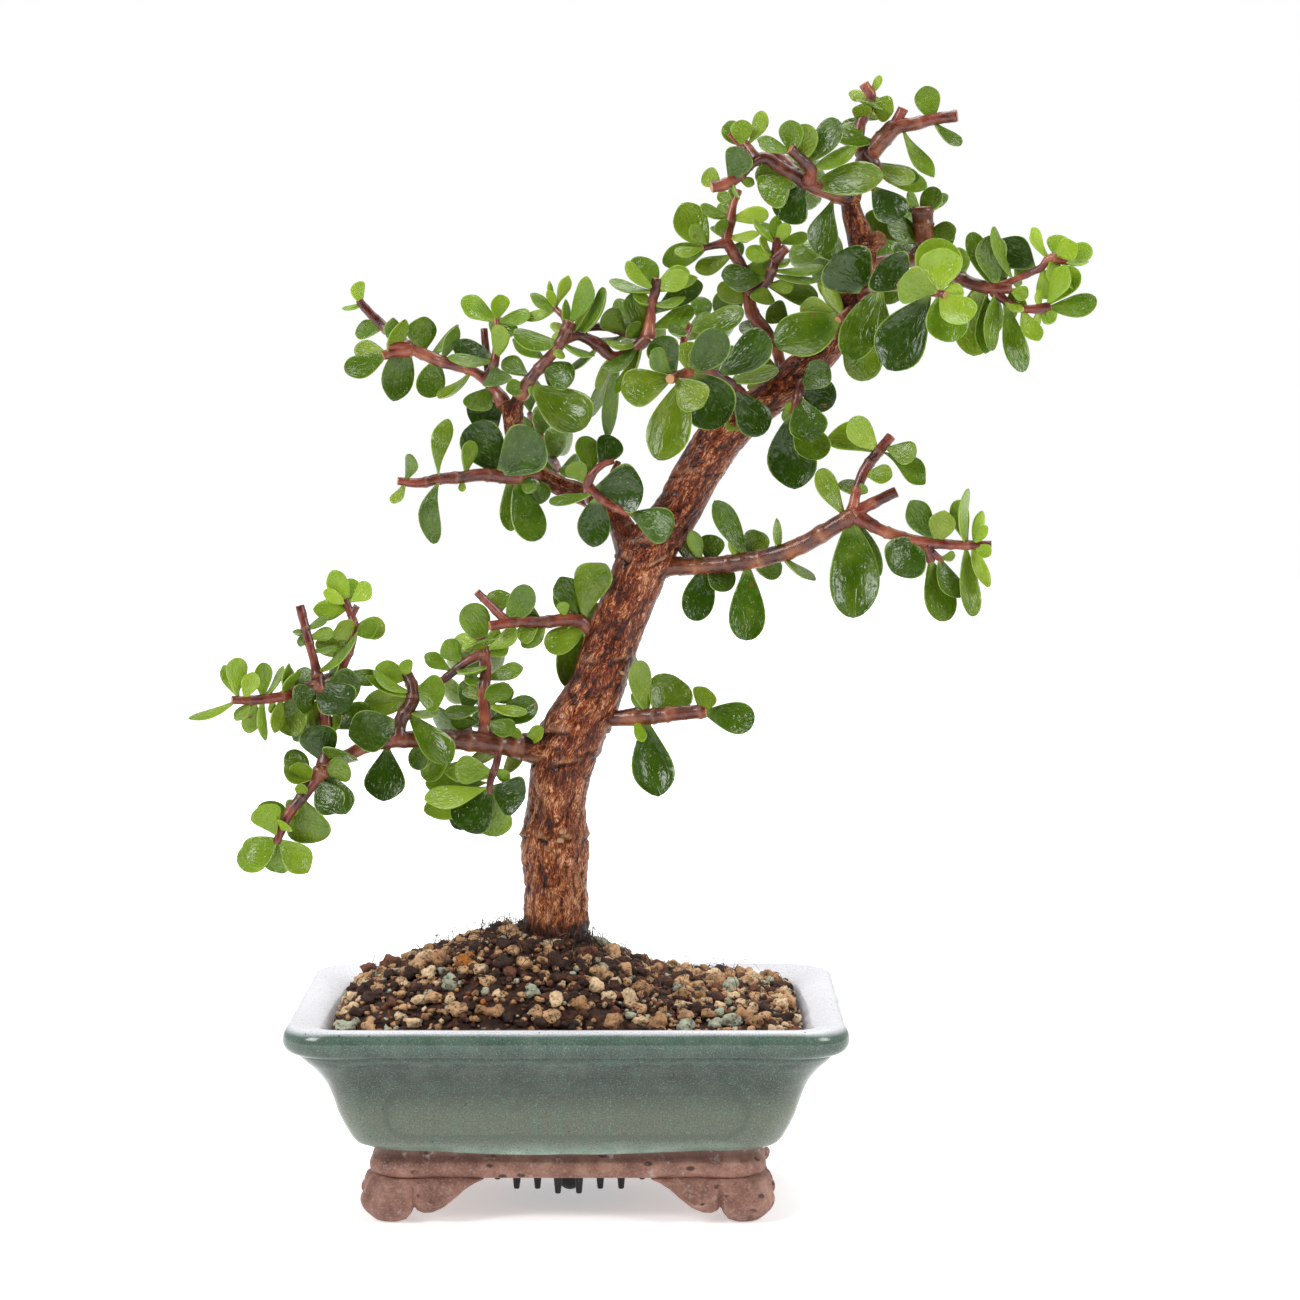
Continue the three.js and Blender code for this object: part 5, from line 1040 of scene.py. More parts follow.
# The tone note holds painted shade in the cracks and in the ring scars' grooves.
toned = add("Math", {0: tone, 1: 0.35, 2: fibres}, operation="MULTIPLY_ADD")[0]
mixed = add("Math", {0: patch, 1: 0.9, 2: toned}, operation="MULTIPLY_ADD")[0]
level = add("MapRange", {0: mixed, 1: 0.7, 2: 1.58})[0]
young = add("ValToRGB", {0: level}, stops=[
    (0.08, "#280e06"), (0.3, "#5e220c"), (0.5, "#8b3b16"), (0.7, "#b56132"), (0.92, "#eaac7e")])[0]
old = add("ValToRGB", {0: level}, stops=[
    (0.08, "#2a0e06"), (0.3, "#753210"), (0.5, "#ac5522"), (0.7, "#d07e45"), (0.92, "#fac89c")])[0]
older = add("MapRange", {0: age, 1: 0.55, 2: 0.95})[0]
aged = add("Mix", {0: older, 6: young, 7: old}, data_type="RGBA")[2]
grey_part = add("ValToRGB", {0: patch}, stops=[(0.55, 0.0), (0.75, 0.15)])[0]
greyed = add("Mix", {0: grey_part, 6: aged, 7: "#8c7650"}, data_type="RGBA")[2]
scar_part = add("Math", {0: scar, 1: 0.55}, operation="MULTIPLY")[0]
scarred = add("Mix", {0: scar_part, 6: greyed, 7: "#d8a97e"}, data_type="RGBA")[2]
ended = add("Mix", {0: cut, 6: scarred, 7: "#a56a3d"}, data_type="RGBA")[2]
wet = add("MapRange", {0: fine, 1: 0.2, 2: 0.8, 3: 0.35, 4: 0.6})[0]
skin = add("Bump", {"Strength": 1.0, "Distance": 0.0007, "Height": fibres})[0]
film = add("Mapping", {"Vector": wavy, "Scale": (1, 1, 0.5)})[0]
water = add("TexNoise", {"Vector": film, "Scale": 1000.0, "Detail": 2.0})[0]
wet_skin = add("Bump", {"Strength": 1.0, "Distance": 0.0006, "Height": water})[0]
finish_material(add, {
    "Base Color": ended, "Roughness": wet, "Specular IOR Level": 0.15, "Normal": skin,
    "Coat Weight": 0.4, "Coat Roughness": 0.05, "Coat IOR": 1.45, "Coat Normal": wet_skin})

parts = [stem_surface(TRUNK_ROUTES[0], TRUNK_SPACING, TRUNK_SIDES, bark_relief)]
parts += [stem_surface(route, LIMB_SPACING, LIMB_SIDES, limb_relief) for route in TRUNK_ROUTES[1:-2]]
parts.append(stem_surface(TRUNK_ROUTES[-1], LIMB_SPACING, LIMB_SIDES, bark_relief))
parts += [root_bud(*bud) for bud in ROOT_BUDS]
points, quads, tris, notes = merged_stems(parts)
trunk = new_object("trunk_and_limbs", points + pot_middle, [quads, tris], [bark], notes)
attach(trunk, "root")
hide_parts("trunk")


# ---------------------------------------------------------------------------
# Branches: glossy red-brown shoots with a ring at every pair of leaves, pruned square
# in places, and the fleshy leaves on them. Each branch is one piece of wood and one
# of foliage.

# A branch lists its stems, each a route like the trunk's with its leaves as [base u,
# base v, tip u, tip v, width, turn, lean, curl], widths in sheet units and angles in
# degrees. A turn rolls the blade about its midrib, and a lean brings its tip forward;
# either is 0 where it is left out. The curl is the tip's rise as a share of the length,
# and LEAF_CURL where it is left out. A stem with "pairs" gets its leaves by rule.
BRANCHES = [
  ["branch_low_left", [
    [[[566, 756, 0, 14], [533, 749, 3, 13], [500, 744, 6, 11.5], [470, 741, 8, 10.5], [440, 739, 10, 9.5],
      [400, 740, 13, 8], [370, 745, 16, 7], [345, 757, 19, 6.5], [322, 770, 22, 7]],
     [[430, 748, 414, 768, 26, 20, -20], [388, 744, 384, 800, 42, 0, 5], [520, 743, 549, 728, 16, 10, -10],
      [326, 764, 312, 722, 38, 0, 15], [332, 764, 354, 744, 38, 0, 30]]],
    [[[398, 742, 13, 7], [400, 722, 12, 7], [412, 702, 11, 7], [413, 690, 10, 6.5], [407, 674, 8, 5.5]],
     [[405, 678, 376, 668, 24, 10], [412, 693, 366, 688, 20, 50, 5], [411, 697, 364, 705, 27],
      [414, 690, 448, 692, 38, 0, 30], [412, 714, 450, 768, 33, 5, 5], [399, 722, 338, 738, 43, 0, 30]]],
    [[[324, 766, 22, 6.5], [328, 735, 20, 6], [322, 702, 18, 6], [319, 684, 17, 7], [315, 665, 16, 4.6],
      [308, 638, 15, 4.5], [300, 606, 14, 4.5]],
     [[313, 638, 296, 641, 13, 10], [313, 637, 334, 632, 14, 10], [309, 632, 292, 630, 9, 30],
      [310, 629, 330, 619, 10, 20], [314, 650, 338, 649, 10, 50], [320, 684, 352, 716, 42, 0, 20],
      [321, 672, 385, 663, 22, 50, 10], [322, 688, 296, 706, 31, 0, 40], [320, 696, 311, 735, 20, 40, 10],
      [320, 704, 288, 742, 25, 10, -15], [328, 735, 340, 712, 18, 50, 15]]],
    [[[318, 686, 17, 5.5], [300, 690, 18, 5.5], [283, 696, 20, 5], [257, 700, 22, 5], [232, 700, 24, 4]],
     [[233, 700, 191, 721, 15, 50, 5], [234, 699, 238, 657, 22, 10], [244, 699, 253, 665, 19, 15, 5],
      [252, 701, 237, 721, 18, 40, 5], [256, 701, 247, 732, 18, 10, -10], [263, 700, 263, 740, 16, 60],
      [262, 699, 278, 663, 18, 35], [282, 696, 285, 663, 16, 50], [291, 693, 298, 664, 14, 40, -5],
      [274, 698, 271, 714, 9, 10, 5], [283, 697, 273, 733, 18, 40]]],
    [[[320, 684, 16, 5.5], [338, 672, 13, 4.5], [348, 655, 11, 4.5], [352, 640, 10, 4.5],
      [354, 625, 9, 4.5], [350, 612, 8, 4], [345, 599, 8, 3.5]],
     [[349, 652, 337, 621, 20, 10, -5], [353, 633, 387, 628, 21, 10], [350, 608, 314, 610, 21, 10, 5],
      [345, 600, 315, 597, 15, 20, 5], [345, 599, 333, 571, 22], [347, 602, 373, 584, 22],
      [335, 674, 384, 675, 18, 10, -10]]],
    [[[352, 614, 8, 3.5], [357, 606, 8, 3]], []],
    [[[322, 770, 22, 6.5], [308, 790, 23, 6], [290, 812, 24, 5.5], [276, 843, 25, 4]],
     [[306, 790, 288, 745, 25, 10, -20], [312, 788, 300, 757, 27, 0, 10], [302, 797, 304, 776, 13, 0, 25],
      [316, 778, 343, 816, 33], [302, 798, 313, 845, 48, 0, -5], [278, 838, 262, 797, 32, 0, 5],
      [276, 842, 246, 861, 32, 0, 25], [276, 843, 239, 867, 30, 0, -10], [282, 832, 293, 816, 20, 0, 20],
      [276, 843, 308, 872, 31, 10, 5]]],
    [[[485, 744, 7, 6.5], [485, 715, 6, 6], [484, 690, 5, 6], [486, 668, 4, 6], [484, 650, 4, 5.5],
      [481, 638, 4, 4.5]],
     [[481, 650, 477, 629, 36, 0, 35], [482, 642, 470, 603, 31], [484, 656, 508, 646, 19, 0, 10],
      [484, 650, 520, 632, 19, 20], [486, 680, 524, 669, 18, 20, 15], [485, 680, 464, 681, 15, 20, 15],
      [484, 700, 464, 686, 23, 0, -20], [484, 706, 445, 716, 19, 40, 5], [485, 722, 450, 721, 19, 10, -12],
      [485, 706, 510, 681, 25], [485, 724, 538, 704, 28, 10, -5], [485, 704, 526, 724, 16, 60, 8],
      [485, 722, 521, 734, 20, 10, 5]]],
    [[[485, 652, 4, 5], [466, 662, 3, 4.5], [442, 681, 2, 4]],
     [[453, 672, 424, 655, 18, 20], [464, 664, 445, 641, 23, 10, 5], [466, 661, 458, 630, 19, 10, -10],
      [456, 671, 486, 690, 17, 55, 15]]],
    [[[499, 746, 7, 4.2], [496, 765, 8, 3.8], [490, 783, 9, 3.5], [490, 793, 9, 3.5]],
     [[490, 786, 461, 829, 44, 0, 10], [490, 786, 428, 814, 26, 20, -12], [491, 782, 417, 780, 28, 15, -16],
      [492, 778, 443, 770, 22, 10, -14], [494, 772, 455, 768, 29, 0, 12], [490, 785, 525, 798, 43, 0, 12],
      [490, 790, 496, 837, 38], [495, 770, 511, 779, 13, 20]]],
    [[[470, 741, 6, 5], [466, 720, -6, 4.5], [468, 697, -18, 4], [474, 672, -28, 3.2]], "pairs"],
  ]],
  ["branch_left_mid", [
    [[[612, 634, 0, 8], [592, 630, 1, 7.5], [580, 621, 2, 6.5], [565, 620, 3, 6.5], [545, 622, 4, 6],
      [515, 622, 6, 5.5], [490, 626, 8, 5]],
     [[584, 622, 561, 580, 28, 10, 4], [586, 622, 607, 556, 40, 10, 8], [508, 622, 530, 585, 27, 0, 5],
      [543, 622, 515, 598, 25, 10, 8], [541, 622, 520, 641, 20, 20, 10], [586, 628, 546, 652, 28, 10, -5],
      [574, 621, 568, 698, 34, 0, -15], [590, 628, 596, 597, 18, 0, -15],
      [565, 620, 563, 600, 13, 0, -12]]],
    [[[507, 622, 6, 4.5], [492, 607, 7, 4], [477, 592, 8, 4]], []],
  ]],
  ["branch_right_low", [
    [[[596, 718, 0, 8], [618, 718, 2, 8], [640, 717, 4, 9], [652, 716, 5, 8], [706, 711, 8, 7]],
     [[648, 712, 635, 660, 27, 30, 5], [656, 712, 682, 682, 46, 0, -25], [646, 714, 637, 690, 20, 0, -25],
      [703, 712, 715, 681, 27, 15, 8], [703, 712, 755, 722, 33, 10, 5], [646, 720, 657, 795, 43, 10, 5],
      [635, 709, 643, 743, 12, 10, 50]]],
  ]],
  ["branch_right_mid", [
    [[[662, 566, 0, 9], [700, 566, 3, 9], [735, 563, 6, 9], [775, 555, 9, 9], [800, 546, 11, 9],
      [835, 526, 14, 8.5], [855, 514, 15, 9]],
     [[708, 560, 729, 589, 31, 0, 20], [708, 570, 692, 621, 33, 10], [749, 568, 745, 642, 37, 5, 5],
      [748, 556, 713, 503, 27, 20, 5], [692, 562, 690, 527, 25, 0, -22], [708, 560, 711, 533, 27, 0, -22],
      [748, 558, 761, 527, 27, 0, -22], [752, 566, 785, 571, 25, 0, -22], [740, 558, 730, 537, 13, 20, -8],
      [780, 553, 774, 519, 15, 50, 15], [780, 555, 815, 578, 17, 55, 20], [847, 519, 816, 470, 25, 25, 5],
      [856, 526, 852, 620, 50, 0, 5], [866, 520, 880, 579, 26, 0, -14]]],
    [[[855, 513, 15, 6], [875, 502, 15, 5.5], [896, 492, 15, 5.5]], []],
    [[[853, 510, 15, 5], [857, 490, 14, 5], [865, 470, 13, 5.5], [878, 452, 12, 5.5], [891, 437, 11, 5.2]],
     [[876, 451, 828, 439, 31, 15, 5], [880, 452, 923, 485, 27, 15, 5], [862, 474, 895, 481, 21, 15, 12],
      [855, 495, 845, 476, 26, 0, -25], [857, 496, 866, 485, 12, 0, -15]]],
    [[[857, 517, 15, 7], [870, 524, 16, 6], [888, 533, 17, 6], [924, 542, 18, 5.5], [960, 545, 19, 5],
      [991, 545, 20, 4.2]],
     [[937, 540, 909, 502, 29, 10, 8], [937, 540, 944, 505, 27, 0, 8], [966, 545, 932, 491, 20, 45, 5],
      [972, 543, 996, 527, 12, 20, 5], [974, 543, 981, 511, 13, 20], [975, 546, 994, 560, 15, 0, 5],
      [975, 546, 985, 576, 12, 10], [920, 541, 890, 574, 46, 0, 22], [966, 547, 968, 618, 27, 35, 5]]],
    [[[926, 545, 18, 5], [931, 562, 18, 4.2]],
     [[935, 560, 943, 623, 33, 15, 5]]],
    [[[931, 552, 18, 3.5], [943, 561, 18, 3]],
     [[942, 560, 956, 556, 12]]],
  ]],
  ["branch_high_left", [
    [[[504, 404, -3, 6.5], [497, 393, -4, 6], [478, 374, -5, 5], [455, 366, -7, 5], [430, 357, -9, 6.5],
      [411, 348, -10, 6], [397, 338, -11, 5.5], [380, 323, -13, 5], [364, 307, -14, 4.5],
      [359, 300, -14, 3.5]],
     [[359, 300, 354, 282, 20, 20, 10], [359, 303, 341, 305, 10, 55], [384, 328, 350, 332, 24, 0, -15],
      [403, 346, 396, 400, 33, 15, 5], [424, 353, 424, 317, 32, 0, -12], [430, 356, 452, 321, 20, 55, 5],
      [436, 362, 424, 397, 29, 15, -5], [471, 371, 440, 401, 22, 60, 5], [491, 386, 473, 412, 33, 10, 25]]],
    [[[411, 350, -10, 6], [392, 353, -9, 5], [383, 356, -8, 4]],
     [[385, 355, 397, 315, 21, 45, 10], [384, 356, 346, 375, 28, 25, 12], [385, 355, 352, 348, 22, 0, -8]]],
    [[[410, 346, -10, 5], [388, 346, -8, 4.5]], []],
    [[[486, 381, -4, 5], [492, 370, -3, 5], [495, 360, -2, 4.5], [497, 340, -4, 3.5], [496, 316, -6, 3]],
     [[494, 318, 457, 302, 21, 10, 5], [496, 318, 500, 292, 21, 0, 5], [497, 319, 531, 315, 18, 25, 5],
      [498, 342, 508, 317, 30, 0, -35], [494, 358, 454, 344, 22, 0, -20], [494, 361, 447, 361, 20, 45, 12],
      [495, 361, 508, 325, 21, 35, 12], [494, 364, 500, 392, 31, 0, 55]]],
    [[[489, 376, -6, 4], [486, 350, -9, 4], [484, 329, -10, 3.5]], []],
  ]],
  ["branch_high_left_low", [
    [[[538, 474, -1, 7], [515, 477, 2, 7.5], [500, 476, 4, 7], [480, 475, 6, 6.5], [462, 477, 8, 6],
      [440, 479, 10, 6], [418, 483, 11, 5], [398, 481, 12, 4]],
     [[438, 476, 456, 421, 27, 42, 5, -0.2], [441, 483, 440, 544, 28, 38, 5, -0.16],
      [405, 482, 415, 456, 20, 35, 30], [405, 483, 391, 501, 15, 40, 25], [466, 474, 470, 440, 22, 45, -10],
      [463, 482, 462, 492, 8], [506, 474, 472, 428, 44, 0, -22], [495, 480, 540, 433, 52, 0, 20],
      [516, 480, 534, 544, 35, 20, 10], [528, 477, 546, 500, 25, 0, -18]]],
  ]],
  ["branch_high_left_inner", [
    [[[592, 500, 1, 6], [588, 484, 7, 5], [594, 472, 8, 4], [604, 464, 8, 3.4], [614, 461, 8, 2.6]],
     [[586, 486, 575, 467, 24, 0, 40], [592, 476, 583, 436, 25, 20, -15],
      [598, 469, 613, 434, 29, 10, -10]]],
    [[[588, 486, 6.4, 4.5], [606, 503, 9, 3.8], [630, 514, 9, 3.4]],
     [[588, 492, 645, 488, 51, 0, 12], [630, 513, 673, 534, 37, 0, 15], [596, 498, 593, 545, 33, 0, -12],
      [590, 498, 549, 505, 14, 30, 8]]],
  ]],
  ["branch_middle", [
    [[[520, 396, 0, 6.5], [525, 387, 1, 6.5], [533, 376, 2, 6], [545, 362, 3, 5.5], [556, 350, 4, 5.5],
      [563, 338, 4, 6], [570, 322, 4, 6.8]],
     [[530, 376, 502, 357, 23, 20, -20], [557, 342, 512, 335, 25, 35, 8], [545, 358, 513, 340, 19, 20, -15],
      [543, 365, 573, 385, 29, 0, 15], [536, 376, 562, 397, 20, 50, -5], [533, 380, 526, 395, 10, 50, -15],
      [562, 343, 595, 350, 20, 40, 12], [559, 347, 556, 365, 12, 20, 10], [564, 334, 560, 312, 17, 30, -25],
      [529, 384, 588, 431, 50, 14, 16], [560, 342, 549, 324, 12, 0, -30]]],
    [[[568, 330, 3, 4], [563, 316, -2, 3.5], [552, 306, -4, 3]],
     [[553, 307, 530, 296, 16, 35, 10], [553, 307, 567, 276, 16, 35, 5], [549, 304, 545, 284, 7, 30, -15],
      [553, 308, 520, 308, 13, 55, -10]]],
    [[[565, 338, 3, 5], [580, 336, 2, 4.5], [592, 341, 1, 6], [602, 348, 1, 7.5], [612, 356, 1, 5],
      [630, 352, 1, 4.5], [648, 338, 1, 7.5]],
     [[573, 336, 598, 280, 23, 30, -8], [576, 335, 594, 300, 24, 20, -15], [581, 335, 621, 297, 22, 50, 12],
      [570, 336, 564, 300, 12, 40, -14], [614, 357, 607, 395, 17, 50], [642, 344, 612, 392, 25, 45, 12],
      [640, 344, 604, 353, 21, 25, 6], [596, 350, 565, 364, 13, 50, -10],
      [636, 350, 622, 440, 24, 50, -15]]],
    [[[574, 334, 0, 4], [590, 327, -3, 4.5], [610, 328, -4, 4], [628, 335, -3, 3.5], [646, 338, 0, 4.5]],
     [[628, 336, 603, 312, 27, 0, 8], [642, 338, 634, 296, 25, 10, 18], [626, 336, 589, 338, 16, 55],
      [640, 338, 614, 292, 23, 0, -22], [642, 337, 624, 322, 21, 0, 8]]],
    [[[648, 338, 1, 7], [650, 322, 1, 5], [652, 305, 1, 4.5], [655, 292, 2, 5], [657, 279, 2, 5.3]],
     [[653, 290, 634, 257, 35, 0, 5], [653, 291, 609, 277, 18, 50, -10], [656, 287, 692, 277, 22, 0, 10],
      [655, 292, 697, 279, 18, 50, -12], [653, 305, 637, 292, 16, 45, 22], [654, 305, 682, 294, 16, 50, 22],
      [653, 315, 703, 284, 29, 30, -10]]],
    [[[645, 338, 0, 4], [641, 332, -11, 3.8], [634, 322, -22, 3]], "pairs"],
  ]],
  ["branch_centre", [
    [[[752, 408, 1, 6], [735, 388, 8, 6], [712, 374, 13, 5.5], [690, 373, 19, 5], [679, 375, 24, 5],
      [670, 379, 30, 5]],
     [[716, 376, 772, 336, 38, 10, 5], [690, 374, 725, 332, 36, 0, 18], [676, 375, 655, 338, 34, 0, 12],
      [672, 378, 622, 394, 39, 0, 12], [675, 379, 703, 409, 36, 0, 25], [689, 371, 720, 428, 54],
      [686, 381, 655, 461, 44, 5, -10], [730, 384, 764, 434, 37, 0, -8],
      [726, 380, 779, 370, 22, 40, -20]]],
    [[[692, 373, 17, 4.5], [685, 358, 12, 4], [684, 340, 8, 3.5], [690, 326, 6, 3]],
     [[688, 330, 667, 337, 27, 20, 10], [690, 327, 745, 312, 26, 20, 5],
      [690, 328, 712, 307, 20, 30, -20]]],
  ]],
  ["branch_upright", [
    [[[783, 392, -3, 5.5], [781, 370, -6, 5.5], [777, 350, -8, 5.5], [765, 330, -9, 6.5], [752, 312, -9, 7],
      [748, 290, -9, 6.5], [744, 272, -9, 6], [735, 255, -8, 6], [727, 240, -8, 5.5], [730, 222, -9, 5.5],
      [733, 206, -9, 3.8], [739, 190, -9, 3]],
     [[733, 254, 696, 271, 21, 20, -8], [731, 218, 697, 212, 17, 35, 10], [733, 204, 718, 192, 17, 0, 5],
      [732, 220, 769, 214, 18], [729, 238, 713, 223, 21, 10, -12], [728, 237, 759, 238, 17, 45, 22],
      [733, 246, 748, 251, 15, 0, -10], [736, 204, 732, 186, 10, 50, 10], [746, 282, 716, 312, 31, 0, -22],
      [750, 300, 716, 292, 22, 10, -20], [744, 268, 776, 262, 24, 20, 12]]],
    [[[727, 243, -8, 4.8], [715, 245, -7, 3.8], [703, 248, -6, 3.5]],
     [[704, 248, 684, 229, 16, 30, 12], [704, 248, 673, 264, 16, 30, 12], [704, 247, 664, 262, 25, 0, -10],
      [698, 247, 683, 204, 35, 0, -12]]],
    [[[749, 292, -9, 5.5], [765, 284, -7, 5], [772, 270, -6, 5], [775, 256, -6, 5], [777, 238, -6, 4]],
     [[768, 278, 721, 279, 31, 20, 16], [772, 258, 748, 248, 16, 45, 5], [777, 240, 745, 227, 16, 30, 5],
      [777, 239, 807, 230, 13, 25, 5], [777, 237, 776, 216, 14], [772, 270, 824, 269, 17, 45],
      [771, 274, 819, 279, 14, 50, 12], [766, 284, 794, 287, 16, 0, -12],
      [764, 286, 818, 298, 24, 0, -15]]],
    [[[774, 260, -6, 5], [786, 248, -5, 5]], []],
    [[[777, 352, -8, 4.5], [785, 338, -12, 4], [792, 318, -15, 3.2]],
     [[792, 322, 768, 308, 27, 0, -10], [788, 332, 812, 326, 24, 0, -10]]],
  ]],
  ["branch_limb_front", [
    [[[862, 300, 0, 6], [866, 292, 8, 5], [884, 287, 11, 5], [906, 287, 14, 4.5], [930, 292, 17, 4],
      [945, 295, 20, 4]],
     [[864, 292, 838, 252, 58, 0, 12], [882, 288, 848, 362, 39, 10, 4], [906, 287, 882, 262, 52, 0, -4],
      [932, 293, 888, 368, 53, 0, -2], [942, 294, 896, 284, 41, 0, 22], [946, 296, 943, 249, 42, 0, 4],
      [945, 295, 967, 329, 39, 0, 12], [930, 296, 884, 338, 24, 30, 12], [940, 294, 951, 342, 45, 0, -12],
      [930, 292, 942, 238, 48, 0, -12]]],
  ]],
  ["branch_limb_side", [
    [[[850, 308, 0, 4.6], [848, 312, 7, 4.2], [838, 320, 10, 4]],
     [[838, 320, 775, 349, 50, 20, 10], [842, 314, 823, 276, 16, 0, -6]]],
  ]],
  ["branch_limb_under", [
    [[[804, 372, 2, 5.5], [800, 388, 8, 5], [796, 402, 10, 4.4], [793, 414, 10, 4]],
     [[800, 386, 835, 402, 34, 0, -12], [799, 394, 813, 452, 39, 0, 14], [795, 408, 818, 466, 36, 10],
      [793, 412, 795, 486, 50, 0, -10], [794, 400, 786, 412, 10]]],
  ]],
  ["branch_crown_left", [
    [[[848, 196, 0, 8], [835, 194, 2, 8], [815, 187, 3, 7.5], [798, 178, 4, 7], [780, 167, 4, 6],
      [765, 158, 4, 6.5], [750, 163, 5, 6.5], [738, 176, 6, 6.5], [726, 184, 7, 6], [712, 187, 8, 5.5]],
     [[728, 182, 746, 148, 31, 10, 8], [720, 185, 705, 170, 21, 0, -8], [740, 182, 754, 184, 11, 0, -8],
      [734, 182, 732, 203, 10, 45, 8], [796, 176, 758, 201, 39, 0, 12], [804, 183, 784, 223, 38],
      [834, 198, 817, 257, 34, 10, 8], [812, 184, 886, 183, 34, 10, 14]]],
    [[[808, 182, 5, 6], [811, 170, 8, 6], [802, 160, 10, 5.5], [790, 149, 12, 5.2]],
     [[806, 165, 839, 120, 29, 20], [793, 152, 755, 144, 17, 20, 8], [793, 151, 790, 121, 25],
      [812, 168, 857, 154, 19, 20, -14]]],
    [[[797, 174, 3, 4.5], [782, 159, 0, 5], [768, 154, -1, 5.5]], []],
    [[[757, 160, 5, 5], [750, 150, 4, 4.5], [744, 142, 3, 4]],
     [[744, 144, 728, 120, 21, 20, 5], [744, 144, 765, 112, 19, 25, 5]]],
    [[[747, 150, 4, 3], [736, 142, 3, 2.6], [729, 134, 3, 2.6]], []],
    [[[822, 189, 2, 5], [814, 190, -10, 4.5], [806, 186, -22, 4], [796, 180, -32, 3]], "pairs"],
  ]],
  ["branch_crown_top", [
    [[[863, 172, -2, 8.5], [870, 155, -2, 9], [884, 138, -2, 9], [895, 127, -2, 8.5], [915, 124, -1, 6],
      [935, 119, 0, 6], [957, 116, 1, 6]],
     [[880, 140, 830, 147, 26, 30], [932, 119, 925, 87, 26], [932, 121, 962, 142, 19, 35, 20],
      [902, 128, 931, 178, 23, 30], [866, 160, 913, 187, 25, 25, 20], [868, 160, 920, 178, 23, 20, 2],
      [872, 168, 928, 184, 22, 10, -10]]],
    [[[894, 128, -2, 5.5], [903, 109, -2, 5]], []],
    [[[868, 160, -3, 7], [859, 145, -5, 6.5], [860, 125, -6, 6], [868, 107, -6, 5.5], [871, 96, -6, 5],
      [864, 84, -6, 5.5]],
     [[870, 100, 864, 117, 29, 0, 45], [870, 100, 889, 110, 29, 0, 40], [869, 98, 847, 90, 13, 0, -10],
      [869, 96, 881, 76, 10, 30, -8], [862, 122, 842, 140, 24, 25, 10]]],
    [[[870, 155, -1, 5], [877, 168, 6, 4.6], [870, 190, 6, 4.2]],
     [[870, 188, 898, 224, 37, 10, 12]]],
  ]],
  ["branch_crown_right", [
    [[[862, 264, -3, 7], [885, 262, -8, 7], [908, 260, -10, 8], [924, 250, -10, 10], [923, 228, -10, 11],
      [922, 208, -10, 11]],
     [[920, 214, 941, 186, 17, 35, 8], [920, 214, 903, 196, 17, 35, 8], [924, 214, 935, 204, 9, 20, -8],
      [924, 236, 958, 240, 30, 0, -10], [918, 246, 868, 212, 28, 0, -22], [918, 240, 886, 226, 28, 20, 12],
      [912, 256, 892, 234, 20, 0, -20]]],
    [[[922, 256, -10, 8], [945, 270, -9, 7], [965, 281, -7, 6.5], [990, 288, -5, 6.5], [1001, 289, -4, 5],
      [1011, 288, -4, 5]],
     [[975, 286, 972, 350, 34, 0, -16], [998, 290, 986, 352, 23, 40, 6], [998, 284, 984, 235, 33, 10, 8],
      [996, 284, 963, 237, 23, 30, -10], [966, 282, 930, 250, 40, 0, -25]]],
    [[[998, 288, -5, 4.5], [1012, 281, -5, 3.5], [1028, 274, -5, 3.3], [1042, 267, -4, 3.8],
      [1048, 259, -4, 4], [1057, 257, -3, 5]],
     [[1037, 269, 1002, 240, 35, 0, -8], [1047, 259, 1024, 231, 16, 25, 6],
      [1050, 258, 1033, 229, 17, 20, -5], [1052, 257, 1083, 243, 25, 0, 6],
      [1053, 259, 1057, 286, 21, 0, 15], [1042, 268, 1057, 297, 29, 0, -12],
      [1012, 281, 1027, 282, 13, 0, -12]]],
    [[[1054, 259, -3, 3.4], [1068, 263, -3, 3]],
     [[1065, 262, 1092, 248, 21], [1067, 262, 1070, 293, 17, 35, 10], [1068, 263, 1090, 276, 11, 30, -6]]],
    [[[994, 291, -5, 5], [1003, 299, -4, 4.3], [1018, 308, -3, 3.8], [1035, 309, -3, 4.5],
      [1050, 307, -3, 6]],
     [[1006, 302, 1021, 373, 27, 20, -4], [1003, 300, 1019, 321, 13, 30, 12],
      [1022, 308, 1037, 342, 23, 20, 10], [1028, 308, 1009, 291, 17, 0, -6],
      [1040, 309, 1037, 289, 11, 30, 6], [1050, 307, 1079, 268, 24, 20], [1050, 307, 1097, 302, 25, 10, 6],
      [1046, 309, 1056, 323, 15, 0, 6], [1040, 310, 1040, 331, 10, 20, -6]]],
  ]],
  ["branch_back_left", [
    [[[562, 488, -4, 6], [558, 472, -15, 5.2], [548, 452, -27, 4.6], [538, 432, -38, 4],
      [530, 414, -47, 3.2]], "pairs"],
  ]],
  ["branch_back_crown", [
    [[[850, 296, -4, 6], [856, 280, -16, 5.2], [866, 262, -28, 4.6], [882, 246, -40, 4],
      [897, 236, -49, 3.2]], "pairs"],
    [[[858, 276, -20, 4], [842, 268, -30, 3.6], [826, 262, -40, 3]], "pairs"],
  ]],
  ["branch_back_centre", [
    [[[738, 408, -4, 5.5], [724, 392, -20, 5], [712, 368, -31, 4.5], [704, 344, -42, 4],
      [700, 326, -50, 3]], "pairs"],
  ]],
  ["branch_back_low", [
    [[[600, 676, -4, 6], [604, 664, -16, 5], [600, 650, -28, 4.4], [592, 634, -40, 3.6]], "pairs"],
  ]],
]

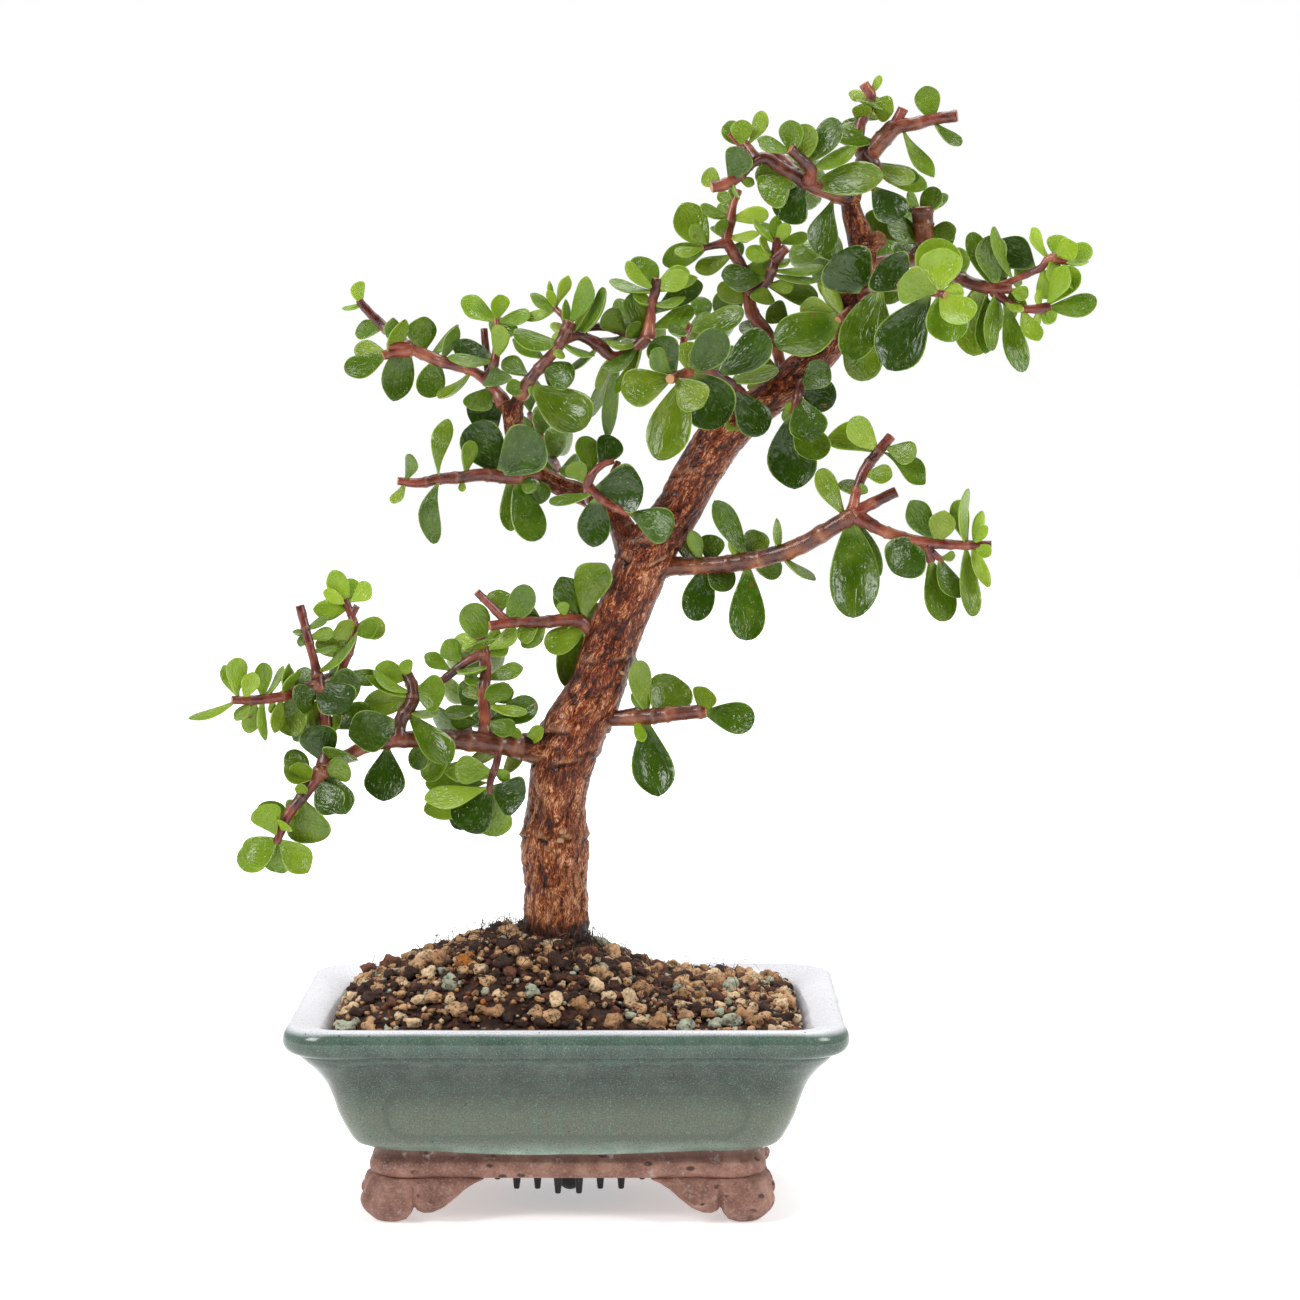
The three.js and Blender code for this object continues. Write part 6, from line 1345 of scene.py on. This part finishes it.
TWIG_SPACING, TWIG_SIDES = 0.75, 16
JOINT_SPACING = 6.0
# Pairs of leaves in sheet units: the step from one to the next, and a leaf's size.
PAIR_STEP = 34
PAIR_LENGTH, PAIR_WIDTH = 38, 27
# A leaf's foot stays this far from the end of its stem, in sheet units.
END_ROOM = 5
LEAF_CURL = 0.08
LEAF_SIDES, LEAF_ROWS = 10, 8
# A blade whose wave starts later than this, about four in ten, has a longer tip.
LONG_TIP_PHASE = 3.8
# The blades are drawn wider by what the rounding of their mesh takes off.
LEAF_ROUNDING = 1.12
# Tilts and rolls in degrees that a leaf tries, in turn, to clear its neighbours.
SETTLING = [
    [0, 0], [8, 0], [-8, 0], [0, 16], [0, -16], [16, 0], [-16, 0], [12, 18], [-12, 18], [12, -18],
    [-12, -18], [24, 0], [-24, 0], [20, 30], [-20, 30], [20, -30], [-20, -30], [34, 0], [-34, 0],
]
# Where the shoots are young and yellow-green: u, v, reach on the sheet and how much.
YOUNG_SHOOTS = [
    (354, 292, 26, 1.0), (490, 302, 38, 0.8), (1052, 262, 44, 0.9), (776, 226, 38, 0.8),
    (985, 530, 34, 0.7), (636, 724, 22, 1.0), (952, 290, 34, 0.9), (655, 262, 34, 0.5), (346, 590, 34, 0.7),
    (262, 838, 44, 0.6), (412, 690, 30, 0.5), (1030, 310, 34, 0.6), (878, 84, 26, 0.5), (470, 640, 36, 0.5),
    (240, 690, 40, 0.35), (850, 440, 34, 0.4), (495, 800, 60, 0.45), (560, 310, 34, 0.45),
    (690, 215, 36, 0.35), (750, 130, 30, 0.3),
]
# Leaves drawn a darker green: the middle of each blade, how near it, and what their
# chance is then.
DARK_LEAVES = [
    (851, 272), (894, 275), (910, 330), (706, 403), (747, 409), (616, 490), (594, 521), (817, 394),
    (794, 449), (386, 772), (475, 807), (507, 791), (1019, 254), (794, 203), (884, 206), (336, 700),
    (474, 351), (605, 451), (700, 596),
]
DARK_REACH = 8
DARK_CHANCE = -0.6
# Leaves bent like a sickle: the place of the tip, and the bend as a share of the width.
BENT_LEAVES = {(456, 421): -0.6, (440, 544): 0.7, (828, 439): 0.35, (923, 485): -0.3, (540, 433): 0.08,
               (607, 556): -0.32}
# Smaller leaves among the listed ones, each on the stem that its base lies nearest to.
MORE_LEAVES = [
    [744, 144, 742, 118, 22, 0, 10], [787, 149, 758, 140, 22, 15], [806, 158, 806, 124, 26, 10, 5],
    [868, 118, 838, 134, 24, 10], [872, 124, 884, 95, 26, 5, 5], [868, 126, 862, 100, 20, 5, 5],
    [795, 168, 754, 172, 28, 20, 5], [731, 214, 716, 202, 16], [722, 236, 712, 222, 18, 10],
    [730, 236, 752, 228, 12, 40], [775, 240, 762, 216, 16, 10], [778, 240, 790, 222, 14],
    [770, 255, 745, 252, 18], [775, 268, 790, 258, 12, 30], [775, 290, 760, 308, 26, 10],
    [832, 322, 800, 302, 30, 10, -5], [838, 296, 818, 284, 14], [770, 335, 738, 320, 28, 10, -10],
    [884, 256, 890, 304, 34, 0, -10], [885, 300, 878, 345, 30, 0, -20], [860, 320, 868, 375, 40, 0, -25],
    [918, 208, 938, 188, 22, 15], [918, 208, 902, 196, 14, 40], [932, 238, 957, 232, 22, 10],
    [960, 278, 958, 250, 30, 0, -20], [1000, 250, 965, 236, 16, 30], [1002, 282, 996, 250, 30, 10],
    [1012, 272, 1028, 262, 20], [1058, 258, 1062, 232, 26, 5], [1070, 262, 1088, 274, 10, 30],
    [1056, 300, 1082, 272, 28, 15], [1042, 312, 1056, 322, 16], [945, 300, 965, 290, 20, 10],
    [994, 298, 1000, 340, 16, 0, -10], [985, 296, 984, 350, 22, 0, -15], [1010, 290, 1028, 300, 18, 10],
    [1000, 305, 1020, 318, 16, 10], [975, 300, 975, 352, 44, 0, -15], [648, 288, 612, 274, 18, 25],
    [660, 286, 690, 272, 24, 10], [660, 330, 695, 310, 22, 25, -5], [668, 372, 640, 352, 24, 15],
    [775, 375, 755, 360, 20], [640, 345, 615, 392, 22, 30], [630, 400, 622, 440, 18, 30],
    [742, 404, 728, 430, 26, 0, -20], [775, 375, 745, 388, 16], [795, 405, 782, 422, 14],
    [806, 392, 830, 368, 30, 10, -5], [690, 375, 690, 340, 26], [345, 590, 352, 574, 18],
    [345, 598, 316, 598, 14, 20], [352, 640, 335, 620, 26, 10], [350, 655, 316, 644, 22, 25],
    [352, 628, 386, 630, 24, 15], [325, 672, 345, 655, 22, 30], [240, 697, 226, 662, 18, 20],
    [262, 694, 262, 662, 20, 30], [285, 690, 282, 662, 16, 30], [316, 684, 292, 668, 26, 15],
    [308, 700, 286, 735, 34, 10, -10], [325, 690, 360, 684, 36, 5, -10], [330, 725, 372, 705, 28, 20, -15],
    [405, 697, 362, 687, 14, 40], [325, 775, 355, 770, 28, 10], [330, 778, 345, 813, 34, 10, -5],
    [318, 776, 284, 772, 34, 15, -15], [298, 800, 283, 812, 18, 10, -15], [278, 836, 264, 800, 34, 5],
    [270, 845, 238, 860, 24, 20, -10], [278, 842, 278, 876, 30, 5, -5], [503, 612, 500, 586, 26, 5],
    [478, 645, 452, 632, 20, 20], [490, 640, 500, 630, 14], [545, 620, 520, 645, 20, 20],
    [410, 672, 398, 658, 16, 20], [490, 700, 514, 688, 24, 10], [412, 714, 440, 722, 22, 30],
    [583, 610, 560, 578, 30, 10], [440, 748, 405, 765, 26, 20, -10], [452, 768, 422, 780, 24, 20, -10],
    [500, 752, 462, 760, 26, 30, -20], [512, 750, 515, 775, 30, 20, -20], [455, 795, 428, 812, 30, 10, -15],
    [470, 800, 445, 830, 34, 10, -15], [510, 735, 522, 724, 14], [388, 345, 392, 318, 18, 15],
    [445, 352, 450, 322, 16, 30], [495, 315, 462, 298, 24, 10], [497, 315, 530, 312, 14],
    [553, 305, 546, 286, 10], [574, 320, 596, 284, 22, 15], [545, 365, 570, 385, 28],
    [507, 432, 472, 424, 44, 5, -10], [515, 378, 502, 392, 18], [508, 485, 512, 530, 24, 20, -10],
    [520, 482, 540, 497, 18, 10], [580, 455, 555, 460, 14, 20], [872, 446, 845, 420, 28, 10],
    [888, 452, 918, 462, 26, 10], [968, 540, 955, 500, 22, 20], [938, 562, 956, 600, 26, 10],
    [972, 552, 985, 590, 16, 20], [700, 545, 690, 528, 16],
]


def seeded(seed):
    """A generator of repeatable numbers from 0 to 1: each state is the last one times
    1664525 plus 1013904223, kept to 32 bits."""
    while True:
        seed = (seed * 1664525 + 1013904223) & 0xFFFFFFFF
        yield seed / 4294967296


def turned_about(vector, axis, degrees):
    """The vector turned about a unit axis: its share along the axis stays, and the rest
    turns by the angle."""
    angle = np.radians(degrees)
    level = axis * (vector @ axis)
    return level + (vector - level) * np.cos(angle) + np.cross(axis, vector) * np.sin(angle)


def nearest_on_route(route, u, v):
    """The point of the route nearest to (u, v), with its depth, a little short of the
    stem's end."""
    route = np.array(route, float)[:, :3]
    start, step = route[:-1], np.diff(route, axis=0)
    length = np.hypot(step[:, 0], step[:, 1])
    along = (u - start[:, 0]) * step[:, 0] + (v - start[:, 1]) * step[:, 1]
    limit = np.ones(len(length))
    limit[-1] = max(0, 1 - END_ROOM / length[-1])
    spots = start + np.clip(along / length ** 2, 0, limit)[:, None] * step
    return spots[np.argmin(np.hypot(spots[:, 0] - u, spots[:, 1] - v))]


def drawn_leaf(route, u0, v0, u1, v1, width, turn=0, lean=0, curl=LEAF_CURL):
    """A leaf that stands on its stem's middle line and reaches for the drawn tip."""
    spot = nearest_on_route(route, u0, v0)
    root, unit = off_sheet(spot)
    right, up = u1 - spot[0], spot[1] - v1
    along = SHEET_RIGHT * right * unit + SHEET_UP * up * unit
    along = along + TO_EYE * np.hypot(right, up) * unit * np.tan(np.radians(lean))
    length = np.linalg.norm(along)
    along = along / length
    face = unit_vector(TO_EYE - along * (TO_EYE @ along))
    side = np.cross(along, face)
    upward = -1 if side @ SHEET_UP + 0.35 * side @ SHEET_RIGHT < 0 else 1
    return {"root": root, "along": along, "face": turned_about(face, along, upward * turn), "drawn": True,
            "length": length, "width": width * unit, "curl": curl, "bow": BENT_LEAVES.get((u1, v1)),
            "spot": ((spot[0] + u1) / 2, (spot[1] + v1) / 2)}


def nearest_stem(u, v):
    """The branch and the route whose middle line passes nearest to (u, v)."""
    stems = [(branch, route) for branch, stems in BRANCHES for route, listed in stems if listed != "pairs"]
    return min(stems, key=lambda stem: np.hypot(*(nearest_on_route(stem[1], u, v)[:2] - (u, v))))


def paired_leaves(route, random):
    """Pairs that cross one another up the stem, at 0.25 to 0.99 of its length."""
    knots, unit = off_sheet(route)
    trail = curve_through(knots, np.linspace(0, 1, 201))
    length = np.linalg.norm(np.diff(trail, axis=0), axis=1).sum()
    count = max(2, int(length / (PAIR_STEP * unit[0])))
    leaves = []
    for pair in range(count + 1):
        t = min(0.99, 0.25 + 0.75 * pair / count)
        root, before, after = curve_through(knots, [t, t - 1e-4, t + 1e-4])
        stem = unit_vector(after - before)
        level = unit_vector(np.cross(stem, (0, 0, 1)))
        twist = (pair % 2) * 90 + np.degrees(0.5 * (next(random) - 0.5))
        level = turned_about(level, stem, twist)
        for sign in (-1, 1):
            size = unit[0] * (0.8 + 0.35 * next(random))
            along = unit_vector(level * sign + stem * (0.5 + 0.4 * next(random)))
            face = unit_vector(stem - along * (stem @ along))
            leaves.append({
                "root": root, "along": along, "face": face, "drawn": False, "spot": None, "bow": None,
                "length": PAIR_LENGTH * size, "width": PAIR_WIDTH * size, "curl": LEAF_CURL})
    return leaves


def half_width(leaf, t):
    """Half width of a blade at the share t of its length, as the settling measures it."""
    swelling = np.minimum(1, 0.2 + 1.6 * t)
    return 0.5 * leaf["width"] * swelling * np.sqrt(np.maximum(0, 1 - np.maximum(0, (t - 0.7) / 0.31) ** 2))


# Where a blade is probed: shares of its length, and of its half width.
PROBE_T = np.repeat([0.32, 0.45, 0.6, 0.75, 0.92], 3)
PROBE_SIDE = np.tile([-0.8, 0, 0.8], 5)


def blade_points(leaf):
    """Fifteen places on the blade, at which the settling looks for what it meets."""
    side = np.cross(leaf["along"], leaf["face"])
    points = leaf["root"] + leaf["along"] * (PROBE_T * leaf["length"])[:, None]
    return points + side * (PROBE_SIDE * half_width(leaf, PROBE_T))[:, None]


def points_in_blade(points, leaf):
    """How many of the points lie in a leaf's blade or at its skin."""
    offset = points - leaf["root"]
    t = offset @ leaf["along"] / leaf["length"]
    near = np.abs(offset @ leaf["face"]) < 0.11 * leaf["width"] + 0.5
    wide = np.abs(offset @ np.cross(leaf["along"], leaf["face"])) < half_width(leaf, t) + 0.3
    return np.count_nonzero(near & (t > 0.12) & (t < 1.03) & wide)


def points_in_rods(points, rods):
    """How many of the points lie in a stem, which is a row of short round rods."""
    start, end, radius = rods
    rod = end - start
    offset = points[:, None] - start
    t = np.clip((offset * rod).sum(-1) / (rod * rod).sum(-1), 0, 1)
    gap = np.linalg.norm(offset - t[..., None] * rod, axis=-1)
    return np.count_nonzero(gap < radius + 0.6)


def tilted(leaf, tilt, roll):
    """The leaf tipped by the tilt about its crossways axis, then rolled about its midrib."""
    side = np.cross(leaf["along"], leaf["face"])
    along = turned_about(leaf["along"], side, tilt)
    face = turned_about(turned_about(leaf["face"], side, tilt), along, roll)
    return {**leaf, "along": along, "face": face}


def settled_leaves(leaves, rods):
    """Large leaves keep their place. Each later one takes the first tilt and roll that is
    clear of the leaves and stems already there, or the one that touches least."""
    placed = []
    for leaf in sorted(leaves, key=lambda leaf: -leaf["width"]):
        close = [other for other in placed
                 if np.linalg.norm(other["root"] - leaf["root"]) < other["length"] + leaf["length"]]
        by = np.linalg.norm(rods[0] - leaf["root"], axis=1) < leaf["length"] + 12
        best = None
        for tilt, roll in SETTLING:
            trial = tilted(leaf, tilt, roll)
            points = blade_points(trial)
            hits = points_in_rods(points, [part[by] for part in rods])
            hits += sum(points_in_blade(points, other) for other in close)
            hits += sum(points_in_blade(other["points"], trial) for other in close)
            if best is None or hits < best["hits"]:
                best = {**trial, "points": points, "hits": hits}
            if hits == 0:
                break
        if best["drawn"] or best["hits"] == 0:
            placed.append(best)
    return placed


def rods_of(routes):
    """Start, end and radius of every straight piece of the routes."""
    starts, ends, radii = [], [], []
    for route in routes:
        points, unit = off_sheet(route)
        radius = np.array(route, float)[:, 3]
        starts.append(points[:-1])
        ends.append(points[1:])
        radii.append(0.5 * (radius[:-1] + radius[1:]) * unit[:-1])
    return np.concatenate(starts), np.concatenate(ends), np.concatenate(radii)


def twig_relief(spots, wrap, radius, passed):
    """Skin of a shoot: a low ring at every joint, a collar at its foot, faint creases."""
    shift = spots[0, 0, 0] * 0.37
    phase = (passed / JOINT_SPACING + shift + 0.3 * np.sin(0.37 * passed + 9 * shift)) % 1
    ring = np.exp(-((phase - 0.5) * JOINT_SPACING / 0.55) ** 2)[:, None]
    collar = 0.3 * radius[:, None] * np.exp(-(passed[:, None] / (1.2 * radius[0] + 0.6)) ** 2)
    relief = collar + 0.14 * radius[:, None] * ring + 0.07 * radius[:, None] * lumps(wrap, 1.6, 51)
    relief = relief + 0.05 * lumps(wrap * (1, 1, 0.25), 0.6, 52)
    thin = np.exp(-((phase - 0.5) * JOINT_SPACING / 0.22) ** 2)[:, None]
    return relief, {"scar": thin, "age": np.clip(radius / 2.6, 0, 1)[:, None]}


def leaf_surface(leaf, shape):
    """One fleshy leaf. Its half width is a power of sin(pi t^p) along the blade, a half
    for round ends and more for pointed ones. Its section is a rounded box, thickest in
    the middle; the rims are raised, a shallow fold follows the midrib, some blades are
    shut along it like a V, and the tip curls forward."""
    t = (1 - np.cos(np.pi * np.arange(1, LEAF_ROWS) / LEAF_ROWS)) / 2
    angle = np.arange(LEAF_SIDES) / LEAF_SIDES * 2 * np.pi
    across = np.sign(np.cos(angle)) * np.abs(np.cos(angle)) ** 0.85
    upward = np.sign(np.sin(angle)) * np.abs(np.sin(angle)) ** 0.75
    half = LEAF_ROUNDING * 0.5 * leaf["width"] * np.sin(np.pi * t ** shape["power"]) ** shape["ends"]
    thick = max(0.75, 0.08 * leaf["width"]) * shape["flesh"]
    flesh = thick * np.sin(np.pi * np.clip(t, 0.02, 0.98) ** 0.8) ** 0.4
    side = np.cross(leaf["along"], leaf["face"])
    bow = shape["bow"] * leaf["width"] * np.sin(np.pi * t)
    arch = leaf["curl"] * leaf["length"] * t * (4 * t - 3)
    cup = shape["cup"] * half[:, None] * (across ** 2 - 0.35)
    cup = cup + shape["shut"] * half[:, None] * (np.abs(across) - 0.5)
    fold = -0.3 * thick * np.exp(-(across / 0.3) ** 2) * (upward > 0) * np.sin(np.pi * t)[:, None]
    wave = shape["wave"] * half[:, None] * np.abs(across) * np.sin(7 * t + shape["phase"])[:, None] * across
    lift = cup + fold + wave + upward * flesh[:, None] * (1 - 0.35 * across ** 2) + arch[:, None]
    rings = (leaf["root"] + leaf["along"] * (t * leaf["length"])[:, None, None]
             + side * (across * half[:, None] + bow[:, None])[..., None] + leaf["face"] * lift[..., None])
    tip_arch = leaf["curl"] * leaf["length"]
    reach = 1.004 + 0.05 * (shape["phase"] > LONG_TIP_PHASE)
    tip = leaf["root"] + leaf["along"] * leaf["length"] * reach + leaf["face"] * tip_arch
    points = np.concatenate([rings.reshape(-1, 3), [leaf["root"], tip]])
    grid = (LEAF_ROWS - 1, LEAF_SIDES)
    whole = np.ones(grid)
    notes = {
        "across": np.append((whole * across).ravel(), [0, 0]),
        "along": np.append((whole * t[:, None]).ravel(), [0, 1]),
        "upper": np.append((whole * upward).ravel(), [0, 0]),
    }
    for key in ("youth", "chance", "wet"):
        notes[key] = np.full(len(points), shape[key])
    return points, grid_faces(*grid), end_fans(*grid), notes


# Skin of a succulent shoot: smooth and half glossy, dark wine-red on thin shoots and
# brown on thick ones, with a pale ring at each joint; a fresh cut shows tan wood.
twig_skin, add, place = new_material("jade_shoot_skin")
age, scar, cut = (add("Attribute", attribute_name=name)["Fac"] for name in ("age", "scar", "cut"))
patch = add("TexNoise", {"Vector": place, "Scale": 120.0, "Detail": 4.0})[0]
along_stem = add("Attribute", attribute_name="grain")["Vector"]
drawn_out = add("Mapping", {"Vector": along_stem, "Scale": (1, 1, 0.3)})[0]
fine = add("TexNoise", {"Vector": drawn_out, "Scale": 1100.0, "Detail": 4.0, "Roughness": 0.65})[0]
thin = add("ValToRGB", {0: patch}, stops=[
    (0.3, "#2d0c0a"), (0.46, "#571b15"), (0.6, "#863829"), (0.74, "#b06848")])[0]
thick = add("ValToRGB", {0: patch}, stops=[(0.3, "#2b1009"), (0.5, "#582613"), (0.7, "#8d4f2b")])[0]
grown = add("MapRange", {0: age, 1: 0.5, 2: 0.95})[0]
both = add("Mix", {0: grown, 6: thin, 7: thick}, data_type="RGBA")[2]
mottle = add("ValToRGB", {0: fine}, stops=[(0.5, 0.0), (0.72, 0.3)])[0]
mottled = add("Mix", {0: mottle, 6: both, 7: "#a8714f"}, data_type="RGBA")[2]
ringed_part = add("Math", {0: scar, 1: 0.3}, operation="MULTIPLY")[0]
ringed = add("Mix", {0: ringed_part, 6: mottled, 7: "#b98d6b"}, data_type="RGBA")[2]
ended = add("Mix", {0: cut, 6: ringed, 7: "#bf8a5a"}, data_type="RGBA")[2]
wet = add("MapRange", {0: fine, 1: 0.35, 2: 0.65, 3: 0.2, 4: 0.45})[0]
skin = add("Bump", {"Strength": 0.8, "Distance": 0.0004, "Height": fine})[0]
finish_material(add, {"Base Color": ended, "Roughness": wet, "IOR": 1.45, "Normal": skin,
                      "Coat Weight": 0.4, "Coat Roughness": 0.06})

# Succulent leaf: a thick waxy cuticle over watery green flesh. Light passes a little
# way in, the gloss is broad where the wax is dry and sharp where water lies, the rim
# is paler, a faint grey bloom and tiny white pores lie on the upper face, and beads of
# water of about a millimetre stand on the wet ones.
leaf_skin, add, place = new_material("waxy_succulent_leaf")
youth, chance, wetness, across, along, upper = (
    add("Attribute", attribute_name=name)["Fac"]
    for name in ("youth", "chance", "wet", "across", "along", "upper"))
cloud = add("TexNoise", {"Vector": place, "Scale": 130.0, "Detail": 4.0, "Roughness": 0.55})[0]
fine = add("TexNoise", {"Vector": place, "Scale": 700.0, "Detail": 3.0})[0]
faint = add("MapRange", {0: cloud, 1: 0.25, 2: 0.75, 3: 0.38, 4: 0.62})[0]
shift = add("Math", {0: chance, 1: 0.35, 2: faint}, operation="MULTIPLY_ADD")[0]
level = add("MapRange", {0: shift, 1: 0.35, 2: 1.0})[0]
grown = add("ValToRGB", {0: level}, stops=[
    (0.0, "#2a4304"), (0.3, "#3f5c09"), (0.6, "#627814"), (1.0, "#8c9c2a")])[0]
fresh = add("ValToRGB", {0: level}, stops=[(0.0, "#75981c"), (0.5, "#98b62c"), (1.0, "#bccd48")])[0]
green = add("Mix", {0: youth, 6: grown, 7: fresh}, data_type="RGBA")[2]
edge = add("Math", {0: across}, operation="ABSOLUTE")[0]
rim = add("MapRange", {0: edge, 1: 0.87, 2: 0.99, 4: 0.7}, interpolation_type="SMOOTHSTEP")[0]
rimmed = add("Mix", {0: rim, 6: green, 7: "#a3bc5c"}, data_type="RGBA")[2]
foot = add("MapRange", {0: along, 1: 0.0, 2: 0.22, 3: 0.6, 4: 0.0}, interpolation_type="SMOOTHSTEP")[0]
footed = add("Mix", {0: foot, 6: rimmed, 7: "#a9c05f"}, data_type="RGBA")[2]
below = add("MapRange", {0: upper, 1: 0.1, 2: -0.5, 4: 0.35})[0]
under = add("Mix", {0: below, 6: footed, 7: "#6f8c3c"}, data_type="RGBA")[2]
grey = add("ValToRGB", {0: fine}, stops=[(0.54, 0.0), (0.8, 0.18)])[0]
bloom = add("Mix", {0: grey, 6: under, 7: "#a3b084"}, data_type="RGBA")[2]
pores = add("TexVoronoi", {"Vector": place, "Scale": 620.0})["Distance"]
pore = add("ValToRGB", {0: pores}, stops=[(0.06, 0.3), (0.12, 0.0)])[0]
speckled = add("Mix", {0: pore, 6: bloom, 7: "#d5e3bd"}, data_type="RGBA")[2]
brown = add("TexVoronoi", {"Vector": place, "Scale": 95.0})["Distance"]
spot = add("ValToRGB", {0: brown}, stops=[(0.045, 0.7), (0.075, 0.0)])[0]
spotted = add("Mix", {0: spot, 6: speckled, 7: "#7a4a24"}, data_type="RGBA")[2]
dry = add("MapRange", {0: cloud, 1: 0.35, 2: 0.65, 3: 0.15, 4: 0.32})[0]
sharp = add("Math", {0: wetness, 1: -0.09, 2: dry}, operation="MULTIPLY_ADD")[0]
blade = add("CombineXYZ", {0: across, 1: along, 2: chance})[0]
unrolled = add("Mapping", {"Vector": blade, "Scale": (2.2, 3.4, 90)})[0]
wrinkle = add("TexNoise", {"Vector": unrolled, "Scale": 1.4, "Detail": 1.0, "Distortion": 1.5})[0]
ripple = add("TexNoise", {"Vector": place, "Scale": 420.0, "Detail": 2.0})[0]
skin = add("Bump", {"Strength": 0.3, "Distance": 0.0005, "Height": ripple})[0]
skin = add("Bump", {"Strength": 0.35, "Distance": 0.0012, "Height": wrinkle, "Normal": skin})[0]
beads = add("TexVoronoi", {"Vector": place, "Scale": 430.0})["Distance"]
bead = add("ValToRGB", {0: beads}, stops=[(0.0, 1.0), (0.22, 0.0)])[0]
soaked = add("MapRange", {0: wetness, 1: 0.25, 2: 0.9})[0]
beaded = add("Math", {0: bead, 1: soaked}, operation="MULTIPLY")[0]
skin = add("Bump", {"Strength": 0.6, "Distance": 0.0004, "Height": beaded, "Normal": skin})[0]
finish_material(add, {
    "Base Color": spotted, "Roughness": sharp, "IOR": 1.4, "Normal": skin, "Coat Weight": 0.1,
    "Coat Roughness": 0.1, "Subsurface Weight": 0.12, "Subsurface Radius": (0.5, 1.0, 0.2),
    "Subsurface Scale": 0.0012})

random = seeded(7)
leaves = []
for branch, stems in BRANCHES:
    for route, listed in stems:
        if listed == "pairs":
            grown = paired_leaves(route, random)
        else:
            grown = [drawn_leaf(route, *leaf) for leaf in listed]
        leaves += [{**leaf, "branch": branch} for leaf in grown]
for leaf in MORE_LEAVES:
    branch, route = nearest_stem(*leaf[:2])
    leaves.append({**drawn_leaf(route, *leaf), "branch": branch})
rods = rods_of(TRUNK_ROUTES + [route for branch, stems in BRANCHES for route, listed in stems])
leaves = settled_leaves(leaves, rods)

draw = np.random.default_rng(12)
for leaf in leaves:
    young = np.clip((10 - leaf["width"]) / 14, 0, 0.4)
    dark = False
    if leaf["spot"] is not None:
        u, v = leaf["spot"]
        dark = min(np.hypot(u - du, v - dv) for du, dv in DARK_LEAVES) < DARK_REACH
        young += max(much * np.exp(-(np.hypot(u - su, v - sv) / reach) ** 4)
                     for su, sv, reach, much in YOUNG_SHOOTS)
    leaf["shape"] = {
        "power": draw.uniform(1.35, 2.3), "flesh": draw.uniform(0.9, 1.25), "bow": draw.uniform(-0.08, 0.08),
        "cup": draw.uniform(-0.12, 0.42), "wave": draw.uniform(0, 0.12), "phase": draw.uniform(0, 6.28),
        "ends": draw.choice([0.46, 0.52, 0.6, 0.78], p=[0.35, 0.35, 0.2, 0.1]),
        "shut": draw.choice([0.0, 0.25, 0.6], p=[0.7, 0.18, 0.12]),
        "youth": min(1, young), "chance": draw.uniform(-0.35, 0.75),
        "wet": draw.random() ** 2 * smooth_step(leaf["width"], 4, 9),
    }
    if leaf["bow"] is not None:
        leaf["shape"]["bow"] = leaf["bow"]
    if dark:
        leaf["shape"].update(chance=DARK_CHANCE, youth=0)

for branch, stems in BRANCHES:
    parts = [stem_surface(route, TWIG_SPACING, TWIG_SIDES, twig_relief) for route, listed in stems]
    points, quads, tris, notes = merged_stems(parts)
    shoots = new_object(branch + "_shoots", points + pot_middle, [quads, tris], [twig_skin], notes)
    parts = [leaf_surface(leaf, leaf["shape"]) for leaf in leaves if leaf["branch"] == branch]
    points, quads, tris, notes = merged_stems(parts)
    foliage = new_object(branch + "_leaves", points + pot_middle, [quads, tris], [leaf_skin], notes)
    foliage.modifiers.new("rounded", "SUBSURF").levels = 1
    foliage.modifiers["rounded"].render_levels = 1
    for piece in (shoots, foliage):
        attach(piece, "root")
        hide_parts(branch)
